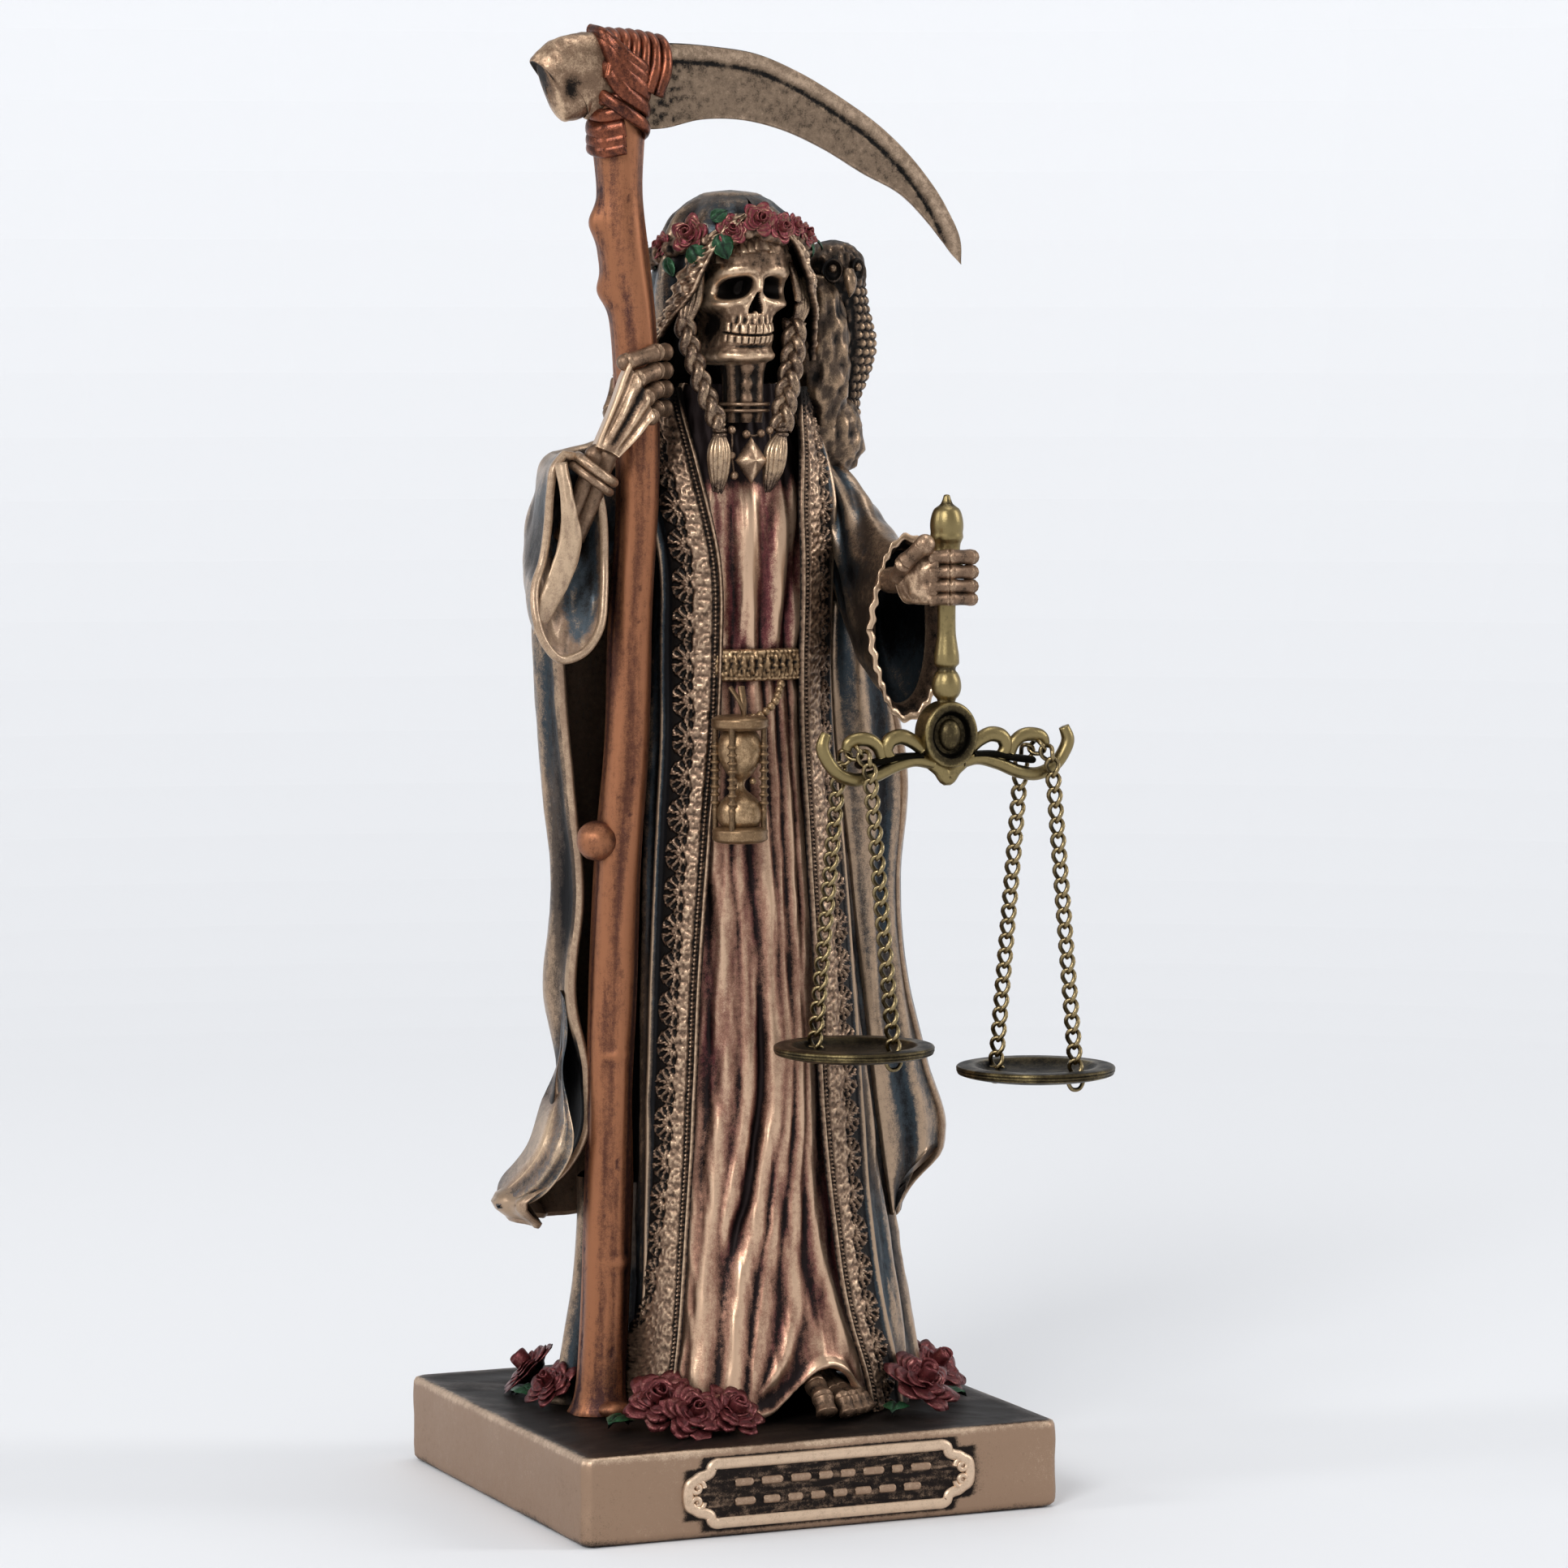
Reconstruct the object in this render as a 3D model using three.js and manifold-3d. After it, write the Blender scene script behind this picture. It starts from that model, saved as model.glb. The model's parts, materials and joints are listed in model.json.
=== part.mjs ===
import * as THREE from 'three';
import { mergeVertices } from 'three/addons/utils/BufferGeometryUtils.js';
import Module from 'manifold-3d';

// A hand-painted cold-cast bronze figurine: a robed skeleton saint who stands on a square plinth,
// with a scythe in the right hand and brass balance scales in the left.
// Millimetres, +Z up, origin at the centre of the plinth's underside. The figure faces -Y.

// Plinth
const PLINTH_WIDTH = 73;
const PLINTH_DEPTH = 70.6;
const PLINTH_HEIGHT = 12.6;
const PLINTH_CORNER = 3;
const PLINTH_FOOT_ROUND = 1;
const PLAQUE_WIDTH = 44.5;
const PLAQUE_HEIGHT = 9.6;
const PLAQUE_RELIEF = 0.9;
const PLAQUE_FRAME = 1.2;

// Figure: its free form is drawn in units of which it is 175.5 tall, hem to the top of the hood
const FIGURE_HEIGHT = 175.5;
const DRAWN_HEIGHT = 175.5;

// Scythe: its blade clears the hood, and its crooked shaft is drawn in units of which it is 197.4 tall
const BLADE_OVER_HOOD = 21.9;
const SCYTHE_HEIGHT = FIGURE_HEIGHT + BLADE_OVER_HOOD;
const DRAWN_SCYTHE = 197.4;
const SHAFT_DIAMETER = 6.5;
const KNOB_DIAMETER = 5.8;
const BLADE_REACH = 47.5;
const BLADE_WIDTH = 11.7;
const BLADE_BACK = 2.4;

// Scales
const HANDLE_DIAMETER = 3.6;
const HANDLE_LENGTH = 29.2;
const BOSS_WIDTH = 8.4;
const BOSS_DEPTH = 4;
const HANG_SPAN = 28.4;
const ARM_THICKNESS = 1.9;
const LINK_LENGTH = 3.23;
const LINK_WIDTH = 2.6;
const LINK_WIRE = 0.62;
const LINKS_LEFT = 18;
const LINKS_RIGHT = 20;
const RING_WIDTH = 2.5;
const PAN_DIAMETER = 22.7;
const PAN_RIM = 2.6;
const PAN_WALL = 0.9;
const PAN_DEPTH = 2.2;
const PAN_HOLE_RADIUS = 7.1;

// Clearance between pieces that are set into each other
const FIT_GAP = 0.3;

const UNIT = FIGURE_HEIGHT / DRAWN_HEIGHT;
const TAU = Math.PI * 2;
const ACROSS_DEPTH = new THREE.Vector3(0, 1, 0);

// The point of the figure at x, y and height z above the plinth, all in figure units.
function fig(x, y, z) {
  return new THREE.Vector3(x * UNIT, y * UNIT, PLINTH_HEIGHT + z * UNIT);
}

const wasm = await Module();
wasm.setup();

// A closed geometry made a solid that can be joined and cut.
function solid(geometry) {
  const bare = geometry.clone();
  bare.deleteAttribute('normal');
  bare.deleteAttribute('uv');
  const merged = mergeVertices(bare, 1e-4);
  return new wasm.Manifold(new wasm.Mesh({
    numProp: 3,
    vertProperties: new Float32Array(merged.attributes.position.array),
    triVerts: new Uint32Array(merged.index.array),
  }));
}

function fuse(solids) {
  return wasm.Manifold.union(solids);
}

// The outer skin alone: a pocket closed on all sides is filled, because the casting is solid.
function withoutPockets(manifold) {
  const scrap = 1;
  return fuse(manifold.decompose().filter((shell) => shell.volume() > scrap));
}

// What is left of a solid above the plinth's top face, so that it stands flat on it.
function onPlinth(manifold) {
  const depth = 40;
  const block = new THREE.BoxGeometry(4 * PLINTH_WIDTH, 4 * PLINTH_DEPTH, depth);
  return manifold.subtract(solid(block.translate(0, 0, PLINTH_HEIGHT - depth / 2)));
}

function geometryOf(manifold) {
  const { vertProperties, triVerts } = manifold.getMesh();
  const geometry = new THREE.BufferGeometry();
  geometry.setAttribute('position', new THREE.BufferAttribute(vertProperties, 3));
  geometry.setIndex(new THREE.BufferAttribute(triVerts, 1));
  return geometry;
}

// A skin over a stack of rings with the same number of points, closed by a fan at both ends.
function loft(rings) {
  const count = rings[0].length;
  const points = rings.flat();
  const index = [];
  for (let j = 0; j < rings.length - 1; j++) {
    for (let i = 0; i < count; i++) {
      const a = j * count + i;
      const b = j * count + (i + 1) % count;
      index.push(a, b, b + count, a, b + count, a + count);
    }
  }
  for (const [ring, start, flip] of [[rings[0], 0, true], [rings.at(-1), points.length - count, false]]) {
    const centre = ring.reduce((sum, p) => sum.add(p), new THREE.Vector3()).divideScalar(count);
    const middle = points.push(centre) - 1;
    for (let i = 0; i < count; i++) {
      const a = start + i;
      const b = start + (i + 1) % count;
      index.push(...(flip ? [b, a, middle] : [a, b, middle]));
    }
  }
  return outward(new THREE.BufferGeometry().setFromPoints(points).setIndex(index));
}

// The geometry with its faces turned outwards, if its volume comes out negative.
function outward(geometry) {
  const at = geometry.attributes.position;
  const index = geometry.index.array;
  const [a, b, c] = [new THREE.Vector3(), new THREE.Vector3(), new THREE.Vector3()];
  let volume = 0;
  for (let i = 0; i < index.length; i += 3) {
    a.fromBufferAttribute(at, index[i]);
    b.fromBufferAttribute(at, index[i + 1]);
    c.fromBufferAttribute(at, index[i + 2]);
    volume += a.dot(b.cross(c));
  }
  if (volume < 0) {
    for (let i = 0; i < index.length; i += 3) {
      [index[i + 1], index[i + 2]] = [index[i + 2], index[i + 1]];
    }
  }
  return geometry;
}

// An oval section carried along a path: each station gives a radius across and one along `upright`.
function tube(path, radii, sides, upright = new THREE.Vector3(0, 0, 1)) {
  const rings = path.map((centre, i) => {
    const ahead = path[Math.min(i + 1, path.length - 1)];
    const behind = path[Math.max(i - 1, 0)];
    const along = ahead.clone().sub(behind).normalize();
    const across = new THREE.Vector3().crossVectors(along, upright).normalize();
    const rise = new THREE.Vector3().crossVectors(across, along).normalize();
    const [wide, tall] = [radii[i]].flat().length === 2 ? radii[i] : [radii[i], radii[i]];
    return Array.from({ length: sides }, (_, k) => {
      const turn = (k + 0.5) / sides * TAU;
      return centre.clone().addScaledVector(across, wide * Math.cos(turn))
        .addScaledVector(rise, tall * Math.sin(turn));
    });
  });
  return loft(rings);
}

function ball(centre, radii, around, down, turn = 0) {
  const geometry = new THREE.SphereGeometry(1, around, down).rotateX(Math.PI / 2);
  geometry.scale(...radii).rotateZ(turn);
  return geometry.translate(centre.x, centre.y, centre.z);
}

// Values between the rows of a table whose first column is the height, eased through each row.
function between(rows, height) {
  const last = rows.length - 1;
  const k = Math.max(0, Math.min(last - 1, rows.findIndex((row) => row[0] > height) - 1));
  const i = height >= rows[last][0] ? last - 1 : k;
  const t = THREE.MathUtils.clamp((height - rows[i][0]) / (rows[i + 1][0] - rows[i][0]), 0, 1);
  return rows[i].slice(1).map((value, column) => {
    const [p0, p1] = [rows[Math.max(i - 1, 0)][column + 1], value];
    const [p2, p3] = [rows[i + 1][column + 1], rows[Math.min(i + 2, last)][column + 1]];
    return THREE.MathUtils.lerp(p1, p2, t)
      + 0.5 * t * (1 - t) * ((p2 - p0) * (1 - t) - (p3 - p1) * t) * 0.5;
  });
}

function span(from, to, steps) {
  return Array.from({ length: steps + 1 }, (_, i) => from + (to - from) * i / steps);
}

// Plinth: a block with round upright corners, and on its front a framed plate with notched corners
// and two rows of shallow strokes.
function roundedRing(width, depth, corner, z, steps = 4) {
  const ring = [];
  for (let quarter = 0; quarter < 4; quarter++) {
    const [sx, sy] = [[1, 1], [-1, 1], [-1, -1], [1, -1]][quarter];
    for (let i = 0; i < steps; i++) {
      const turn = (quarter + i / (steps - 1)) * Math.PI / 2;
      ring.push(new THREE.Vector3(
        sx * (width / 2 - corner) + corner * Math.cos(turn),
        sy * (depth / 2 - corner) + corner * Math.sin(turn), z));
    }
  }
  return ring;
}

function notchedOutline(Kind, width, height, notch) {
  const outline = new Kind();
  const [w, h] = [width / 2, height / 2];
  outline.absarc(w, h, notch, -Math.PI / 2, -Math.PI, true);
  outline.absarc(-w, h, notch, 0, -Math.PI / 2, true);
  outline.absarc(-w, -h, notch, Math.PI / 2, 0, true);
  outline.absarc(w, -h, notch, Math.PI, Math.PI / 2, true);
  return outline;
}

function plinthSolid() {
  const inset = PLINTH_FOOT_ROUND;
  const edge = 0.4;
  const block = loft([
    roundedRing(PLINTH_WIDTH - 2 * inset, PLINTH_DEPTH - 2 * inset, PLINTH_CORNER, 0),
    roundedRing(PLINTH_WIDTH, PLINTH_DEPTH, PLINTH_CORNER, inset),
    roundedRing(PLINTH_WIDTH, PLINTH_DEPTH, PLINTH_CORNER, PLINTH_HEIGHT - edge),
    roundedRing(PLINTH_WIDTH - 2 * edge, PLINTH_DEPTH - 2 * edge, PLINTH_CORNER, PLINTH_HEIGHT),
  ]);
  const frame = notchedOutline(THREE.Shape, PLAQUE_WIDTH, PLAQUE_HEIGHT, 1.6);
  frame.holes.push(notchedOutline(THREE.Path, PLAQUE_WIDTH - 2 * PLAQUE_FRAME,
    PLAQUE_HEIGHT - 2 * PLAQUE_FRAME, 1.3));
  const sunk = 0.5;
  const parts = [new THREE.ExtrudeGeometry(frame, {
    depth: PLAQUE_RELIEF + sunk, bevelEnabled: false, curveSegments: 2,
  })];
  for (const side of [-1, 1]) {
    const boss = new THREE.CylinderGeometry(2.1, 2.1, PLAQUE_RELIEF + sunk, 6).rotateX(Math.PI / 2);
    parts.push(boss.translate(side * PLAQUE_WIDTH / 2, 0, (PLAQUE_RELIEF + sunk) / 2));
  }
  const [rows, strokes] = [2, 4];
  const deep = sunk + 0.4;
  const field = PLAQUE_WIDTH - 2 * PLAQUE_FRAME - 7;
  for (let row = 0; row < rows; row++) {
    for (let i = 0; i < strokes; i++) {
      const length = field / strokes * (0.5 + 0.28 * Math.abs(Math.sin(2.3 * i + row)));
      const stroke = new THREE.BoxGeometry(length, 0.9, deep);
      parts.push(stroke.translate(((i + 0.5) / strokes - 0.5) * field, (0.5 - row) * 2.4, deep / 2));
    }
  }
  const plate = fuse(parts.map((part) => solid(part
    .rotateX(Math.PI / 2)
    .translate(0, sunk - PLINTH_DEPTH / 2, PLINTH_HEIGHT / 2))));
  return solid(block).add(plate);
}

// Scythe shaft: heights above the plinth with x, y of the crooked centre line and the thickness
// as a share of the shaft's diameter, all in scythe units.
const SHAFT_ROWS = [
  [0, -21.2, -3.6, 1.1], [14, -20.7, -3.9, 1.02], [28, -20.4, -4.4, 1.04], [57, -20.2, -5.8, 1.02],
  [83, -19.4, -7, 1.06], [96, -18.5, -7.6, 0.98], [112, -18.2, -8.2, 0.96], [132, -17.3, -9, 0.94],
  [146, -17.4, -9, 0.96], [156, -17.9, -9, 1.0], [166, -19.4, -9, 1.12], [175, -20, -9, 1.0],
  [183, -20.4, -9, 1.15], [197.4, -20, -9, 1.2],
];
const SCYTHE_UNIT = SCYTHE_HEIGHT / DRAWN_SCYTHE;
const SHAFT_LEVELS = [-1, ...span(SCYTHE_HEIGHT * 0.14, SCYTHE_HEIGHT * 0.98, 9)];
const HAND_HEIGHT = 145.5;

function shaftCentre(height) {
  const [x, y] = between(SHAFT_ROWS, height / SCYTHE_UNIT);
  return new THREE.Vector3(x, y, 0).multiplyScalar(SCYTHE_UNIT).setZ(PLINTH_HEIGHT + height);
}

function shaftTube(extra) {
  const share = (height) => between(SHAFT_ROWS, height / SCYTHE_UNIT)[2];
  const radii = SHAFT_LEVELS.map((height) => SHAFT_DIAMETER / 2 * share(height) + extra);
  return tube(SHAFT_LEVELS.map(shaftCentre), radii, 7, ACROSS_DEPTH);
}

// The blade's middle line from its root at the shaft to its tip, x and z as shares of its reach.
const BLADE_LINE = new THREE.CubicBezierCurve3(
  new THREE.Vector3(0.06, 0, -0.168),
  new THREE.Vector3(0.5, 0, -0.126),
  new THREE.Vector3(0.97, 0, -0.275),
  new THREE.Vector3(1.135, 0, -0.687));

// The blade: a long leaf section, thick at its back and thin at its edge, narrowing to the tip.
function bladeGeometry(top) {
  const steps = 8;
  const rings = span(0, 1, steps).map((t) => {
    const at = BLADE_LINE.getPoint(t).multiplyScalar(BLADE_REACH).add(top);
    const along = BLADE_LINE.getTangent(t);
    const back = new THREE.Vector3(-along.z, 0, along.x);
    const half = BLADE_WIDTH / 2 * Math.pow(1 - t, 0.7) + 0.25;
    const thick = BLADE_BACK / 2 * (1 - 0.55 * t);
    const section = [[1, 0.8], [0.6, 1], [-1, 0.12]];
    const mirrored = section.map(([w, d]) => [w, -d]).reverse();
    return [...section, ...mirrored].map(([w, d]) => at.clone()
      .addScaledVector(back, w * half).add(new THREE.Vector3(0, d * thick, 0)));
  });
  return loft(rings);
}

function scytheSolid() {
  const top = shaftCentre(SCYTHE_HEIGHT);
  const beside = (centre, x, y, z) => centre.clone().add(new THREE.Vector3(x, y, z));
  const butt = tube([[-8.6, -10.6], [-7.6, -9.4], [-4, -7.2], [3, -7]].map(([x, z]) => beside(top, x, 0, z)),
    [[2.2, 3.2], [3.2, 4.8], [3.2, 5.4], [2.8, 5.4]], 6);
  const knobHeight = SCYTHE_HEIGHT * 0.42;
  const knob = ball(beside(shaftCentre(knobHeight), -SHAFT_DIAMETER * 0.62, -1.2, 0),
    [KNOB_DIAMETER / 2, KNOB_DIAMETER / 2, KNOB_DIAMETER / 2], 7, 5);
  const twigs = [0.815, 0.865].map((share) => ball(
    beside(shaftCentre(SCYTHE_HEIGHT * share), -SHAFT_DIAMETER * 0.36, -0.6, 0), [1.9, 2, 2.6], 5, 3));
  const lashing = tube([[-4, -7], [0, -6], [5, -6.2]].map(([x, z]) => beside(top, x, 0, z)),
    [[4.2, 5.2], [4.6, 6.2], [3.4, 5]], 7);
  return onPlinth(fuse([shaftTube(0), bladeGeometry(top), butt, knob, lashing, ...twigs].map(solid)));
}

// Scales: everything hangs from the handle's line, which goes down through the left fist.
const GRIP = fig(20.6, -31, 119.5);
const HANDLE_TOP = GRIP.z + 12.6;
const BOSS = new THREE.Vector3(GRIP.x, GRIP.y, HANDLE_TOP - HANDLE_LENGTH - BOSS_WIDTH * 0.55);
const ARM_DROP = 5;

// One side's lower bar, from the boss down past the hanging chain and up to the hook's tip.
function armPath(side) {
  const reach = HANG_SPAN / 2;
  return [
    [0.14, -1], [0.42, -2.6], [0.72, 0.4 - ARM_DROP], [1, -ARM_DROP], [1.2, -3.9], [1.33, -1.4], [1.29, 0.7],
  ].map(([share, z]) => BOSS.clone().add(new THREE.Vector3(side * share * reach, 0, z)));
}

// The scroll on top of the bar: a rise from the boss that curls down on itself, then a second one.
function scrollPaths(side) {
  const reach = HANG_SPAN / 2;
  const curls = [
    [[0.22, -0.9], [0.36, -0.4], [0.5, -0.2], [0.63, -1], [0.62, -2.4], [0.54, -3.2]],
    [[0.62, -1.6], [0.72, -0.5], [0.8, -0.3], [0.85, -0.4]],
  ];
  return curls.map((curl) => curl.map(([share, z]) => BOSS.clone()
    .add(new THREE.Vector3(side * share * reach, 0, z))));
}

function balanceSolid() {
  const r = HANDLE_DIAMETER / 2;
  const profile = [
    [0, 0], [0.6, 0.6], [0.8, 2.2], [1.5, 3.8], [1.35, 5.6], [0.85, 6.4], [1, 9], [1, 16],
    [0.85, 18.5], [1.25, 21], [0.8, 22], [1.25, 24.6], [0.85, HANDLE_LENGTH], [0, HANDLE_LENGTH + 1],
  ].map(([share, drop]) => new THREE.Vector2(share * r, HANDLE_TOP - drop)).reverse();
  const handle = new THREE.LatheGeometry(profile, 7).rotateX(Math.PI / 2).translate(GRIP.x, GRIP.y, 0);
  const oval = new THREE.CylinderGeometry(BOSS_WIDTH / 2, BOSS_WIDTH / 2, BOSS_DEPTH, 12);
  oval.scale(1, 1, 1.12).translate(BOSS.x, BOSS.y, BOSS.z);
  const cabochon = ball(BOSS.clone().add(new THREE.Vector3(0, -BOSS_DEPTH / 2, 0)), [1.8, 1, 2.3], 6, 4);
  const under = BOSS.clone().add(new THREE.Vector3(0, 0, -BOSS_WIDTH * 0.58));
  const keel = ball(under, [1.8, BOSS_DEPTH * 0.4, 1.6], 5, 3);
  const half = ARM_THICKNESS / 2;
  const bar = [1.6, 1.4, 1.1, 1, 1.2, 1.2, 0.7].map((tall) => [tall, half]);
  const curl = span(1.1, 0.8, 5).map((tall) => [tall, half]);
  const arms = [-1, 1].flatMap((side) => [
    tube(armPath(side), bar, 4, ACROSS_DEPTH),
    ...scrollPaths(side).map((path) => tube(path, curl.slice(0, path.length), 4, ACROSS_DEPTH)),
  ]);
  return fuse([handle, oval, cabochon, keel, ...arms].map(solid));
}

// Chains: each pan hangs on one curb chain whose middle lies over the arm. A link is an oval of wire
// that turns a quarter about its length from one end to the other, so that all links face one way.
const CHAIN_TURN = THREE.MathUtils.degToRad(27);
const CHAIN_ACROSS = new THREE.Vector3(Math.sin(CHAIN_TURN), -Math.cos(CHAIN_TURN), 0);
const WIRE = LINK_WIRE / 2;
const LINK_HALF = LINK_LENGTH / 2 - WIRE;
const LINK_PITCH = 2 * LINK_HALF - 1.5 * WIRE;
const LINKS_OVER_ARM = 3;
// Faceted link: four corners round its loop, three round its wire
const LINK_CORNERS = [0, 1, 2, 3];
const WIRE_CORNERS = [0, 1, 2];
const OVER_ARM = LINK_PITCH / (2 * Math.sin(Math.PI / 2 / (LINKS_OVER_ARM + 1)));

function linkGeometry(centre, along, facing) {
  const side = new THREE.Vector3().crossVectors(along, facing).normalize();
  const mitre = WIRE * 1.46;
  const middle = LINK_CORNERS.map((k) => {
    const turn = (k + 0.5) / LINK_CORNERS.length * TAU;
    const twist = Math.PI / 4 * Math.cos(turn);
    const out = side.clone().applyAxisAngle(along, twist);
    return new THREE.Vector3()
      .addScaledVector(out, (LINK_WIDTH / 2 - WIRE) * Math.SQRT2 * Math.sin(turn))
      .addScaledVector(along, LINK_HALF * Math.SQRT2 * Math.cos(turn));
  });
  const rings = middle.map((point, k) => {
    const ahead = middle.at((k + 1) % middle.length);
    const behind = middle.at(k - 1);
    const run = ahead.clone().sub(point).normalize().add(point.clone().sub(behind).normalize()).normalize();
    const away = point.clone().sub(run.clone().multiplyScalar(point.dot(run))).normalize();
    const over = new THREE.Vector3().crossVectors(run, away);
    return WIRE_CORNERS.map((i) => {
      const turn = i / WIRE_CORNERS.length * TAU;
      return point.clone().addScaledVector(away, -mitre * Math.cos(turn))
        .addScaledVector(over, mitre * Math.sin(turn)).add(centre);
    });
  });
  const index = [];
  const sides = WIRE_CORNERS.length;
  for (const j of LINK_CORNERS) {
    for (const i of WIRE_CORNERS) {
      const [a, b] = [j * sides + i, j * sides + (i + 1) % sides];
      const next = (j + 1) % LINK_CORNERS.length * sides;
      const [c, d] = [next + (i + 1) % sides, next + i];
      index.push(a, b, c, a, c, d);
    }
  }
  return outward(new THREE.BufferGeometry().setFromPoints(rings.flat()).setIndex(index));
}

// Where a chain lies over its arm, and where its pan hangs.
function hangPoint(side) {
  return BOSS.clone().add(new THREE.Vector3(side * HANG_SPAN / 2, 0, -ARM_DROP));
}

// How far the pan's rim plane hangs below the arm, from the number of links in a strand.
function panDrop(links) {
  const spread = PAN_HOLE_RADIUS - OVER_ARM;
  return Math.sqrt((links * LINK_PITCH) ** 2 - spread ** 2);
}

function chainSolid(side, links) {
  const hang = hangPoint(side);
  const drop = panDrop(links);
  const facing = new THREE.Vector3(0, 0, 1).cross(CHAIN_ACROSS).normalize();
  const pieces = [];
  for (const strand of [-1, 1]) {
    const top = hang.clone().addScaledVector(CHAIN_ACROSS, strand * OVER_ARM);
    const foot = hang.clone().addScaledVector(CHAIN_ACROSS, strand * PAN_HOLE_RADIUS)
      .add(new THREE.Vector3(0, 0, -drop));
    const along = foot.clone().sub(top).normalize();
    const broad = new THREE.Vector3().crossVectors(along, facing).normalize();
    for (let i = 0; i <= links; i++) {
      pieces.push(linkGeometry(top.clone().addScaledVector(along, i * LINK_PITCH), along, broad));
    }
    const radius = RING_WIDTH / 2 - WIRE;
    const ring = new THREE.TorusGeometry(radius, WIRE, 3, 6).rotateX(Math.PI / 2);
    pieces.push(ring.translate(foot.x, foot.y, foot.z - LINK_HALF - radius + WIRE));
  }
  for (let i = 1; i <= LINKS_OVER_ARM; i++) {
    const turn = Math.PI * i / (LINKS_OVER_ARM + 1);
    const centre = hang.clone().addScaledVector(CHAIN_ACROSS, -OVER_ARM * Math.cos(turn))
      .add(new THREE.Vector3(0, 0, OVER_ARM * Math.sin(turn)));
    const along = CHAIN_ACROSS.clone().multiplyScalar(Math.sin(turn))
      .add(new THREE.Vector3(0, 0, Math.cos(turn))).normalize();
    pieces.push(linkGeometry(centre, along, new THREE.Vector3().crossVectors(along, facing).normalize()));
  }
  return fuse(pieces.map(solid));
}

// Pans: a shallow turned dish with a flat rim and a hole for each strand of its chain.
function panSolid(side, links) {
  const rim = PAN_DIAMETER / 2;
  const dish = rim - PAN_RIM;
  const profile = [
    [0, -PAN_DEPTH], [rim * 0.6, -PAN_DEPTH * 0.85], [rim, -PAN_WALL * 0.6],
    [rim, 0], [dish, 0], [dish * 0.9, PAN_WALL - PAN_DEPTH * 0.75], [0, PAN_WALL - PAN_DEPTH],
  ].map(([r, z]) => new THREE.Vector2(r, z));
  const hang = hangPoint(side);
  const centre = hang.clone().add(new THREE.Vector3(0, 0, -panDrop(links)));
  let pan = solid(outward(mergeVertices(new THREE.LatheGeometry(profile, 16)
    .rotateX(Math.PI / 2).translate(centre.x, centre.y, centre.z))));
  const sides = 8;
  const holeRadius = (RING_WIDTH / 2 + FIT_GAP) / Math.cos(Math.PI / sides);
  for (const strand of [-1, 1]) {
    const at = centre.clone().addScaledVector(CHAIN_ACROSS, strand * PAN_HOLE_RADIUS);
    const hole = new THREE.CylinderGeometry(holeRadius, holeRadius, 3 * PAN_DEPTH, sides);
    pan = pan.subtract(solid(hole.rotateX(Math.PI / 2).translate(at.x, at.y, at.z)));
  }
  return pan;
}

// Robe: heights above the plinth with the coat's centre x, y, its half-width to the left and right
// and its half-depth to the front and back, in figure units.
const COAT_ROWS = [
  [0, 1.5, 0, 18.5, 27.5, 22.2, 22], [10, 1.5, 0, 18.2, 26.3, 21.6, 21], [22, 1.3, 0, 18, 24.2, 19.8, 19],
  [40, 1, 0, 17.6, 21.5, 17.8, 17], [60, 0.6, 0, 17, 19.6, 16, 15.5], [85, 0.2, 0, 15.6, 17.2, 13.8, 13.5],
  [96, 0, 0, 14.8, 16, 12.8, 12.5], [107, 0, 0, 14, 15.4, 12.4, 12], [120, 0, 0, 14.2, 16, 12.6, 12],
  [131, 0, 0.5, 16, 17, 12, 11.5], [138, 0, 1, 14, 14.5, 10.5, 10], [143, 0.3, 1.5, 9, 9.5, 8.5, 8],
  [148, 0.6, 1, 5.5, 5.5, 6, 6],
];
// Mantle behind the coat: half-width left and right, half-depth back, and how deep its front edges reach.
const MANTLE_ROWS = [
  [0, 25, 27, 22, 8], [10, 23.2, 26.5, 21.5, 8], [24, 21.8, 25.5, 20.5, 8], [27, 31, 27, 21.5, 15],
  [31, 35, 29.5, 22, 22], [34, 29, 33, 21.8, 22], [38, 25.6, 34, 21.5, 22], [48, 24.5, 31, 21, 22],
  [60, 26.8, 27.8, 20, 22], [75, 25.6, 26.4, 19.5, 22], [90, 27, 27.6, 18.8, 22], [104, 28.4, 25, 18, 22],
  [120, 28, 20.5, 17, 19], [131, 24, 17, 15, 15], [138, 17, 14.5, 13, 11], [143, 11, 11, 11, 8],
  [148, 7.5, 7.5, 9, 8],
];
// The lapels: x of the coat's inner front edges and of its lace band's outer edges.
const LAPEL_ROWS = [
  [0, -15.5, 11.2, -22, 18], [13, -14.6, 10.6, -21, 17.4], [35, -12, 8.7, -18.6, 15.4],
  [64, -9.6, 5.8, -16.4, 12.6], [85, -7, 5.8, -14, 12.6], [98, -5.8, 5.8, -13.2, 12.8],
  [120, -6.4, 6, -13.6, 12.2], [133, -7, 6.2, -13.4, 11.6], [140, -5.4, 5.2, -9.5, 9],
  [148, -3.4, 3.6, -5, 5],
];

// A point of the coat at a turn from the front (to the figure's left is positive), moved out by `proud`.
function coatPoint(turn, height, proud) {
  const [cx, cy, left, right, front, back] = between(COAT_ROWS, height);
  const [s, c] = [Math.sin(turn), Math.cos(turn)];
  const flare = 4.5 * Math.exp(-(((turn + 0.75) / 0.4) ** 2)) * Math.max(0, 1 - height / 45);
  const folds = 0.7 * Math.cos(turn * 16) * THREE.MathUtils.smoothstep(Math.abs(turn), 0.9, 1.3);
  const grow = proud + flare + folds * (1.3 - height / 150);
  return fig(cx + ((s < 0 ? left : right) + grow) * s, cy - ((c > 0 ? front : back) + grow) * c, height);
}

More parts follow.
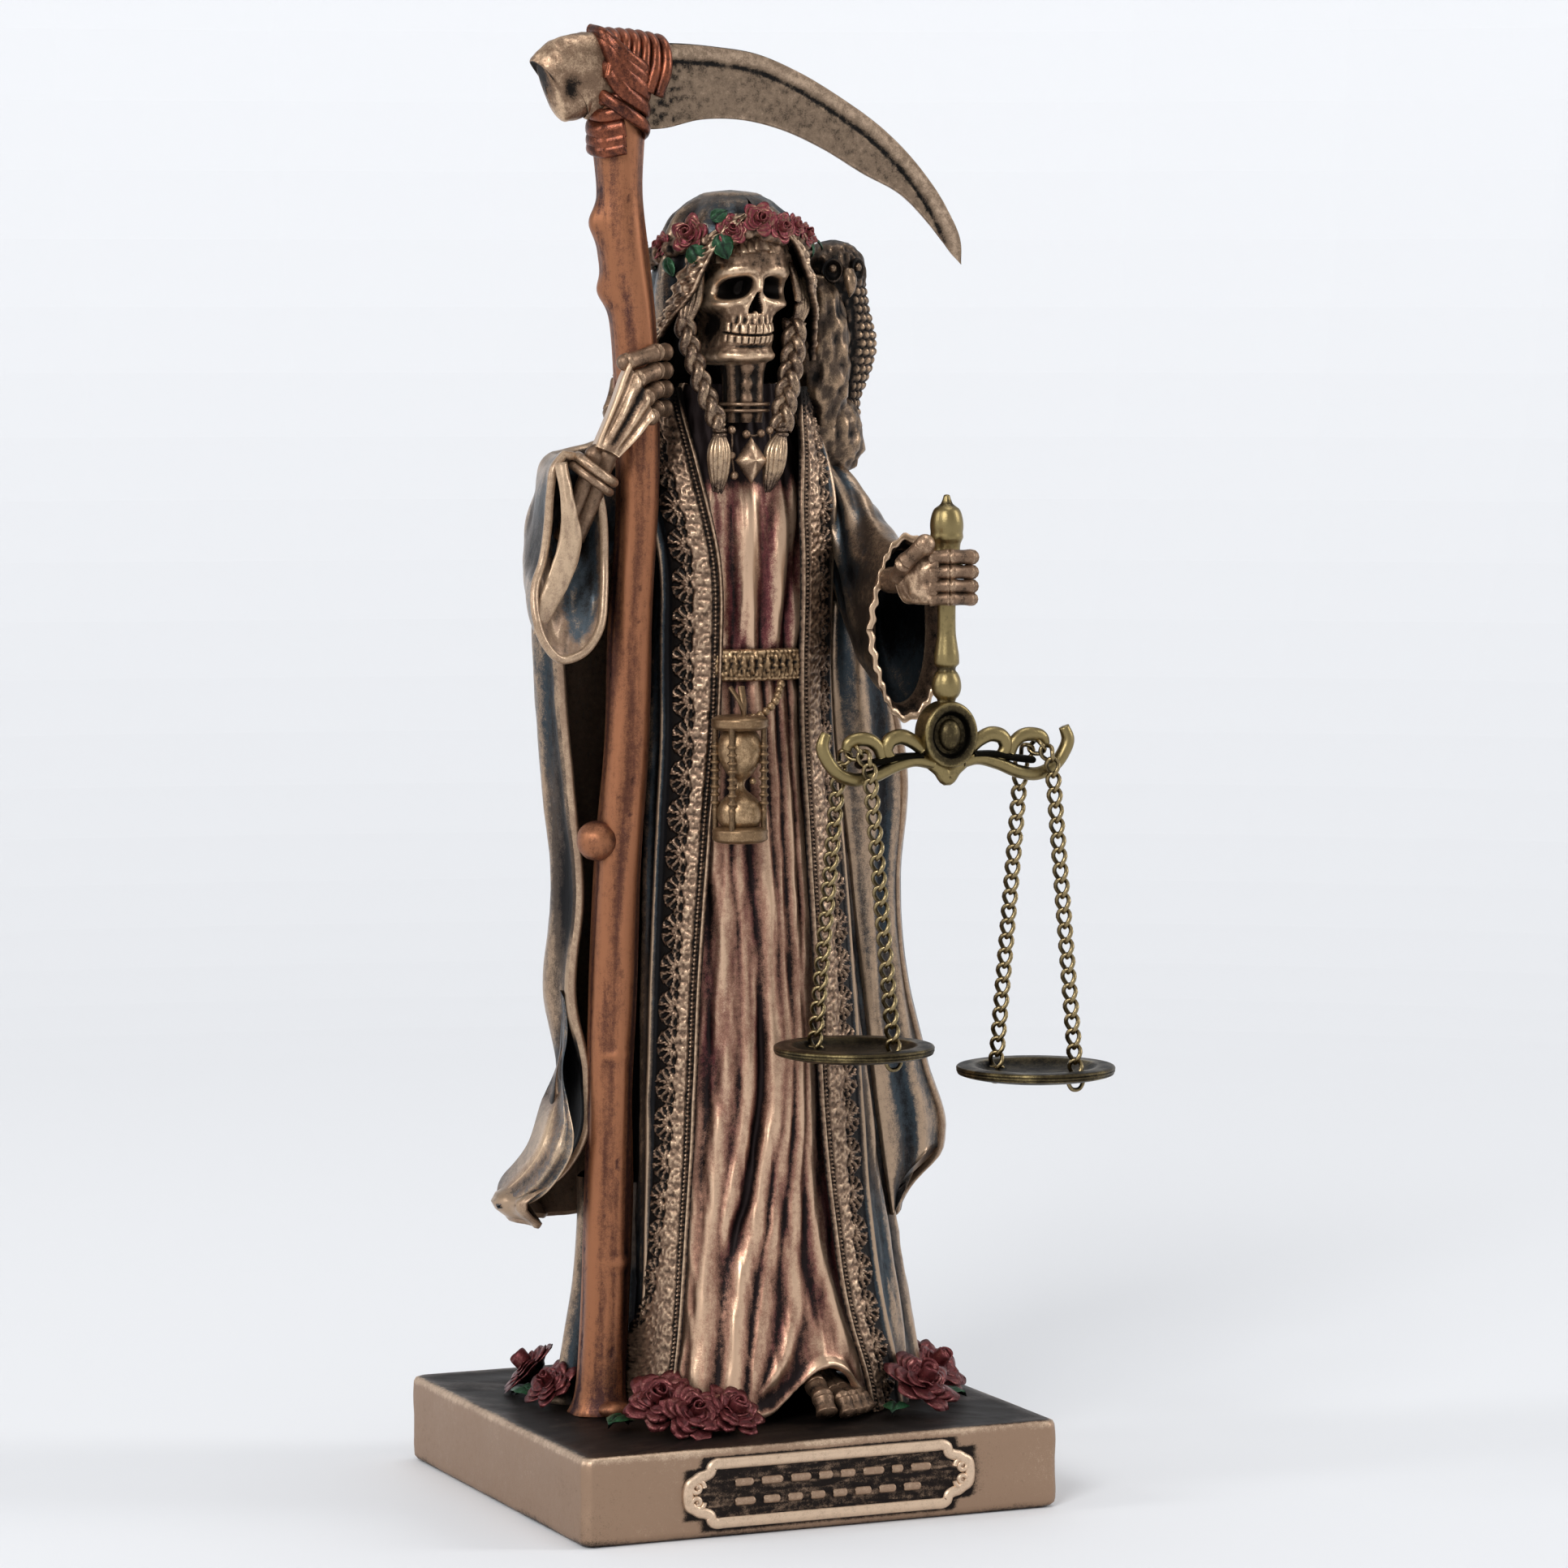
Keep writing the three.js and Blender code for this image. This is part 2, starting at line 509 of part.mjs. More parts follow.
function mantlePoint(turn, height, inward) {
  const [left, right, back, front] = between(MANTLE_ROWS, height);
  const [s, c] = [Math.sin(turn), Math.cos(turn)];
  const folds = (1.1 - height / 260) * Math.cos(turn * 8.8) * (1 - (turn / 1.9) ** 2) - inward;
  return fig(((s < 0 ? left : right) + folds) * s, 0.5 + ((c > 0 ? back : front) + folds) * c, height);
}

// The turn from the front at which the coat's front meets a given x.
function turnAt(x, height) {
  const [cx, , left, right] = between(COAT_ROWS, height);
  const half = x < cx ? left : right;
  return Math.asin(THREE.MathUtils.clamp((x - cx) / half, -0.96, 0.96));
}

function robeRing(height, mantleOut) {
  const [innerL, innerR, outerL, outerR] = between(LAPEL_ROWS, height).map((x) => turnAt(x, height));
  const sink = -1.3;
  const band = 0.5;
  const ring = [];
  const folds = 7;
  for (let i = 0; i <= folds; i++) {
    const pleat = (i % 2 ? -0.9 : 0.45) * (height > 112 ? 0.6 : 1);
    const belt = height > 105 && height < 110 ? 0.6 : pleat;
    ring.push(coatPoint(THREE.MathUtils.lerp(innerL, innerR, i / folds), height, sink + belt));
  }
  const rear = 1.75;
  ring.push(coatPoint(innerR, height, band), coatPoint(outerR, height, band));
  for (const share of [0.08, 0.55, 1]) {
    ring.push(coatPoint(THREE.MathUtils.lerp(outerR, rear, share), height, 0));
  }
  const edge = 1.78;
  const thick = mantleOut ? 1.5 : 0;
  const steps = 10;
  ring.push(mantlePoint(edge - 0.12, height, mantleOut ? thick : 0));
  for (let i = 0; i <= steps; i++) {
    ring.push(mantlePoint(edge * (1 - 2 * i / steps), height, 0));
  }
  ring.push(mantlePoint(-edge + 0.12, height, mantleOut ? thick : 0));
  for (const share of [1, 0.55, 0.08]) {
    ring.push(coatPoint(THREE.MathUtils.lerp(outerL, -rear, share), height, 0));
  }
  ring.push(coatPoint(outerL, height, band), coatPoint(innerL, height, band));
  return ring;
}

function robeGeometry() {
  const heights = [0, 11, 25, 27, 31, 34, 39, 48, 66, 86, 105.2, 105.6, 109.4, 109.8, 121, 131, 138, 147];
  return loft(heights.map((height) => robeRing(height, height > 26)));
}

// Sleeve of the raised right arm: shoulder, elbow, and a wide mouth that hangs open to the front.
function rightSleeve() {
  const stations = [
    [-10, 2, 132, 6, 8], [-19, 3, 127, 7, 9.5], [-25.6, 0, 119, 7, 12], [-28.2, -6, 113, 6.5, 13],
    [-28.6, -12, 110.4, 6.6, 13.4], [-28.6, -11.4, 110.6, 5.6, 12.2], [-27.2, -4, 115, 3.5, 8],
  ];
  const rings = stations.map(([x, y, z, wide, tall]) => Array.from({ length: 8 }, (_, k) => {
    const turn = k / 8 * TAU;
    return fig(x + wide * Math.cos(turn), y, z + tall * Math.sin(turn));
  }));
  return loft(rings);
}

// Sleeve of the left arm: down from the shoulder to the elbow, then forward to a tall ruffled mouth.
function leftSleeve() {
  const stations = [
    [9, 1, 133, 6, 6.5, 0], [15.5, 1, 127.5, 5.5, 8.5, 0.3], [19.5, -4, 119.5, 5.6, 11.5, 0.9],
    [20, -12, 113.5, 5.4, 13, 1.35], [19.4, -20, 111.6, 5.2, 13.2, 1.5], [19.4, -19.2, 111.8, 4, 11.8, 1.5],
    [20, -11, 116, 2.6, 6, 1.4],
  ];
  const rings = stations.map(([x, y, z, wide, tall, swing]) => Array.from({ length: 8 }, (_, k) => {
    const turn = k / 8 * TAU;
    const across = wide * Math.cos(turn);
    return fig(x + across * Math.sin(swing + 0.4), y + across * 0.25, z + tall * Math.sin(turn));
  }));
  return loft(rings);
}

// A skeletal fist round an upright rod: four finger bones bent round it, the palm and the wrist.
function fist(rod, radius, facing, wrist, lean, pitch) {
  const pieces = [];
  const bone = 0.55 * pitch;
  const grip = radius + FIT_GAP + bone * 0.55;
  for (let finger = 0; finger < 4; finger++) {
    const height = (1.5 - finger) * pitch;
    const path = span(-1.6, 1.8, 3).map((turn) => rod.clone().add(new THREE.Vector3(
      grip * Math.cos(facing + turn), grip * Math.sin(facing + turn), height + lean * turn)));
    pieces.push(tube(path, path.map((_, i) => bone * (i % 2 ? 1.05 : 1.3)), 3));
  }
  const back = new THREE.Vector3(Math.cos(facing - 1.5), Math.sin(facing - 1.5), 0);
  const palm = rod.clone().addScaledVector(back, grip);
  pieces.push(tube(
    [palm.clone().add(new THREE.Vector3(0, 0, 1.7 * pitch)), palm, palm.clone().lerp(wrist, 0.5), wrist],
    [[0.6, 0.8], [0.8, 1.5], [0.85, 1.45], [0.75, 0.9]].map((pair) => pair.map((r) => r * pitch)), 5));
  return pieces;
}

// Skull: an egg with sunk eye sockets and nose, cheekbones and a squared jaw.
function skullGeometry() {
  const [around, down] = [12, 7];
  const rings = span(0.06, 0.97, down).map((share) => {
    const polar = share * Math.PI;
    return Array.from({ length: around }, (_, k) => {
      const turn = (k + 0.5) / around * TAU;
      const [side, face] = [Math.sin(turn) * Math.sin(polar), Math.cos(turn) * Math.sin(polar)];
      const rise = Math.cos(polar);
      const pit = (x, z, size) => Math.max(0, 1 - ((side - x) ** 2 + (rise - z) ** 2) / size ** 2);
      const pits = 3.2 * (pit(-0.36, 0.1, 0.3) + pit(0.36, 0.1, 0.3)) + 1.8 * pit(0, -0.22, 0.16);
      const sunk = face > 0 ? pits : 0;
      const jaw = rise < 0 ? 1 - 0.3 * rise ** 2 * Math.abs(side) : 1;
      const deep = rise < 0 ? 8.9 : 8;
      return fig(-0.3 + 0.9 * rise + 7 * side * jaw, sunk - 5.4 - deep * face, 160.4 + 11.4 * rise);
    });
  });
  return loft(rings);
}

// Hood: a tall dome over the head that spreads to the shoulders, opened at the front for the face.
function hoodSolid() {
  const rows = [
    [-5, 0.5, 2, 12.6, 10.4], [5, 0.4, 1.6, 13.8, 12.4], [16, -0.2, -0.5, 12.2, 12.2], [28, -0.6, -3, 11.8, 12.2],
    [37, -0.9, -4, 9.2, 10], [41.6, -1, -4, 4.6, 5], [42.6, -1, -4, 1.4, 1.6],
  ];
  const rings = rows.map(([rise, x, y, wide, deep]) => Array.from({ length: 12 }, (_, k) => {
    const turn = k / 12 * TAU;
    const pleat = 1 + 0.03 * Math.cos(6 * turn) * (rise < 38 ? 1 : 0);
    return fig(x + wide * pleat * Math.sin(turn), y - deep * pleat * Math.cos(turn), 133 + rise);
  }));
  const opening = [
    [-1, -0.6, -13, 4.4, 10], [9, -0.2, -13, 7.8, 9.4], [21, 0.2, -12.4, 9.6, 9.4], [30, 0.3, -12.6, 8, 7.8],
    [35, 0, -13.5, 4.4, 5],
  ].map(([rise, x, y, wide, deep]) => Array.from({ length: 8 }, (_, k) => {
    const turn = k / 8 * TAU;
    return fig(x + wide * Math.sin(turn), y - deep * Math.cos(turn), 133 + rise);
  }));
  return solid(loft(rings)).subtract(solid(loft(opening)));
}

// A rose: rings of petals that open outwards, drawn as a lobed cup with a bud in it.
function roseGeometry(x, y, z, size) {
  const tilt = 0.35;
  const rows = [[-0.5, 0.4], [0.05, 1], [0.6, 0.46]];
  const rings = rows.map(([rise, wide], j) => Array.from({ length: 6 }, (_, k) => {
    const turn = k / 6 * TAU + j * 0.5;
    const lobe = wide * (1 + 0.12 * Math.cos(3 * turn));
    return new THREE.Vector3(lobe * Math.sin(turn), lobe * Math.cos(turn), rise).multiplyScalar(size);
  }));
  const centre = fig(x, y, z);
  return loft(rings).rotateX(tilt).translate(centre.x, centre.y, centre.z);
}

// The leaf a rose lies on, which runs in under the hem.
function leafGeometry(x, y, size) {
  const inward = 0.62;
  const widths = [[size * 0.6, 0.9], [size * 0.4, 0.9]].map((pair) => pair.map((r) => r * UNIT));
  return tube([fig(x, y, 0.8), fig(inward * x, inward * y, 1)], widths, 4);
}

// Wreath of roses round the hood.
function wreathBlooms() {
  return span(-1.6, 1.6, 7).map((turn, i) => {
    const [s, c] = [Math.sin(turn), Math.cos(turn)];
    const at = fig(-0.6 + 11 * s, -3.6 - 11.6 * c, 169.2 - 2.5 * c);
    const size = (2.9 + 0.4 * (i % 2)) * UNIT;
    return new THREE.OctahedronGeometry(size).rotateZ(turn).translate(at.x, at.y, at.z);
  });
}

// Owl on the left shoulder, behind the hood.
function owlPieces() {
  const spine = [[14.4, 4, 134], [18, 5, 144], [20, 4.6, 151], [19.4, 4, 157], [18.4, 3.4, 161]];
  const radii = [1.6, 2.7, 4.4, 4.3, 3].map((r) => r * UNIT);
  const body = tube(spine.map((at) => fig(...at)), radii, 7, ACROSS_DEPTH);
  const head = ball(fig(18.4, 2.6, 163.4), [4.3 * UNIT, 4.4 * UNIT, 4.2 * UNIT], 8, 5);
  return [body, head];
}

// A braid: a cord of alternate lobes that hangs from the temple to a loose tuft on the chest.
function braidGeometry(side) {
  const stations = [
    [-1.1, 8.8, -8.6, 156], [-1.3, 7.8, -9.8, 151], [-1.7, 6.9, -10.8, 146], [-1.8, 5.4, -12.2, 141.4],
    [-2.2, 4.7, -13.4, 137.6], [-2.3, 4.6, -13.8, 132],
  ];
  return tube(stations.map(([middle, apart, y, z]) => fig(middle + side * apart, y, z)),
    [1.3, 1.8, 1.4, 1.7, 1.6, 0.5].map((r) => r * UNIT), 4);
}

// The hourglass that hangs from the belt: two discs, two bulbs and four corner posts.
function hourglassPieces() {
  const [x, y] = [-4.3, -15.4];
  const profile = [[0, 0], [4.1, 0], [4.1, 1.5], [2, 1.8], [2.8, 4.2], [0.8, 7.4], [2.8, 10.6],
    [2, 13], [3.9, 13.2], [3.9, 14.7], [0, 14.7]];
  const glass = new THREE.LatheGeometry(profile.map(([r, z]) => new THREE.Vector2(r * UNIT, z * UNIT)), 6)
    .rotateX(Math.PI / 2);
  const foot = fig(x, y, 85);
  const posts = [-1, 1].map((side) => {
    const ends = [85.8, 98.6].map((z) => fig(x + side * 3, y - 1.4, z));
    return tube(ends, [0.5 * UNIT, 0.5 * UNIT], 3, ACROSS_DEPTH);
  });
  const cord = tube([fig(-3, y + 1.6, 106), fig(x + 0.6, y, 99)], [1.4 * UNIT, 1.4 * UNIT], 4, ACROSS_DEPTH);
  return [glass.translate(foot.x, foot.y, foot.z), ...posts, cord];
}

// The bare left foot under the hem: five toe bones.
function footPieces() {
  return span(0, 4, 4).map((toe) => {
    const [x, y] = [6.4 + 2.1 * toe, 0.45 * toe ** 1.6 - 25];
    const thick = (1.15 - 0.08 * toe) * UNIT;
    const path = [fig(x, y + 6, 2.6), fig(x, y + 1.5, 1.9), fig(x, y, 0.7)];
    return tube(path, [thick, thick * 1.1, thick * 0.7], 3);
  });
}

// A limb or cord of the figure: stations of x, y, z and radius in figure units.
function limb(stations, sides) {
  return tube(stations.map(([x, y, z]) => fig(x, y, z)), stations.map(([, , , r]) => r * UNIT), sides);
}

function figureSolid() {
  const rightRod = shaftCentre(HAND_HEIGHT * UNIT);
  const rightWrist = [-24.4, -11.6, 136.4];
  const leftWrist = [15.6, -26, 119];
  const roses = [
    [-18, -20.4, 3.2, 4.8], [-16, -25, 2.4, 4], [-9.8, -24.6, 2.4, 4], [21.4, -20.6, 3.2, 5],
    [30, -7, 3, 4.6], [-25.6, 4, 2.4, 3.6], [-24.4, 15.6, 2.8, 4.6],
  ];
  const leaves = [[-14, -24, 4.6], [-25, 14, 4.6]];
  const forearms = [
    limb([[...rightWrist, 1.9], [-28.4, -7, 122, 2.2], [-28, -3, 114, 2.4]], 6),
    limb([[...leftWrist, 1.9], [18.6, -19, 118.4, 2.3], [21, -10, 116, 2.4]], 6),
  ];
  const bracelet = limb([[-25.4, -11, 135, 2.9], [-24.2, -11.6, 137, 2.7]], 8);
  const thumb = limb([[17.4, -30.6, 120, 1.5], [17.8, -32, 123.6, 1.5], [19, -32.4, 125, 1.2]], 5);
  const neck = limb([[0.6, -4, 140, 3.2], [0.8, -5.4, 146, 2.6], [1, -5, 152, 3]], 8);
  const pieces = [
    robeGeometry(), rightSleeve(), leftSleeve(), skullGeometry(), bracelet, thumb, neck, ...forearms,
    ...fist(rightRod, SHAFT_DIAMETER / 2, -0.6, fig(...rightWrist), -0.3, 2.8 * UNIT),
    ...fist(GRIP, HANDLE_DIAMETER / 2, -0.55, fig(...leftWrist), 0.1, 2.35 * UNIT),
    ...wreathBlooms(), ...owlPieces(), braidGeometry(-1), braidGeometry(1), ...hourglassPieces(),
    ...footPieces(), ...roses.map(([x, y, z, size]) => roseGeometry(x, y, z, size * UNIT)),
    ...leaves.map(([x, y, size]) => leafGeometry(x, y, size)),
  ].map(solid);
  const shaftRoom = solid(shaftTube(FIT_GAP));
  const roomRadius = HANDLE_DIAMETER * 0.575 + FIT_GAP;
  const handleRoom = solid(new THREE.CylinderGeometry(roomRadius, roomRadius, 14 * UNIT, 7)
    .rotateX(Math.PI / 2).translate(GRIP.x, GRIP.y, GRIP.z));
  return onPlinth(fuse([...pieces, hoodSolid()]).subtract(shaftRoom).subtract(handleRoom));
}

const MATERIALS = {
  plinth: new THREE.MeshStandardMaterial({ color: 0xa88a6d, roughness: 0.5, metalness: 0.6 }),
  figure: new THREE.MeshStandardMaterial({ color: 0x7d6553, roughness: 0.48, metalness: 0.6 }),
  scythe: new THREE.MeshStandardMaterial({ color: 0x96583c, roughness: 0.5, metalness: 0.5 }),
  brass: new THREE.MeshStandardMaterial({ color: 0x8d773f, roughness: 0.42, metalness: 0.9 }),
  chain: new THREE.MeshStandardMaterial({ color: 0x6b5a3c, roughness: 0.45, metalness: 0.9 }),
};

const object = new THREE.Group();

function place(name, manifold, material) {
  const mesh = new THREE.Mesh(geometryOf(withoutPockets(manifold)), material);
  mesh.name = name;
  object.add(mesh);
}

place('plinth', plinthSolid(), MATERIALS.plinth);
place('figure', figureSolid(), MATERIALS.figure);
place('scythe', scytheSolid(), MATERIALS.scythe);
place('balance_beam', balanceSolid(), MATERIALS.brass);
for (const [name, side, links] of [['left', -1, LINKS_LEFT], ['right', 1, LINKS_RIGHT]]) {
  place(`pan_chain_${name}`, chainSolid(side, links), MATERIALS.chain);
  place(`pan_${name}`, panSolid(side, links), MATERIALS.brass);
}

export default object;
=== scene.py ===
"""Dressed model of the saint figurine: carved relief, painted bronze and the photograph's camera.

Sizes are in millimetres and turn to metres when a mesh is made. Heights of the figure count
from the plinth's top. Every form is a grid of points, displaced in the mesh itself.
"""
import json
import math

import bpy
import numpy as np
from mathutils import Matrix, Vector
from mathutils.bvhtree import BVHTree

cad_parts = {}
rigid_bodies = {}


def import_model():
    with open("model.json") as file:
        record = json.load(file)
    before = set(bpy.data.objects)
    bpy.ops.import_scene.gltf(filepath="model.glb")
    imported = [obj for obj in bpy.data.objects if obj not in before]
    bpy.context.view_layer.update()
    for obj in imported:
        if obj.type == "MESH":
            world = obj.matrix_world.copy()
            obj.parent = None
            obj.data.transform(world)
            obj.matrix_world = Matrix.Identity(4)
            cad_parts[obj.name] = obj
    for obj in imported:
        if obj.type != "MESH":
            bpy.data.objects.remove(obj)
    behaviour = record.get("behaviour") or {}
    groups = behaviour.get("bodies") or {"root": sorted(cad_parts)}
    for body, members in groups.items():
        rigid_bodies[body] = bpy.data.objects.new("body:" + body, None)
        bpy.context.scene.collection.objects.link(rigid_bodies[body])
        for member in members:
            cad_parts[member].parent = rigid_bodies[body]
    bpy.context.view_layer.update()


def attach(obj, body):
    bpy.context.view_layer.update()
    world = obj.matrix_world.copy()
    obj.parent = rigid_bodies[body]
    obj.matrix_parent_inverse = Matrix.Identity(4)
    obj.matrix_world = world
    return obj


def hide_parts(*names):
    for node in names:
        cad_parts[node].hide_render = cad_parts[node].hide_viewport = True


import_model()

MM = 0.001
TAU = 2 * math.pi
PLINTH_HEIGHT = 12.6
PLINTH_WIDTH = 73.0
PLINTH_DEPTH = 70.6


def linear(code):
    """Linear colour of an sRGB hex code."""
    parts = [int(code[k:k + 2], 16) / 255 for k in (1, 3, 5)]
    return tuple(c / 12.92 if c <= 0.04045 else ((c + 0.055) / 1.055) ** 2.4 for c in parts) + (1.0,)


def smooth(low, high, value):
    """Step from 0 at low to 1 at high with soft ends."""
    t = np.clip((np.asarray(value, float) - low) / (high - low), 0, 1)
    return t * t * (3 - 2 * t)


def bump(value, centre, width):
    """Bell of height 1."""
    return np.exp(-((value - centre) / width) ** 2)


def xyz(x, y, z):
    """Points from three coordinates, each spread to the shape that they share."""
    return np.stack(np.broadcast_arrays(x, y, z), axis=-1)


def unit(vectors):
    """Vectors made 1 long."""
    return vectors / np.linalg.norm(vectors, axis=-1, keepdims=True)


def turns(count):
    """Row of angles once round a ring."""
    return np.arange(count)[None, :] / count * TAU


def outward(turn, front=-1):
    """Level direction at a turn from the front; with front 1, at a turn from the back."""
    return xyz(np.sin(turn), front * np.cos(turn), 0)


def lengths(line):
    """Distance from a line's start to each of its points."""
    return np.concatenate([[0], np.cumsum(np.linalg.norm(np.diff(line, axis=0), axis=1))])


def widths(grid):
    """Distance along each row of a grid from the row's first point."""
    return np.array([lengths(row) for row in grid])


def two_faces(front, behind):
    """Closed section of a sheet: its front face, then its rear face backwards."""
    return np.concatenate([front, behind[:, ::-1]], axis=1)


def rows_at(table, at):
    """Columns of a table at other keys, on smooth curves through its rows."""
    table = np.asarray(table, float)
    key, rest = table[:, 0], table[:, 1:]
    at = np.clip(np.asarray(at, float), key[0], key[-1])
    slope = np.gradient(rest, key, axis=0)
    low = np.clip(np.searchsorted(key, at, side="right") - 1, 0, len(key) - 2)
    span = (key[low + 1] - key[low])[..., None]
    t = (at - key[low])[..., None] / span
    return ((2 * t ** 3 - 3 * t ** 2 + 1) * rest[low] + (t ** 3 - 2 * t ** 2 + t) * span * slope[low]
            + (3 * t ** 2 - 2 * t ** 3) * rest[low + 1] + (t ** 3 - t ** 2) * span * slope[low + 1])


def noise(points, size, seed=0):
    """Smooth random field from -1 to 1: random values at the corners of cells, blended between them."""
    lattice = np.random.default_rng(seed).uniform(-1, 1, (32, 32, 32))
    p = np.asarray(points, float) / size
    cell = np.floor(p).astype(int)
    f = p - cell
    f = f * f * (3 - 2 * f)
    total = 0
    for corner in range(8):
        step = np.array([corner & 1, corner >> 1 & 1, corner >> 2])
        share = np.where(step == 1, f, 1 - f).prod(axis=-1)
        at = (cell + step) % 32
        total = total + share * lattice[at[..., 0], at[..., 1], at[..., 2]]
    return total


def blurred(field, reach, wrap):
    """Mean over a square window of a grid of points."""
    for axis, mode in ((0, "edge"), (1, "wrap" if wrap else "edge")):
        pad = [(0, 0)] * field.ndim
        pad[axis] = (reach + 1, reach)
        total = np.cumsum(np.pad(field, pad, mode=mode), axis=axis)
        count = field.shape[axis]
        high = np.take(total, np.arange(2 * reach + 1, 2 * reach + 1 + count), axis=axis)
        low = np.take(total, np.arange(count), axis=axis)
        field = (high - low) / (2 * reach + 1)
    return field


def normals(grid, wrap):
    """Unit normals of a grid of points, from its row and column differences."""
    if wrap:
        across = np.roll(grid, -1, axis=1) - np.roll(grid, 1, axis=1)
    else:
        across = np.gradient(grid, axis=1)
    n = np.cross(across, np.gradient(grid, axis=0))
    return n / np.maximum(np.linalg.norm(n, axis=-1, keepdims=True), 1e-9)


def solid_tree():
    """Search tree of the CAD solids, for how open each place is to the light."""
    points, faces = [], []
    for o in bpy.data.objects:
        if o.type != "MESH":
            continue
        start = len(points)
        points += [o.matrix_world @ v.co / MM for v in o.data.vertices]
        faces += [[start + k for k in p.vertices] for p in o.data.polygons]
    return BVHTree.FromPolygons(points, faces)


TREE = solid_tree()
RAY_COUNT = 14
GOLDEN = math.pi * (3 - math.sqrt(5))
RAYS = [Vector((math.sqrt(1 - z * z) * math.cos(k * GOLDEN),
                math.sqrt(1 - z * z) * math.sin(k * GOLDEN), z))
        for k, z in enumerate((np.arange(RAY_COUNT) + 0.5) / RAY_COUNT)]
RAY_REACH = 22.0
RAY_START = 1.3


def openness(points, normal):
    """Share of the sky that each point sees past the solids, from rays round its normal."""
    seen = []
    for p, n in zip(points.reshape(-1, 3), normal.reshape(-1, 3)):
        n = Vector(n)
        turn = n.to_track_quat("Z", "X").to_matrix()
        start = Vector(p) + n * RAY_START
        light = 0.0
        for ray in RAYS:
            way = turn @ ray
            hit, facing, _, far = TREE.ray_cast(start, way, RAY_REACH)
            light += 1.0 if hit is None or facing.dot(way) > 0 else (far / RAY_REACH) ** 0.7
        seen.append(light / RAY_COUNT)
    return np.array(seen).reshape(points.shape[:-1])


def spread(values, rows, columns, shape):
    """A coarse grid of values carried over to all points of the full grid."""
    def weights(at, count):
        full = np.arange(count)
        return np.array([np.interp(full, at, one) for one in np.eye(len(at))]).T
    return weights(rows, shape[0]) @ values @ weights(columns, shape[1]).T


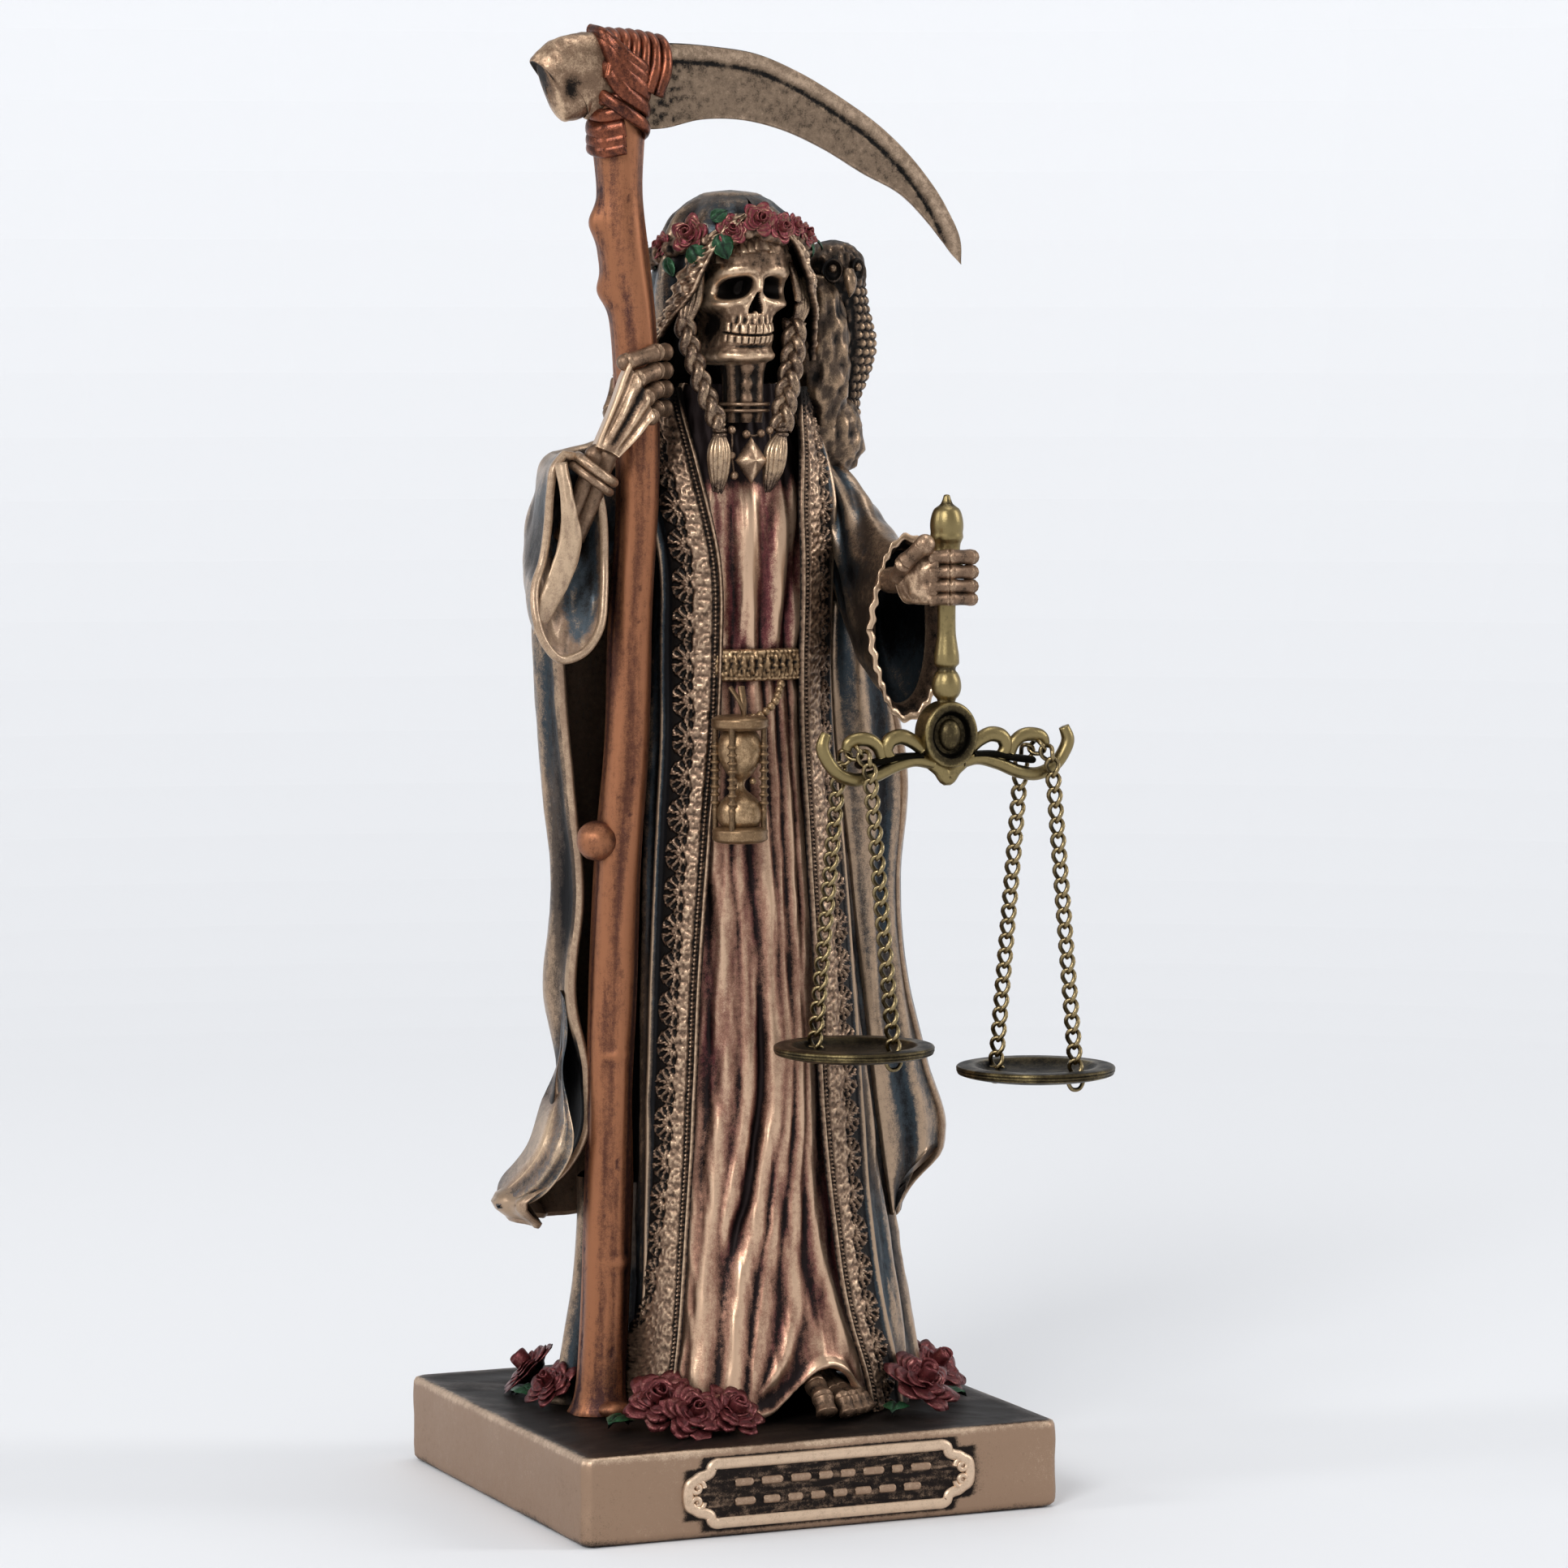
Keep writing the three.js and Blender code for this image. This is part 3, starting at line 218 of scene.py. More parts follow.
class Shape:
    """Grids of points gathered into one mesh, with wear and paint values; raised lifts them all."""

    def __init__(self, raised=PLINTH_HEIGHT):
        self.points, self.faces, self.wear, self.paint = [], [], [], []
        self.count = 0
        self.raised = np.array([0, 0, raised])

    def add(self, grid, wrap=False, caps=False, inside=False, core=None, wear=None, paint=0.0,
            depth=0.3, reach=2, shade=0.6, samples=40, tone=0.0):
        """Add a grid; its wear value for the paint comes from its own relief and, as painted shade, from
        how open the place is.

        wrap joins the last column to the first, and caps closes the first and last rows. inside turns the
        faces inwards. core is an upright axis that the faces look away from. depth and reach are the
        relief's depth in mm and its size in grid steps, shade is the weight of the openness, measured at
        so many samples each way, and tone is added to the wear.
        """
        grid = np.asarray(grid, float)
        m, n = grid.shape[:2]
        normal = normals(grid, wrap)
        flat = grid.reshape(-1, 3)
        away = grid - flat.mean(axis=0)
        if core is not None:
            away = grid - np.array([core[0], core[1], 0])
            away[..., 2] = 0
        flip = ((away * normal).sum() < 0) != inside
        if flip:
            normal = -normal
        if wear is None:
            # Height over the mean of a small and a large window, in shares of the relief's depth
            fine = ((grid - blurred(grid, reach, wrap)) * normal).sum(-1) / depth
            broad = ((grid - blurred(grid, reach * 4, wrap)) * normal).sum(-1) / (depth * 2.6)
            wear = 0.46 + 0.30 * np.clip(fine, -1.5, 1) + 0.38 * np.clip(broad, -1.3, 1)
        wear = wear + tone
        # Painted shade: the wear value is lowered where the CAD solids hide the sky
        if shade:
            rows = np.unique(np.linspace(0, m - 1, min(m, samples)).astype(int))
            columns = np.unique(np.linspace(0, n - 1, min(n, samples)).astype(int))
            some = np.ix_(rows, columns)
            seen = openness(grid[some] + self.raised, normal[some])
            wear = wear - shade * (1 - spread(seen, rows, columns, (m, n)))
        at = np.arange(m * n).reshape(m, n) + self.count
        right = np.roll(at, -1, axis=1) if wrap else at[:, 1:]
        left = at if wrap else at[:, :-1]
        quads = np.stack([left[:-1], right[:-1], right[1:], left[1:]], axis=-1).reshape(-1, 4)
        groups = [quads]
        points = [flat]
        extra_wear_and_shade = [np.broadcast_to(wear, (m, n)).ravel()]
        extra_paint = [np.broadcast_to(paint, (m, n)).ravel()]
        total = m * n
        if caps:
            for row, ends in ((at[0], grid[0]), (at[-1], grid[-1])):
                if np.ptp(ends, axis=0).max() < 1e-6:
                    continue
                middle = self.count + total
                fan = np.stack([np.full(n, middle), np.roll(row, -1), row], axis=-1)
                groups.append(fan if row is at[0] else fan[:, ::-1])
                points.append(ends.mean(axis=0)[None])
                extra_wear_and_shade.append(extra_wear_and_shade[0][:1])
                extra_paint.append(extra_paint[0][:1])
                total += 1
        # The rows' own order gives normals of the sign that np.cross gave, so one flip serves all.
        for faces in groups:
            self.faces.append(faces[:, ::-1] if flip else faces)
        self.points += points
        self.wear += extra_wear_and_shade
        self.paint += extra_paint
        self.count += total
        return self

    def bar(self, path, wide, tall, sides, up=(0, 0, 1), **look):
        """Add a closed bar along a path."""
        return self.add(sweep(path, wide, tall, sides, up), wrap=True, caps=True, **look)

    def bead(self, centre, radii, around, down, **look):
        """Add an ellipsoid."""
        return self.add(ball(centre, radii, around, down), wrap=True, **look)

    def finish(self, name, material, node="figure"):
        """Make the mesh object, ride the root and take the place of its node."""
        points = np.concatenate(self.points) + self.raised
        mesh = bpy.data.meshes.new(name)
        mesh.vertices.add(len(points))
        mesh.vertices.foreach_set("co", (points * MM).ravel().astype(np.float32))
        sizes = np.concatenate([np.full(len(f), f.shape[1]) for f in self.faces])
        loops = np.concatenate([f.ravel() for f in self.faces])
        mesh.loops.add(len(loops))
        mesh.loops.foreach_set("vertex_index", loops.astype(np.int32))
        mesh.polygons.add(len(sizes))
        mesh.polygons.foreach_set("loop_start", (np.cumsum(sizes) - sizes).astype(np.int32))
        mesh.polygons.foreach_set("use_smooth", np.ones(len(sizes), bool))
        mesh.update(calc_edges=True)
        mesh.validate()
        for title, values in (("wear", self.wear), ("paint", self.paint)):
            data = mesh.attributes.new(title, "FLOAT", "POINT").data
            data.foreach_set("value", np.concatenate(values).astype(np.float32))
        mesh.materials.append(material)
        o = bpy.data.objects.new(name, mesh)
        bpy.context.scene.collection.objects.link(o)
        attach(o, "root")
        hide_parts(node)


def curve(points, count):
    """Points (and any values after x, y, z) evenly spaced along a smooth curve through stations."""
    points = np.asarray(points, float)
    along = lengths(points[:, :3])
    return rows_at(np.column_stack([along, points]), np.linspace(0, along[-1], count))


def section_curve(section, count):
    """Rows of two values as points spread along the smooth line through them."""
    return curve([[a, 0, b] for a, b in section], count)[:, ::2]


def section_rows(section, count):
    """Rows of two values, as many between each pair, on smooth curves through them."""
    order = np.arange(len(section))
    return rows_at(np.column_stack([order, section]), np.linspace(0, order[-1], count))


def frames(path, up=(0, 0, 1), closed=False):
    """Side and top directions at each point of a path."""
    if closed:
        way = np.roll(path, -1, axis=0) - np.roll(path, 1, axis=0)
    else:
        way = np.gradient(path, axis=0)
    way = unit(way)
    side = np.cross(way, np.asarray(up, float))
    side /= np.maximum(np.linalg.norm(side, axis=1, keepdims=True), 1e-9)
    return side, np.cross(side, way)


def sweep(path, wide, tall, sides=12, up=(0, 0, 1), closed=False):
    """Rings of an ellipse carried along a path; wide is level, tall is along up."""
    path = np.asarray(path, float)
    side, top = frames(path, up, closed)
    turn = turns(sides)[..., None]
    wide = np.broadcast_to(wide, len(path))[:, None, None]
    tall = np.broadcast_to(tall, len(path))[:, None, None]
    grid = path[:, None] + np.cos(turn) * wide * side[:, None] + np.sin(turn) * tall * top[:, None]
    return np.concatenate([grid, grid[:1]]) if closed else grid


def ball(centre, radii, around=20, down=12):
    """Ellipsoid with its poles along z."""
    rise = np.linspace(0, math.pi, down)[:, None]
    turn = turns(around)
    return np.asarray(centre) + radii * xyz(np.sin(rise) * np.cos(turn),
                                            np.sin(rise) * np.sin(turn), np.cos(rise))


def lathe(profile, centre, sides=48, count=None):
    """Profile rows of radius and height turned round a vertical axis."""
    profile = np.asarray(profile, float)
    if count:
        profile = section_curve(profile, count)
    turn = turns(sides)
    radius, z = profile[:, :1], profile[:, 1:2]
    return np.asarray(centre) + xyz(radius * np.cos(turn), radius * np.sin(turn), z)


def round_ended(count, ends=0.25):
    """Radius factor along a bar: an even middle and quarter circles over a share at each end."""
    near_end = np.clip((np.abs(np.linspace(-1, 1, count)) - 1 + ends) / ends, 0, 1)
    return np.sqrt(np.clip(1 - near_end ** 2, 0, 1))


# Metal paint: sizes in mm, then the weight of each noise on the border between dark and bright
SPECK_SIZE = 0.9
PAINT_FILM = 0.08
GRAIN_STRENGTH = 0.25
FINE_SHARE, FLAKE_SHARE, SPECK_SHARE = 0.6, 0.5, 0.7
# Width of the blend out of the recess colour, and the blend into the rubbed colour about its own level
DEEP_BLEND = 0.48
BRIGHT_BLEND = (-0.04, 0.46)
PAINT_BLEND = (0.55, 1.1)


def painted_bronze(name, recess, body, rubbed, paint=None, metallic=0.8, rough=(0.52, 0.28), cloud=2.6,
                   grain=0.16, streak=(1, 1, 1), mottle=0.3, low=0.16, high=0.66):
    """Metal paint over resin: the wear value sets recess, body or rubbed colour, blurred by noise.

    cloud and grain are the sizes in mm of the soft patches and of the metal flakes. streak draws the
    patches out along an axis. mottle is how far they move the colours' borders, low and high are the
    wear at which the body colour starts and the rubbed one does, and rough is from recess to rubbed.
    """
    material = bpy.data.materials.new(name)
    material.use_nodes = True
    tree = material.node_tree
    shader = tree.nodes["Principled BSDF"]

    def node(kind, inputs, out=0, **settings):
        """Output of a new node; each input is linked to a socket or set to a value."""
        made = tree.nodes.new(kind)
        for key, value in settings.items():
            setattr(made, key, value)
        for slot, given in inputs.items():
            if isinstance(given, bpy.types.NodeSocket):
                tree.links.new(given, made.inputs[slot])
            else:
                made.inputs[slot].default_value = given
        return made.outputs[out]

    place = node("ShaderNodeTexCoord", {}, "Object")
    stretched = node("ShaderNodeMapping", {"Vector": place, "Scale": streak})

    def pattern(at, size, detail, broken):
        scale = 1 / (size * MM)
        return node("ShaderNodeTexNoise", {"Vector": at, "Scale": scale, "Detail": detail,
                                           "Roughness": broken})

    patches = pattern(stretched, cloud, 4.0, 0.62)
    flakes = pattern(place, grain, 2.0, 0.6)
    specks = pattern(place, SPECK_SIZE, 5.0, 0.75)
    fine = pattern(stretched, cloud / 6, 3.0, 0.6)
    # The wear attribute holds rubbing and wash from the relief, and painted shade from how open each place
    # is
    worn_and_shaded = node("ShaderNodeAttribute", {}, "Fac", attribute_name="wear")
    shares = (mottle, mottle * FINE_SHARE, FLAKE_SHARE, SPECK_SHARE)
    for share, field in zip(shares, (patches, fine, flakes, specks)):
        worn_and_shaded = node("ShaderNodeMath", {0: field, 1: share, 2: worn_and_shaded}, operation="MULTIPLY_ADD")
    # Each noise has a mean of a half
    worn_and_shaded = node("ShaderNodeMath", {0: worn_and_shaded, 1: 0.5 * sum(shares)}, operation="SUBTRACT")
    deep = node("ShaderNodeMapRange", {"Value": worn_and_shaded, "From Min": low, "From Max": low + DEEP_BLEND},
                interpolation_type="SMOOTHSTEP")
    bright = node("ShaderNodeMapRange", {"Value": worn_and_shaded, "From Min": high + BRIGHT_BLEND[0],
                                         "From Max": high + BRIGHT_BLEND[1]},
                  interpolation_type="SMOOTHSTEP")
    colour = linear(body)
    if paint:
        amount = node("ShaderNodeAttribute", {}, "Fac", attribute_name="paint")
        amount = node("ShaderNodeMath", {0: fine, 1: 0.9, 2: amount}, operation="MULTIPLY_ADD")
        amount = node("ShaderNodeMapRange", {"Value": amount, "From Min": PAINT_BLEND[0],
                                             "From Max": PAINT_BLEND[1]}, interpolation_type="SMOOTHSTEP")
        # Sockets 0, 6 and 7 of a colour mix are its share and its two colours, and its output is 2
        colour = node("ShaderNodeMix", {0: amount, 6: colour, 7: linear(paint)}, 2, data_type="RGBA")
    colour = node("ShaderNodeMix", {0: deep, 6: linear(recess), 7: colour}, 2, data_type="RGBA")
    colour = node("ShaderNodeMix", {0: bright, 6: colour, 7: linear(rubbed)}, 2, data_type="RGBA")
    roughness = node("ShaderNodeMapRange", {"Value": worn_and_shaded, "From Min": 0.2, "From Max": 0.9,
                                            "To Min": rough[0], "To Max": rough[1]})
    height = node("ShaderNodeMath", {0: fine, 1: 1.4, 2: flakes}, operation="MULTIPLY_ADD")
    raised = node("ShaderNodeBump", {"Height": height, "Strength": GRAIN_STRENGTH,
                                     "Distance": PAINT_FILM * MM})
    tree.links.new(colour, shader.inputs["Base Color"])
    tree.links.new(roughness, shader.inputs["Roughness"])
    tree.links.new(raised, shader.inputs["Normal"])
    shader.inputs["Metallic"].default_value = metallic
    return material


# Warm bronze bone, rubbed pale gold, near black in sockets and between teeth
bone = painted_bronze("bone_gold_bronze", "#17110d", "#7d6450", "#d2b394", grain=0.2, mottle=0.45,
                      rough=(0.56, 0.33))
# Slate-blue paint over dark bronze, worn through to bronze on the folds
slate = painted_bronze("slate_painted_bronze", "#121113", "#50443b", "#ad937a", paint="#313a40", cloud=4,
                       streak=(1, 1, 0.3), mottle=0.5, high=0.7)
# Pale pink-bronze dress with wine paint in the folds
wine = painted_bronze("wine_painted_bronze", "#1a1010", "#966e5b", "#d0ae91", paint="#6c3839", cloud=3.2,
                      streak=(1, 1, 0.3), mottle=0.4, high=0.56)
# Lace and hems: light bronze on top, black-brown between the threads
lace = painted_bronze("lace_bronze", "#120d0a", "#7a6250", "#d0b294", grain=0.14, mottle=0.2, low=0.2)
# Inner faces of cape and sleeves: light satin bronze, bluish low down
lining = painted_bronze("lining_bronze", "#1a1512", "#8a705b", "#c6aa8c", paint="#47525a", cloud=3,
                        streak=(1, 1, 0.35), mottle=0.35, metallic=0.45)
# Gold textured belt, hourglass frame and jewels
gold = painted_bronze("gold_bronze", "#150f0b", "#80664a", "#cfae86", mottle=0.3)
# Hair: dark bronze between the strands, light along their tops
braid_bronze = painted_bronze("braid_bronze", "#0e0a08", "#5b483d", "#c6a989", mottle=0.3,
                              low=0.3, high=0.6)
# Dark bronze owl
owl_bronze = painted_bronze("owl_dark_bronze", "#0e0b09", "#4e4035", "#a88c70", mottle=0.3, high=0.62)
# Wine-red roses on the ground, rubbed pink and bronze at the petal rims
rose_red = painted_bronze("rose_red_bronze", "#170909", "#662c2e", "#b98478", metallic=0.65,
                          mottle=0.35, high=0.62)
# Wreath roses: bronze petals with pink-red rims
rose_pink = painted_bronze("rose_pink_bronze", "#140b0a", "#7c5545", "#cda48b", paint="#80363e",
                           metallic=0.65,
                           mottle=0.2)
# Green painted leaves with bronze edges
leaf_green = painted_bronze("leaf_green", "#08150d", "#22502f", "#8f9a6c", metallic=0.45,
                            mottle=0.3, high=0.8)
# Copper-brown shaft with long wood grain and purple darks
copper = painted_bronze("shaft_copper", "#1c1110", "#613c2d", "#9c6748", paint="#40282a", cloud=3.4,
                        streak=(1, 1, 0.16), mottle=0.8, high=0.62, rough=(0.66, 0.45))
# Red-orange cord at the top of the scythe
cord_red = painted_bronze("lashing_red_copper", "#170a09", "#42221a", "#8c5038",
                          paint="#2c1917", mottle=0.7,
                         low=0.3, high=0.8)
# Pale bronze blade with black grain in its groove
blade_bronze = painted_bronze("blade_bronze", "#161311", "#84705d", "#c4aa91", grain=0.22,
                              mottle=0.4, cloud=5,
                              rough=(0.6, 0.4), high=0.64)
# Antique brass of the beam and pans: black-green recesses, bright yellow high spots
brass = painted_bronze("antique_brass", "#110f0b", "#463d2b", "#8a7a54", metallic=1.0, rough=(0.54, 0.36),
                       grain=0.25, mottle=0.5)
# Darker plated chain
chain_brass = painted_bronze("chain_brass", "#110f0b", "#4c422f", "#8f7e5c", metallic=1.0,
                             rough=(0.45, 0.28),
                             mottle=0.3)
# Champagne sides of the plinth, dark brown rubbed top
plinth_bronze = painted_bronze("plinth_champagne_bronze", "#1b1411", "#9a7f69", "#d9bea3", paint="#31261f",
                               cloud=6, mottle=0.18, rough=(0.58, 0.4), low=0.06, high=0.76)


# The photograph's camera, found from the plinth's edges
CAMERA_PLACE = (-324.1, -767.4, 169.4)
CAMERA_BACK = Vector((-0.3970, -0.9143, 0.0804))
CAMERA_RIGHT = Vector((0.9173, -0.3983, 0.0))
camera_data = bpy.data.cameras.new("photo_camera")
camera_data.lens = 132.65
camera_data.sensor_width = 36
camera_data.clip_start = 0.01
camera = bpy.data.objects.new("photo_camera", camera_data)
bpy.context.scene.collection.objects.link(camera)
right, back = CAMERA_RIGHT.normalized(), CAMERA_BACK.normalized()
upward = back.cross(right)
camera.matrix_world = Matrix((
    (right.x, upward.x, back.x, CAMERA_PLACE[0] * MM),
    (right.y, upward.y, back.y, CAMERA_PLACE[1] * MM),
    (right.z, upward.z, back.z, CAMERA_PLACE[2] * MM),
    (0, 0, 0, 1)))
bpy.context.scene.camera = camera


def softbox(name, place, aim, size, watts, colour=(1, 1, 1)):
    """Square soft light at a place in mm, aimed at another."""
    data = bpy.data.lights.new(name, "AREA")
    data.shape = "RECTANGLE"
    data.size, data.size_y = size[0] * MM, size[1] * MM
    data.energy = watts
    data.color = colour
    o = bpy.data.objects.new(name, data)
    o.location = Vector(place) * MM
    o.rotation_euler = (Vector(place) - Vector(aim)).to_track_quat("Z", "Y").to_euler()
    bpy.context.scene.collection.objects.link(o)


softbox("key_front_left", (-1300, -1350, 1300), (0, 0, 100), (700, 700), 22)
softbox("fill_right", (1500, -700, 900), (0, 0, 100), (300, 900), 9)
softbox("top", (300, -100, 1900), (0, 0, 120), (900, 600), 6)
softbox("strip_left", (-1600, 200, 800), (0, 0, 100), (250, 900), 7)
softbox("backdrop_light", (0, 250, 900), (100, 1000, 100), (1200, 200), 0.55)

world = bpy.data.worlds.new("studio")
bpy.context.scene.world = world
world.use_nodes = True
world.node_tree.nodes["Background"].inputs[0].default_value = (0.84, 0.85, 0.87, 1)
world.node_tree.nodes["Background"].inputs[1].default_value = 0.6
bpy.context.scene.view_settings.view_transform = "Standard"

# Floor that bends up far behind into a low wall, so no horizon shows
FLOOR_FLAT, FLOOR_BEND, FLOOR_TOP = 500.0, 600.0, 360.0
FLOOR_DROP = 0.05
bend = np.linspace(0, math.pi / 2, 24)
floor_rows = np.concatenate([[[0, 0], [300, 0]], np.column_stack([
    FLOOR_FLAT + FLOOR_BEND * np.sin(bend), FLOOR_TOP * (1 - np.cos(bend))])])
floor_grid = lathe(floor_rows, (0, 0, -FLOOR_DROP), 96)
floor_mesh = bpy.data.meshes.new("floor")
at = np.arange(floor_grid[..., 0].size).reshape(floor_grid.shape[:2])
floor_mesh.from_pydata((floor_grid.reshape(-1, 3) * MM).tolist(), [], np.stack(
    [at[:-1], at[1:], np.roll(at, -1, 1)[1:], np.roll(at, -1, 1)[:-1]], axis=-1).reshape(-1, 4).tolist())
floor = bpy.data.objects.new("floor", floor_mesh)
bpy.context.scene.collection.objects.link(floor)
paper = bpy.data.materials.new("pale_paper")
paper.use_nodes = True
paper.node_tree.nodes["Principled BSDF"].inputs["Base Color"].default_value = (0.78, 0.79, 0.81, 1)
paper.node_tree.nodes["Principled BSDF"].inputs["Roughness"].default_value = 0.75
floor_mesh.materials.append(paper)


# Coat: height, centre x and y, half widths left and right, half depths front and back
COAT_ROWS = [
    [0, 1.5, 0, 18.5, 27.5, 22.2, 22], [10, 1.5, 0, 18.2, 26.3, 21.6, 21], [22, 1.3, 0, 18, 24.2, 19.8, 19],
    [40, 1, 0, 17.6, 21.5, 17.8, 17], [60, 0.6, 0, 17, 19.6, 16, 15.5],
    [85, 0.2, 0, 15.6, 17.2, 13.8, 13.5], [96, 0, 0, 14.8, 16, 12.8, 12.5], [107, 0, 0, 14, 15.4, 12.4, 12],
    [120, 0, 0, 14.2, 16, 12.6, 12], [131, 0, 0.5, 16, 17, 12, 11.5], [138, 0, 1, 14.8, 15, 11, 10],
    [143, 0.3, 1.5, 12.8, 13, 10, 8], [148, 0.4, 1, 10.8, 11, 9, 6]]
# Cape and skirt: height, half widths left and right, half depths back and front
MANTLE_ROWS = [
    [27, 31, 27, 21.5, 15], [31, 34.6, 29.5, 22, 22], [34, 29.6, 33, 21.8, 22], [38, 26, 34, 21.5, 22],
    [48, 24.5, 31, 21, 22], [60, 26.8, 27.8, 20, 22], [75, 25.6, 26.4, 19.5, 22], [90, 27, 27.6, 18.8, 22],
    [104, 28.4, 25, 18, 22], [120, 28, 20.5, 17, 19], [131, 24, 17, 15, 15], [138, 17, 14.5, 13, 11],
    [143, 11, 11, 11, 8], [148, 7.5, 7.5, 9, 8]]
SKIRT_ROWS = [
    [0, 25, 27, 22, 8], [10, 23.2, 26.5, 21.5, 8], [24, 21.8, 25.5, 20.5, 8], [34, 21.5, 25, 20, 8]]
# Lapels: height, x of the inner edges left and right, x of the outer edges left and right
LAPEL_ROWS = [
    [0, -15.6, 13.8, -18.6, 19.2], [4, -15.1, 13.0, -18.0, 18.5], [13.5, -13.8, 10.2, -16.7, 16.2],
    [28.6, -12.0, 8.3, -15.5, 14.6], [43, -10.4, 7.3, -14.5, 14.4], [62.6, -9.2, 7.1, -13.7, 14.0],
    [85, -7.2, 6.5, -12.4, 13.2], [98.4, -5.8, 6.2, -11.5, 12.6], [110.4, -5.3, 6.3, -11.3, 12.4],
    [122.5, -5.6, 6.4, -11.6, 12.3], [131, -7.0, 6.5, -13.0, 12.9], [137, -7.9, 7.3, -13.5, 12.9],
    [143, -8.4, 8.0, -12.4, 12.2], [148, -8.6, 8.4, -10.7, 10.9]]
BELT_LOW, BELT_HIGH = 105.2, 109.8
# Where dress and coat end, inside the hood
NECK_TOP = 147.4


def coat_flare(turn, z):
    """How far the coat flares low down at the left of its front."""
    return 4.5 * bump(turn, -0.75, 0.4) * np.maximum(0, 1 - z / 45)


def coat_point(turn, z, proud=0.0):
    """Point of the coat: an ellipse at each height, which flares low on the left; turn 0 is the front."""
    cx, cy, left, wide, front, deep = np.moveaxis(rows_at(COAT_ROWS, z), -1, 0)
    s, c = np.sin(turn), np.cos(turn)
    grow = proud + coat_flare(turn, z)
    return xyz(cx + (np.where(s < 0, left, wide) + grow) * s,
               cy - (np.where(c > 0, front, deep) + grow) * c, z)


def coat_turn(x, z):
    """Turn at which the coat's front has a given x."""
    turn = np.zeros(np.broadcast(x, z).shape)
    cx, _, left, wide, _, _ = np.moveaxis(rows_at(COAT_ROWS, z), -1, 0)
    for _ in range(12):
        half = np.where(x < cx, left, wide) + coat_flare(turn, z)
        turn = 0.5 * turn + 0.5 * np.arcsin(np.clip((x - cx) / half, -0.999, 0.999))
    return turn


def ellipse_point(rows, turn, z, proud=0.0):
    """Point of the cape or skirt; turn 0 is the back, and the front edges are near 1.8 to each side."""
    left, wide, deep, front = np.moveaxis(rows_at(rows, z), -1, 0)
    s, c = np.sin(turn), np.cos(turn)
    return xyz((np.where(s < 0, left, wide) + proud) * s,
               0.5 + (np.where(c > 0, deep, front) + proud) * c, z)


# Folds of the dress: height and x along each crest, then the crest's height and width
DRESS_FOLDS = [
    ([[0, -15.8], [12.5, -13.8], [31.5, -11.8], [48, -11], [61, -10.5], [76, -9.4], [104, -7.4], [150, -7]],
     1.2, 1.3),
    ([[0, -13], [14.5, -11.5], [23, -10.5], [31, -8.8], [48, -6.2], [61, -5.5], [76, -6], [104, -5],
      [150, -4.6]], 1.1, 1.2),
    ([[20, -9.6], [30, -6.8], [39.6, -4.1], [52, -2.7], [61, -2.2], [76, -3], [104, -2.6], [150, -2.3]],
     0.9, 0.9),
    ([[0, -8.4], [5.6, -7.4], [18, -6], [28, -2.8], [35, -1.4], [43, 0.5], [61, 0.9], [104, -0.2],
      [150, 0]], 1.3, 1.1),
    ([[0, -5.2], [5.4, -4.1], [14, -2.8], [22, -1.4], [31, 0.5], [43, 2.8], [61, 3], [104, 2.2],
      [150, 2.4]], 1.0, 0.9),
    ([[0, -10], [1.7, -7.3], [5.6, -2.2], [14, 1.9], [22.4, 2.4], [35, 4.2], [61, 5], [104, 4.4],
      [150, 4.8]], 1.0, 0.9),
    ([[0, 14], [8.5, 12.1], [13, 9.8], [19.6, 7.5], [30, 6.6], [61, 6.8], [104, 6.4], [150, 6.8]],
     0.9, 0.9)]
DEEP_FOLD = [[20, -7.8], [27, -6], [31, -4.1], [37, -2.8], [43.6, -1.4], [60, -0.7], [70, -0.6]]
HEM_ROWS = [
    [-30, 0], [-7, 0.3], [-1.8, 1.2], [2, 4], [5.6, 6.8], [8, 7], [10.5, 5.6], [13, 2.6], [16, 0.3],
    [30, 0]]


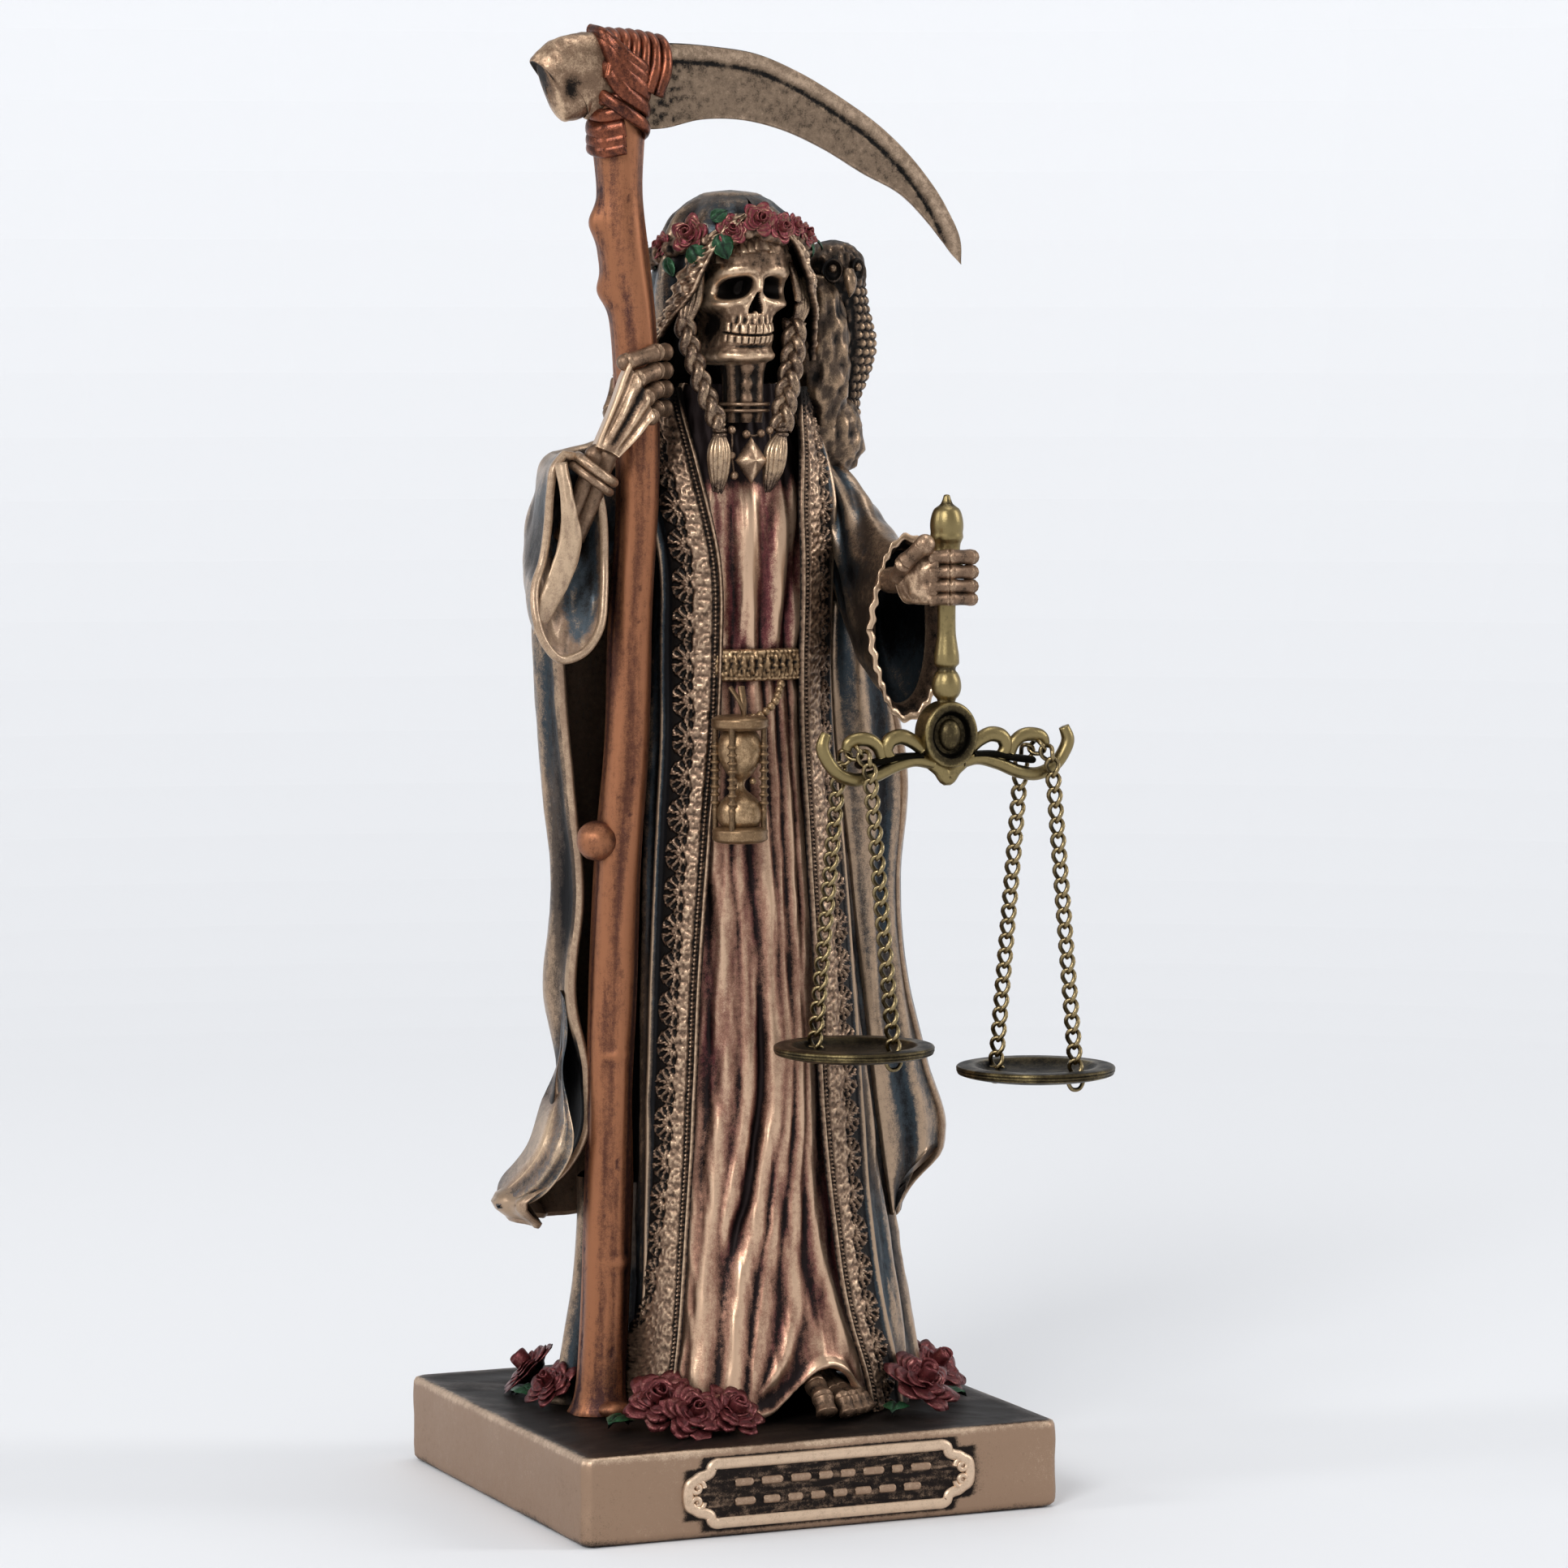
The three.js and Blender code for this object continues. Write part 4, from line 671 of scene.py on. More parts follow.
def dress():
    """Dress between the lapels: crests as bells across x at each height, valleys left between them."""
    share = np.linspace(0, 1, 262)[:, None]
    turn = np.linspace(-1.02, 0.92, 104)[None, :]
    foot = coat_point(turn, 0 * turn + 3)[..., 0]
    low = rows_at(HEM_ROWS, foot)[..., 0]
    z = low + share * (NECK_TOP - low)
    base = coat_point(turn + 0 * z, z, -1.3)
    x = base[..., 0]
    lift = np.zeros_like(x)
    for crest, tall, wide in DRESS_FOLDS:
        middle = rows_at(crest, z)[..., 0] + 0.25 * noise(xyz(0, 0, z), 9, 3)
        keep = smooth(crest[0][0] - 1, crest[0][0] + 8, z + 1e-3)
        width = 1.75 * wide * (1 - 0.25 * smooth(60, 100, z))
        lift = np.maximum(lift, 1.1 * tall * keep * bump(x, middle, width))
    lift -= 0.9 * bump(x, rows_at(DEEP_FOLD, z)[..., 0], 0.8) * smooth(22, 30, z) * smooth(68, 52, z)
    bodice = smooth(106, 114, z)
    lift *= 1 - 0.75 * bodice
    lift += 0.6 * bodice * np.cos((x + 1) * (1.5 - 0.03 * (z - 110))) * smooth(136, 124, z)
    lift += 0.28 * noise(base * [1.1, 1, 0.16], 1.3, 5) + 0.12 * noise(base * [2.4, 1, 0.3], 1.1, 6)
    lift = lift - 0.7
    # The skirt spreads on the plinth at the left, its hem is rolled, and the belt draws it in
    above = z - low
    lift += (1.9 * np.exp(-above / 4.5) * smooth(3, -8, x) + 0.7 * bump(above, 0.7, 0.8)
             - 0.8 * smooth(0.5, 0, above))
    lift += 2.0 * bump(x, 7.5, 5) * np.exp(-above / 6)
    lift -= 0.7 * bump(z, 107.5, 3.2)
    grid = base + lift[..., None] * outward(turn)
    hollow = smooth(0.3, -0.5, lift) * 0.5
    streak = 0.5 + 0.5 * noise(grid * [1, 1, 0.12], 2.2, 8)
    red = (-0.25 + 0.7 * hollow + 0.6 * streak + 0.25 * bump(z, 52, 14) * bump(x, -8, 3)
           + 0.3 * bump(z, 20, 12) * bump(x, 8, 3))
    red += 0.3 * bodice * (1 - bump(x, -0.5, 2.5)) * smooth(128, 114, z)
    # Painted shade where the dress runs under the hood and up inside it; the bodice is a little lighter
    bodice_tone_and_hood_shade = 0.06 - 0.9 * smooth(131.5, 135.5, z) + 0.16 * bodice - 0.8 * smooth(141, 146, z)
    Shape().add(grid, core=(0, 0), paint=red, depth=0.34, reach=3, shade=0.45,
                tone=bodice_tone_and_hood_shade).finish("dress", wine)


def lapel(side, name):
    """Lace band: from the inner edge a hem, beaded cord and net, then fans of looped thread."""
    long = np.linspace(0.2, 147, 800)[:, None]
    wide = np.linspace(0, 1, 43)[None, :]
    edges = rows_at(LAPEL_ROWS, long[:, 0])
    inner, outer = (edges[:, 0:1], edges[:, 2:3]) if side < 0 else (edges[:, 1:2], edges[:, 3:4])
    x = inner + (outer - inner) * wide
    z = long + 0 * wide
    turn = coat_turn(x, z)
    flat = coat_point(turn, z, 0.3)
    # Millimetres along the band's middle and across it
    run = lengths(flat[:, flat.shape[1] // 2])[:, None]
    across = widths(flat)
    out = across[:, -1:] - across
    # Fan: loops on spokes a gap apart, from a heart that lies root inside the edge
    pitch, root, radius, gap, spokes_each_side, heart = 5.5, 3.1, 3.1, 0.49, 3, 1.15
    along = (run + 1.2 + pitch / 2) % pitch - pitch / 2
    up = root - out
    away, bearing = np.hypot(along, up), np.arctan2(along, up)
    spoke = np.clip(np.round(bearing / gap), -spokes_each_side, spokes_each_side) * gap
    far = away * np.cos(bearing - spoke)
    off = np.abs(away * np.sin(bearing - spoke))
    reach = radius * (1 - 0.17 * (np.abs(spoke) / 1.5) ** 1.2)
    on_loop = np.clip((far - heart) / (reach - heart), 0, 1)
    room = 0.58 * on_loop ** 0.7 * np.sqrt(np.clip(1 - on_loop ** 5, 0, 1))
    past = np.maximum(far - reach, 0)
    hole = smooth(0.05, -0.1, off - room) * (far > heart) * (past == 0)
    thread = np.exp(-(np.where(past > 0, np.hypot(off, past), off - room) / 0.15) ** 2) * (far > 0.6)
    fan = (up > -0.9) & (far > 0.5)
    web = smooth(reach + 0.22, reach + 0.02, far) * smooth(1.75, 1.6, np.abs(bearing))
    grain = 0.5 + 0.5 * noise(xyz(run, across, 0), 0.34, 11)
    net = smooth(1.5, 1.7, across) * smooth(root - 0.2, root + 0.1, out + 0.35 * np.cos(TAU * run / pitch))
    beads = bump(across, 1.15, 0.24) * (0.6 + 0.4 * np.cos(TAU * run / 0.62))
    beads += 0.7 * bump(across, 1.75, 0.16) * (0.6 + 0.4 * np.cos(TAU * run / 0.5))
    hem = 0.9 * bump(across, 0.35, 0.3)
    height = np.maximum.reduce([0.62 * net * (0.55 + 0.45 * grain),
                                0.72 * thread * np.maximum(web, thread * web),
                                0.75 * beads, 0.85 * hem, 0.40 * web * (1 - hole) * fan])
    height = height * (1 - 0.9 * hole * web)
    height *= smooth(-0.1, 0.25, across) * smooth(0, 0.12, out)
    grid = coat_point(turn, z, 0.25) + height[..., None] * outward(turn)
    # The top, inside the hood, is darkened: painted shade
    wear = 0.10 + 1.25 * height + 0.3 * (grain - 0.5) - smooth(142, 147, z)
    Shape().add(grid, core=(0, 0), wear=wear, shade=0.3).finish(name, lace)


def coat_side(side, name):
    """Coat between lapel and cape: long folds of uneven width round the body."""
    share = np.linspace(0, 1, 76)[None, :]
    z = np.linspace(0, NECK_TOP, 150)[:, None]
    edges = rows_at(LAPEL_ROWS, z[:, 0])
    edge = edges[:, 2:3] if side < 0 else edges[:, 3:4]
    start = coat_turn(edge - side * 0.5, z)
    turn = start + share * (side * 2.05 - start)
    flat = coat_point(turn, z)
    wander = 0.35 * noise(xyz(turn * 2, 0, z / 28), 1, 21)
    lift = 0.75 * np.abs(np.cos(8.2 * turn + 2.2 * wander)) ** 1.3 + 0.35 * np.cos(21 * turn + 4 * wander)
    lift += 0.3 * noise(flat * [1, 1, 0.12], 1.6, 22) + 0.12 * noise(flat * [1, 1, 0.3], 0.6, 23)
    beside = widths(flat)
    lift = (lift - 0.5) * smooth(2.2, 4.5, beside) * (0.5 + 0.5 * smooth(150, 120, z)) + 0.1
    lift += 0.35 * bump(beside, 2.5, 0.35) - 0.35 * smooth(2.2, 1.6, beside)
    # A rubbed ridge beside the lapel; painted shade right under the lapel's edge and inside the hood
    ridge_rub_and_shade = 0.25 * bump(beside, 2.5, 0.4) - 0.3 * smooth(2.3, 1.9, beside) - smooth(140, 146, z)
    grid = flat + lift[..., None] * outward(turn)
    paint = 0.3 + 0.6 * noise(grid * [1, 1, 0.3], 6, 24)
    Shape().add(grid, core=(0, 0), paint=paint, depth=0.22, reach=3, shade=0.25,
                tone=ridge_rub_and_shade).finish(name, slate)


def cape_folds(turn, z, flat):
    """Height of the cape's hanging folds: broad pipes, narrower ones between, and small creases."""
    wander = 0.5 * noise(xyz(turn, 0, z / 40), 1, 31)
    fall = 1.15 - z / 210
    lift = fall * np.cos(8.8 * turn + 1.1 * wander) + 0.55 * fall * np.cos(17 * turn + 3 * wander + 1)
    lift += 0.35 * noise(flat * [1, 1, 0.1], 2.4, 32) + 0.14 * noise(flat * [1, 1, 0.25], 0.8, 33)
    return lift * (1 - (turn / 1.95) ** 4)


CAPE_EDGE = 1.78
CAPE_THICKNESS = 1.4


def hem_height(turn):
    """Height of the cape's hem: lowest at the back, swept up to the flick at the left."""
    return 26.6 + 1.6 * smooth(0.9, 1.7, -turn) + 0.6 * np.cos(5 * turn)


def cape():
    """Cape: outer face with rolled front edges and hem, and its plain inner face under it."""
    share = np.linspace(0, 1, 108)[:, None]
    turn = np.linspace(-CAPE_EDGE, CAPE_EDGE, 142)[None, :]
    low = hem_height(turn)
    z = low + share * (147.5 - low)
    turn = turn + 0 * z
    flat = ellipse_point(MANTLE_ROWS, turn, z)
    lift = cape_folds(turn, z, flat)
    side = CAPE_EDGE - np.abs(turn)
    lift += 0.35 * bump(side, 0.03, 0.03) + 0.35 * bump(z - low, 0.6, 0.7)
    way = outward(turn, 1)
    outer = flat + lift[..., None] * way
    paint = 0.32 + 0.6 * noise(flat * [1, 1, 0.4], 7, 34) + 0.15 * smooth(60, 20, z)
    Shape().add(outer, core=(0, 0), paint=paint, depth=0.3, reach=3, shade=0.35).finish("cape", slate)
    under = Shape()
    inner = outer - CAPE_THICKNESS * way
    few = inner[::3, ::3]
    streaks = 0.62 + 0.2 * noise(few * [1, 1, 0.2], 2.5, 35)
    under.add(few, core=(0, 0), inside=True, paint=0.1, wear=streaks, shade=0.15)
    # Rim between the two faces along both front edges and the hem, bowed out in seven steps
    rim, inner_rim = [np.concatenate([face[::-1, 0], face[0], face[:, -1]]) for face in (outer, inner)]
    bow = np.sin(np.linspace(0, math.pi, 7))[:, None, None]
    ring = rim + (inner_rim - rim) * np.linspace(0, 1, 7)[:, None, None]
    push = np.zeros_like(ring)
    count = len(outer)
    push[:, :count, 1] = -0.8
    push[:, -count:, 1] = -0.8
    push[:, count:-count, 2] = -0.7
    under.add(ring + bow * push, wear=0.78 + 0 * ring[..., 0], shade=0.3)
    under.finish("cape_lining", lining)


def skirt():
    """Back and sides of the robe below the cape's hem, down to the plinth."""
    z = np.linspace(0, 33, 44)[:, None]
    turn = np.linspace(-2.3, 2.3, 190)[None, :] + 0 * z
    flat = ellipse_point(SKIRT_ROWS, turn, z)
    lift = (0.9 * np.cos(10.5 * turn + 0.8) + 0.4 * np.cos(23 * turn)
            + 0.3 * noise(flat * [1, 1, 0.2], 1.8, 41))
    lift = lift * (1.25 - z / 60) - 0.5 + 0.5 * bump(z, 0.8, 0.8)
    grid = flat + lift[..., None] * outward(turn, 1)
    paint = 0.3 + 0.5 * noise(flat, 6, 42)
    Shape().add(grid, core=(0, 0), paint=paint, depth=0.3, reach=3).finish("robe_skirt", slate)


def belt():
    """Sash: granular gold band with two cords along its edges."""
    share = np.linspace(0, 1, 26)[:, None]
    x = np.linspace(-6.6, 6.6, 170)[None, :]
    z = BELT_LOW + share * (BELT_HIGH - BELT_LOW) + 0 * x
    turn = coat_turn(x, z)
    across = (share - 0.5) * 2
    lattice = np.abs(np.sin(x * 2.6 + 3 * share)) * np.abs(np.sin(x * 2.6 - 3 * share))
    lift = 0.9 * np.sqrt(np.clip(1 - across ** 4, 0, 1)) - 0.6
    lift = lift + 0.30 * lattice * smooth(0.75, 0.6, np.abs(across)) + 0.15 * noise(xyz(x, z, 0), 0.35, 51)
    lift = lift + 0.30 * bump(np.abs(across), 0.85, 0.1) * (0.7 + 0.3 * np.cos(x * 9))
    grid = coat_point(turn, z) + lift[..., None] * outward(turn)
    Shape().add(grid, core=(0, 0), depth=0.14, reach=2, shade=0.3).finish("belt", gold)


dress()
lapel(-1, "lapel_left")
lapel(1, "lapel_right")
coat_side(-1, "coat_left")
coat_side(1, "coat_right")
cape()
skirt()
belt()


SHAFT_RADIUS = 3.25
SCYTHE_TOP = 197.4
KNOB_HEIGHT, KNOB_RADIUS = 82.9, 2.85
# Height, centre x and y, share of the radius
SHAFT_ROWS = [
    [0, -21.2, -3.6, 1.1], [14, -20.7, -3.9, 1.02], [28, -20.4, -4.4, 1.04], [57, -20.2, -5.8, 1.02],
    [83, -19.4, -7, 1.06], [96, -18.5, -7.6, 0.98], [112, -18.2, -8.2, 0.96], [132, -17.3, -9, 0.94],
    [146, -17.4, -9, 0.96], [156, -17.9, -9, 1.0], [166, -19.4, -9, 1.12], [175, -20, -9, 1.0],
    [183, -20.4, -9, 1.15], [197.4, -20, -9, 1.2]]


def shaft_at(z):
    """Centre of the crooked shaft at a height."""
    return np.append(rows_at(SHAFT_ROWS, z)[:2], z)


def scythe_shaft():
    """Crooked branch: flattened sides, long grain, dents and small pits, with two cut twigs and a knob."""
    z = np.linspace(0, 192, 380)[:, None]
    turn = turns(44)
    x, y, share = np.moveaxis(rows_at(SHAFT_ROWS, z), -1, 0)
    place = xyz(np.cos(turn), np.sin(turn), z / 6)
    radius = SHAFT_RADIUS * share * (0.985 + 0.045 * np.cos(5 * turn + 0.8 * np.sin(z / 23)))
    radius = (radius + 0.24 * noise(place * [1, 1, 0.35], 0.9, 61)
              + 0.16 * noise(place * [2.4, 2.4, 0.25], 0.8, 62))
    radius = radius + 0.07 * noise(place * [7, 7, 0.5], 1, 63)
    radius = radius - 0.2 * smooth(0.72, 0.9, noise(place * [5, 5, 7], 1, 64))
    radius = radius + 1.1 * np.exp(-z / 1.6)
    for height, side, size in ((160.5, 2.9, 1.6), (170.2, 3.0, 1.9), (141, 2.2, 0.5), (52, 4.6, 0.5),
                               (22, 5.2, 0.6)):
        turned = np.angle(np.exp(1j * (turn - side)))
        radius = radius + size * 0.75 * np.exp(-((z - height) / (size * 1.3)) ** 2 - (turned / 0.6) ** 2)
    grid = xyz(x + radius * np.cos(turn), y + radius * np.sin(turn), z)
    paint = 0.3 + 0.6 * noise(grid * [1, 1, 0.2], 4, 65) + 0.35 * smooth(150, 185, z)
    shape = Shape().add(grid, wrap=True, caps=True, paint=paint, depth=0.2, reach=3, shade=0.35, tone=-0.1)
    beside = shaft_at(KNOB_HEIGHT)
    knob = ball(beside + [-4.0, -1.2, 0], KNOB_RADIUS, 40, 30)
    knob += 0.08 * noise(knob, 0.8, 66)[..., None] * (knob - knob.mean((0, 1))) / KNOB_RADIUS
    shape.add(knob, wrap=True, paint=0.3, depth=0.3, shade=0.3)
    neck = sweep(curve([beside + [-1.5, -0.5, 0], beside + [-3.4, -1, 0]], 6), 1.9, 1.9, 20)
    shape.add(neck, wrap=True, wear=0.15)
    shape.bead(shaft_at(0) + [0.2, -4.9, 1.1], (2.4, 1.9, 1.3), 28, 16, depth=0.3, shade=0.3)
    shape.finish("scythe_shaft", copper, "scythe")


def scythe_top():
    """Bone-shaped butt on the left and the lashing: cloth strands over the top, straps round the shaft."""
    top = shaft_at(SCYTHE_TOP)
    stations = [
        [-10.9, -9.6, 0.4, 0.3], [-10.6, -9.5, 3.0, 1.6], [-9.8, -9.1, 4.7, 2.5], [-8.2, -7.6, 5.8, 3.3],
        [-5.4, -6.6, 5.8, 3.4], [-2.5, -7, 6.2, 3.2], [1, -7.5, 5.6, 3.0]]
    path = curve([[top[0] + x, top[1], top[2] + z, tall, wide] for x, z, tall, wide in stations], 90)
    grid = sweep(path[:, :3], path[:, 4], path[:, 3], 72)
    centre = path[:, None, :3]
    grid = centre + (grid - centre) * (1 + 0.05 * noise(grid, 2.6, 71)
                                       + 0.02 * noise(grid, 0.8, 72))[..., None]
    dent = np.exp(-(((grid - (top + [-8.3, -3.4, -8.6])) / [1.3, 2.0, 2.0]) ** 2).sum(-1))
    grid[..., 1] += 0.9 * dent
    butt = Shape().add(grid, wrap=True, caps=True, depth=0.3, reach=3, shade=0.35, tone=-0.14)
    butt.finish("scythe_butt", bone, "scythe")
    straps = Shape()
    for k in range(6):
        # Strands from behind over the top of the joint and down its front
        x = top[0] - 1.7 + 1.5 * k
        high = top[2] + 0.1 - 0.12 * k ** 1.2
        path = curve([
            [x - 0.4, top[1] + 3.2, high - 5.5], [x - 0.2, top[1] + 2.6, high - 1.6],
            [x, top[1], high - 0.75], [x + 0.1, top[1] - 2.5, high - 1.9],
            [x - 0.7 + 0.12 * k, top[1] - 3.5, high - 4.6],
            [x - 1.4, top[1] - 3.7, high - 7.4 - 0.3 * k]], 40)
        thick = 0.85 * (1 + 0.12 * np.sin(np.linspace(0, 12, 40) + k))
        straps.bar(path, thick * 0.95, thick, 12, depth=0.25,
                   paint=0.15 + 0.1 * k, samples=8)
    for k, (low, high, wide) in enumerate(((183.2, 195.6, 1.5), (181.6, 192.4, 1.3), (185.4, 196.6, 1.2),
                                           (180.4, 188.4, 1.1), (187.6, 196.9, 1.0))):
        # Straps that wind from the upper left round the front to the right and back down to the left
        start = shaft_at(high)
        middle = shaft_at((low + high) / 2)
        end = shaft_at(low)
        path = curve([start + [-3.9, 1.2, 0.2], start + [-3.3, -2.6, -0.6], middle + [-0.6, -4.6, 1.2],
                      middle + [3.1, -3.3, -1.0], middle + [3.6, -0.6, -1.9], middle + [2.6, 2.6, -2.6],
                      end + [-1.2, 3.6, 0.6], end + [-3.8, 0.8, 0.2], end + [-3.0, -2.6, -0.4],
                      end + [-0.4, -4.2, 0.1]], 110)
        straps.bar(path, 0.62, wide * 0.85, 14, depth=0.25, paint=0.1 + 0.12 * k,
                   samples=12)
    straps.finish("scythe_lashing", cord_red, "scythe")


# Blade: outer edge and cutting edge from the shaft to the tip, x and height
BLADE_BACK = [
    [-17.5, 195.2], [-12.1, 195.4], [-5.4, 195.0], [0.5, 194.2], [6.8, 191.9], [13.2, 188.5], [20.1, 184.0],
    [26.1, 178.4], [30.5, 172.6], [32.9, 167.4], [33.0, 164.6]]
BLADE_EDGE = [
    [-17.5, 183.2], [-13.7, 183.4], [-7.9, 184.7], [-1.6, 184.8], [4.7, 183.5], [11.1, 180.9],
    [17.5, 177.4], [23.5, 174.4], [27.8, 170.4], [31.0, 166.6], [33.0, 164.5]]
BLADE_THICK = 2.3
BLADE_Y = -9.2


def blade():
    """Blade: a section with a square back, a rim and a groove along it, thinning to the cutting edge."""
    count = 170
    outer, inner = section_curve(BLADE_BACK, count), section_curve(BLADE_EDGE, count)
    share = np.linspace(0, 1, 40)
    width = np.linalg.norm(outer - inner, axis=1)[:, None]
    mm = share[None, :] * width
    thick = BLADE_THICK / 2 * (1 - 0.75 * share[None, :] ** 1.6) * np.minimum(1, width / 5) + 0.12
    groove = 0.30 * bump(mm, 2.6, 0.4) * smooth(0, 12, np.arange(count)[:, None]) * smooth(1.2, 4, width)
    rim = 0.12 * bump(mm, 1.5, 0.6)
    flat = outer[:, None] * (1 - share[None, :, None]) + inner[:, None] * share[None, :, None]
    x, z = flat[..., 0], flat[..., 1]
    place = xyz(x, z, 0)
    rough = 0.09 * noise(place, 0.7, 81) + 0.05 * noise(place, 0.3, 82)
    pits = 0.14 * bump(x, -13, 3.2) * smooth(-0.2, 0.6, noise(place, 0.6, 83))
    half = np.maximum(thick - groove + rim + rough * 0.5 - pits, 0.08)
    half = half * np.sqrt(np.clip(1 - (1 - mm / 0.35).clip(0, 1) ** 2, 0.02, 1))
    grid = two_faces(xyz(x, BLADE_Y - half, z), xyz(x, BLADE_Y + half, z))
    base = 0.55 + 0.28 * bump(mm, 1.2, 0.9) - 0.5 * groove / 0.34 - 0.3 * pits / 0.14 + 0.10 * rough / 0.09
    base = base + 0.2 * smooth(0.93, 1.0, share[None, :]) - 0.5 * smooth(0.25, 0.0, mm)
    shape = Shape().add(grid, wrap=True, caps=True, wear=two_faces(base, base), shade=0.15)
    shape.finish("scythe_blade", blade_bronze, "scythe")


scythe_shaft()
scythe_top()
blade()


# Scales and plinth: heights from here to the plaque count from the plinth's underside
HANDLE_X, HANDLE_Y, HANDLE_TOP, HANDLE_LENGTH = 20.6, -31.0, 144.7, 29.2
BOSS_Z = HANDLE_TOP - HANDLE_LENGTH - 4.62
HANG_SPAN, ARM_DROP = 28.4, 5.0
# Radius and distance down from the handle's top
HANDLE_PROFILE = [
    [0, 0], [0.45, 0.1], [0.62, 0.5], [1.0, 1.3], [2.1, 2.1], [2.62, 3.3], [2.75, 4.6], [2.66, 5.4],
    [2.72, 6.0], [2.3, 6.9], [2.2, 7.6], [2.45, 8.6], [2.65, 9.6], [2.6, 10.2], [1.6, 11.0], [1.5, 12.0],
    [1.5, 15.5], [1.5, 18.2], [1.55, 19.6], [1.85, 21.4], [2.1, 23.0], [2.05, 23.9], [1.55, 24.4],
    [1.5, 24.7], [1.9, 25.2], [2.4, 26.4], [2.45, 27.3], [2.1, 28.3], [1.55, 28.9], [1.55, 30.0]]


def balance_beam():
    """Turned handle, oval ring with a cabochon, and two arms of smooth bars, scrolls and hooks."""
    beam = Shape(0)
    handle = lathe(np.array(HANDLE_PROFILE) * [0.86, -1], (HANDLE_X, HANDLE_Y, HANDLE_TOP), 36, 150)
    beam.add(handle, wrap=True, caps=True, depth=0.12, reach=4, shade=0.25)
    boss = np.array([HANDLE_X, HANDLE_Y, BOSS_Z])
    # Oval ring and its flat groove: a profile of radius and depth turned about the line of sight
    section = section_rows([
        [0, 2.0], [3.6, 2.0], [4.15, 1.4], [4.2, 0], [4.15, -1.4], [3.95, -1.95], [3.5, -2.1], [3.0, -2.0],
        [2.75, -1.7], [2.5, -1.2], [2.1, -1.1], [0, -1.1]], 60)
    turn = turns(54)
    r, d = section[:, :1].clip(0), section[:, 1:2]
    ring = boss + xyz(r * np.cos(turn), d, r * 1.14 * np.sin(turn))
    beam.add(ring, wrap=True, depth=0.3, reach=3, shade=0.25, tone=0.05)
    stone = ball((0, 0, 0), (1.75, 1.75, 1.5), 30, 18)
    beam.add(boss + stone[..., [0, 2, 1]] * [1, -0.95, 1.3] + [0, -1.0, 0], wrap=True, wear=0.7, shade=0)
    keel = sweep(curve([boss + [-2.6, -0.2, -3.6], boss + [-1.0, -0.3, -4.9], boss + [0, -0.3, -6.1],
                        boss + [1.0, -0.3, -4.9], boss + [2.6, -0.2, -3.6]], 30), 1.2, 1.0, 14, (0, 1, 0))
    beam.add(keel, wrap=True, caps=True, depth=0.2, samples=8, shade=0.25)
    reach = HANG_SPAN / 2
    for side in (-1, 1):
        # Bars and curls: share of the arm's length, height, half width and half height
        arm = [
            [0.16, -4.0, 0.9, 1.5], [0.34, -3.5, 0.95, 1.2], [0.55, -4.2, 0.95, 1.05],
            [0.8, -5.6, 0.95, 1.2], [1.0, -6.0, 0.95, 1.15], [1.16, -5.2, 0.95, 1.1],
            [1.29, -3.2, 0.95, 1.05], [1.345, -1.2, 0.95, 0.95], [1.30, 0.6, 0.8, 0.6]]
        curls = (
            [[0.26, -2.0, 1.0, 1.0], [0.36, -0.9, 1.05, 1.05], [0.5, -0.15, 1.1, 1.1],
             [0.62, -0.7, 1.1, 1.1],
             [0.655, -2.0, 1.0, 1.05], [0.60, -3.3, 0.95, 0.9], [0.50, -3.6, 0.8, 0.75],
             [0.46, -2.8, 0.6, 0.55]],
            [[0.70, -3.0, 0.85, 0.8], [0.74, -1.6, 0.95, 0.9], [0.83, -0.55, 1.0, 0.95],
             [0.95, -0.35, 1.0, 0.95],
             [1.06, -0.9, 0.95, 0.85], [1.09, -1.9, 0.8, 0.65]])
        for rows, count, thin, sides, samples in ((arm, 80, 1, 14, 16), (curls[0], 44, 0.9, 12, 10),
                                                  (curls[1], 44, 0.9, 12, 10)):
            path = curve([[boss[0] + side * share * reach, boss[1], boss[2] + z, wide, tall * thin]
                          for share, z, wide, tall in rows], count)
            beam.bar(path[:, :3], path[:, 3], path[:, 4], sides, (0, 1, 0), depth=0.2,
                     samples=samples, shade=0.25)
        web = curve([[boss[0] + side * share * reach, boss[1] + 0.2, boss[2] + z] for share, z in
                     ((0.28, -3.0), (0.5, -3.0), (0.75, -3.6), (0.95, -4.0))], 20)
        beam.bar(web, 0.55, 1.5, 10, (0, 1, 0), wear=0.05, shade=0)
    beam.finish("scales_beam", brass, "balance_beam")


CHAIN_TURN = math.radians(27)
CHAIN_ACROSS = np.array([math.sin(CHAIN_TURN), -math.cos(CHAIN_TURN), 0])
CHAIN_FACING = np.cross([0, 0, 1], CHAIN_ACROSS)
WIRE = 0.31
LINK_HALF = 1.305
LINK_WIDTH = 2.6
LINK_PITCH = 2 * LINK_HALF - 1.5 * WIRE
OVER_ARM = LINK_PITCH / (2 * math.sin(math.pi / 8))
# Distance of each hole from the pan's middle, and the radius of the dark round it
PAN_HOLE, HOLE_RADIUS = 7.1, 1.45


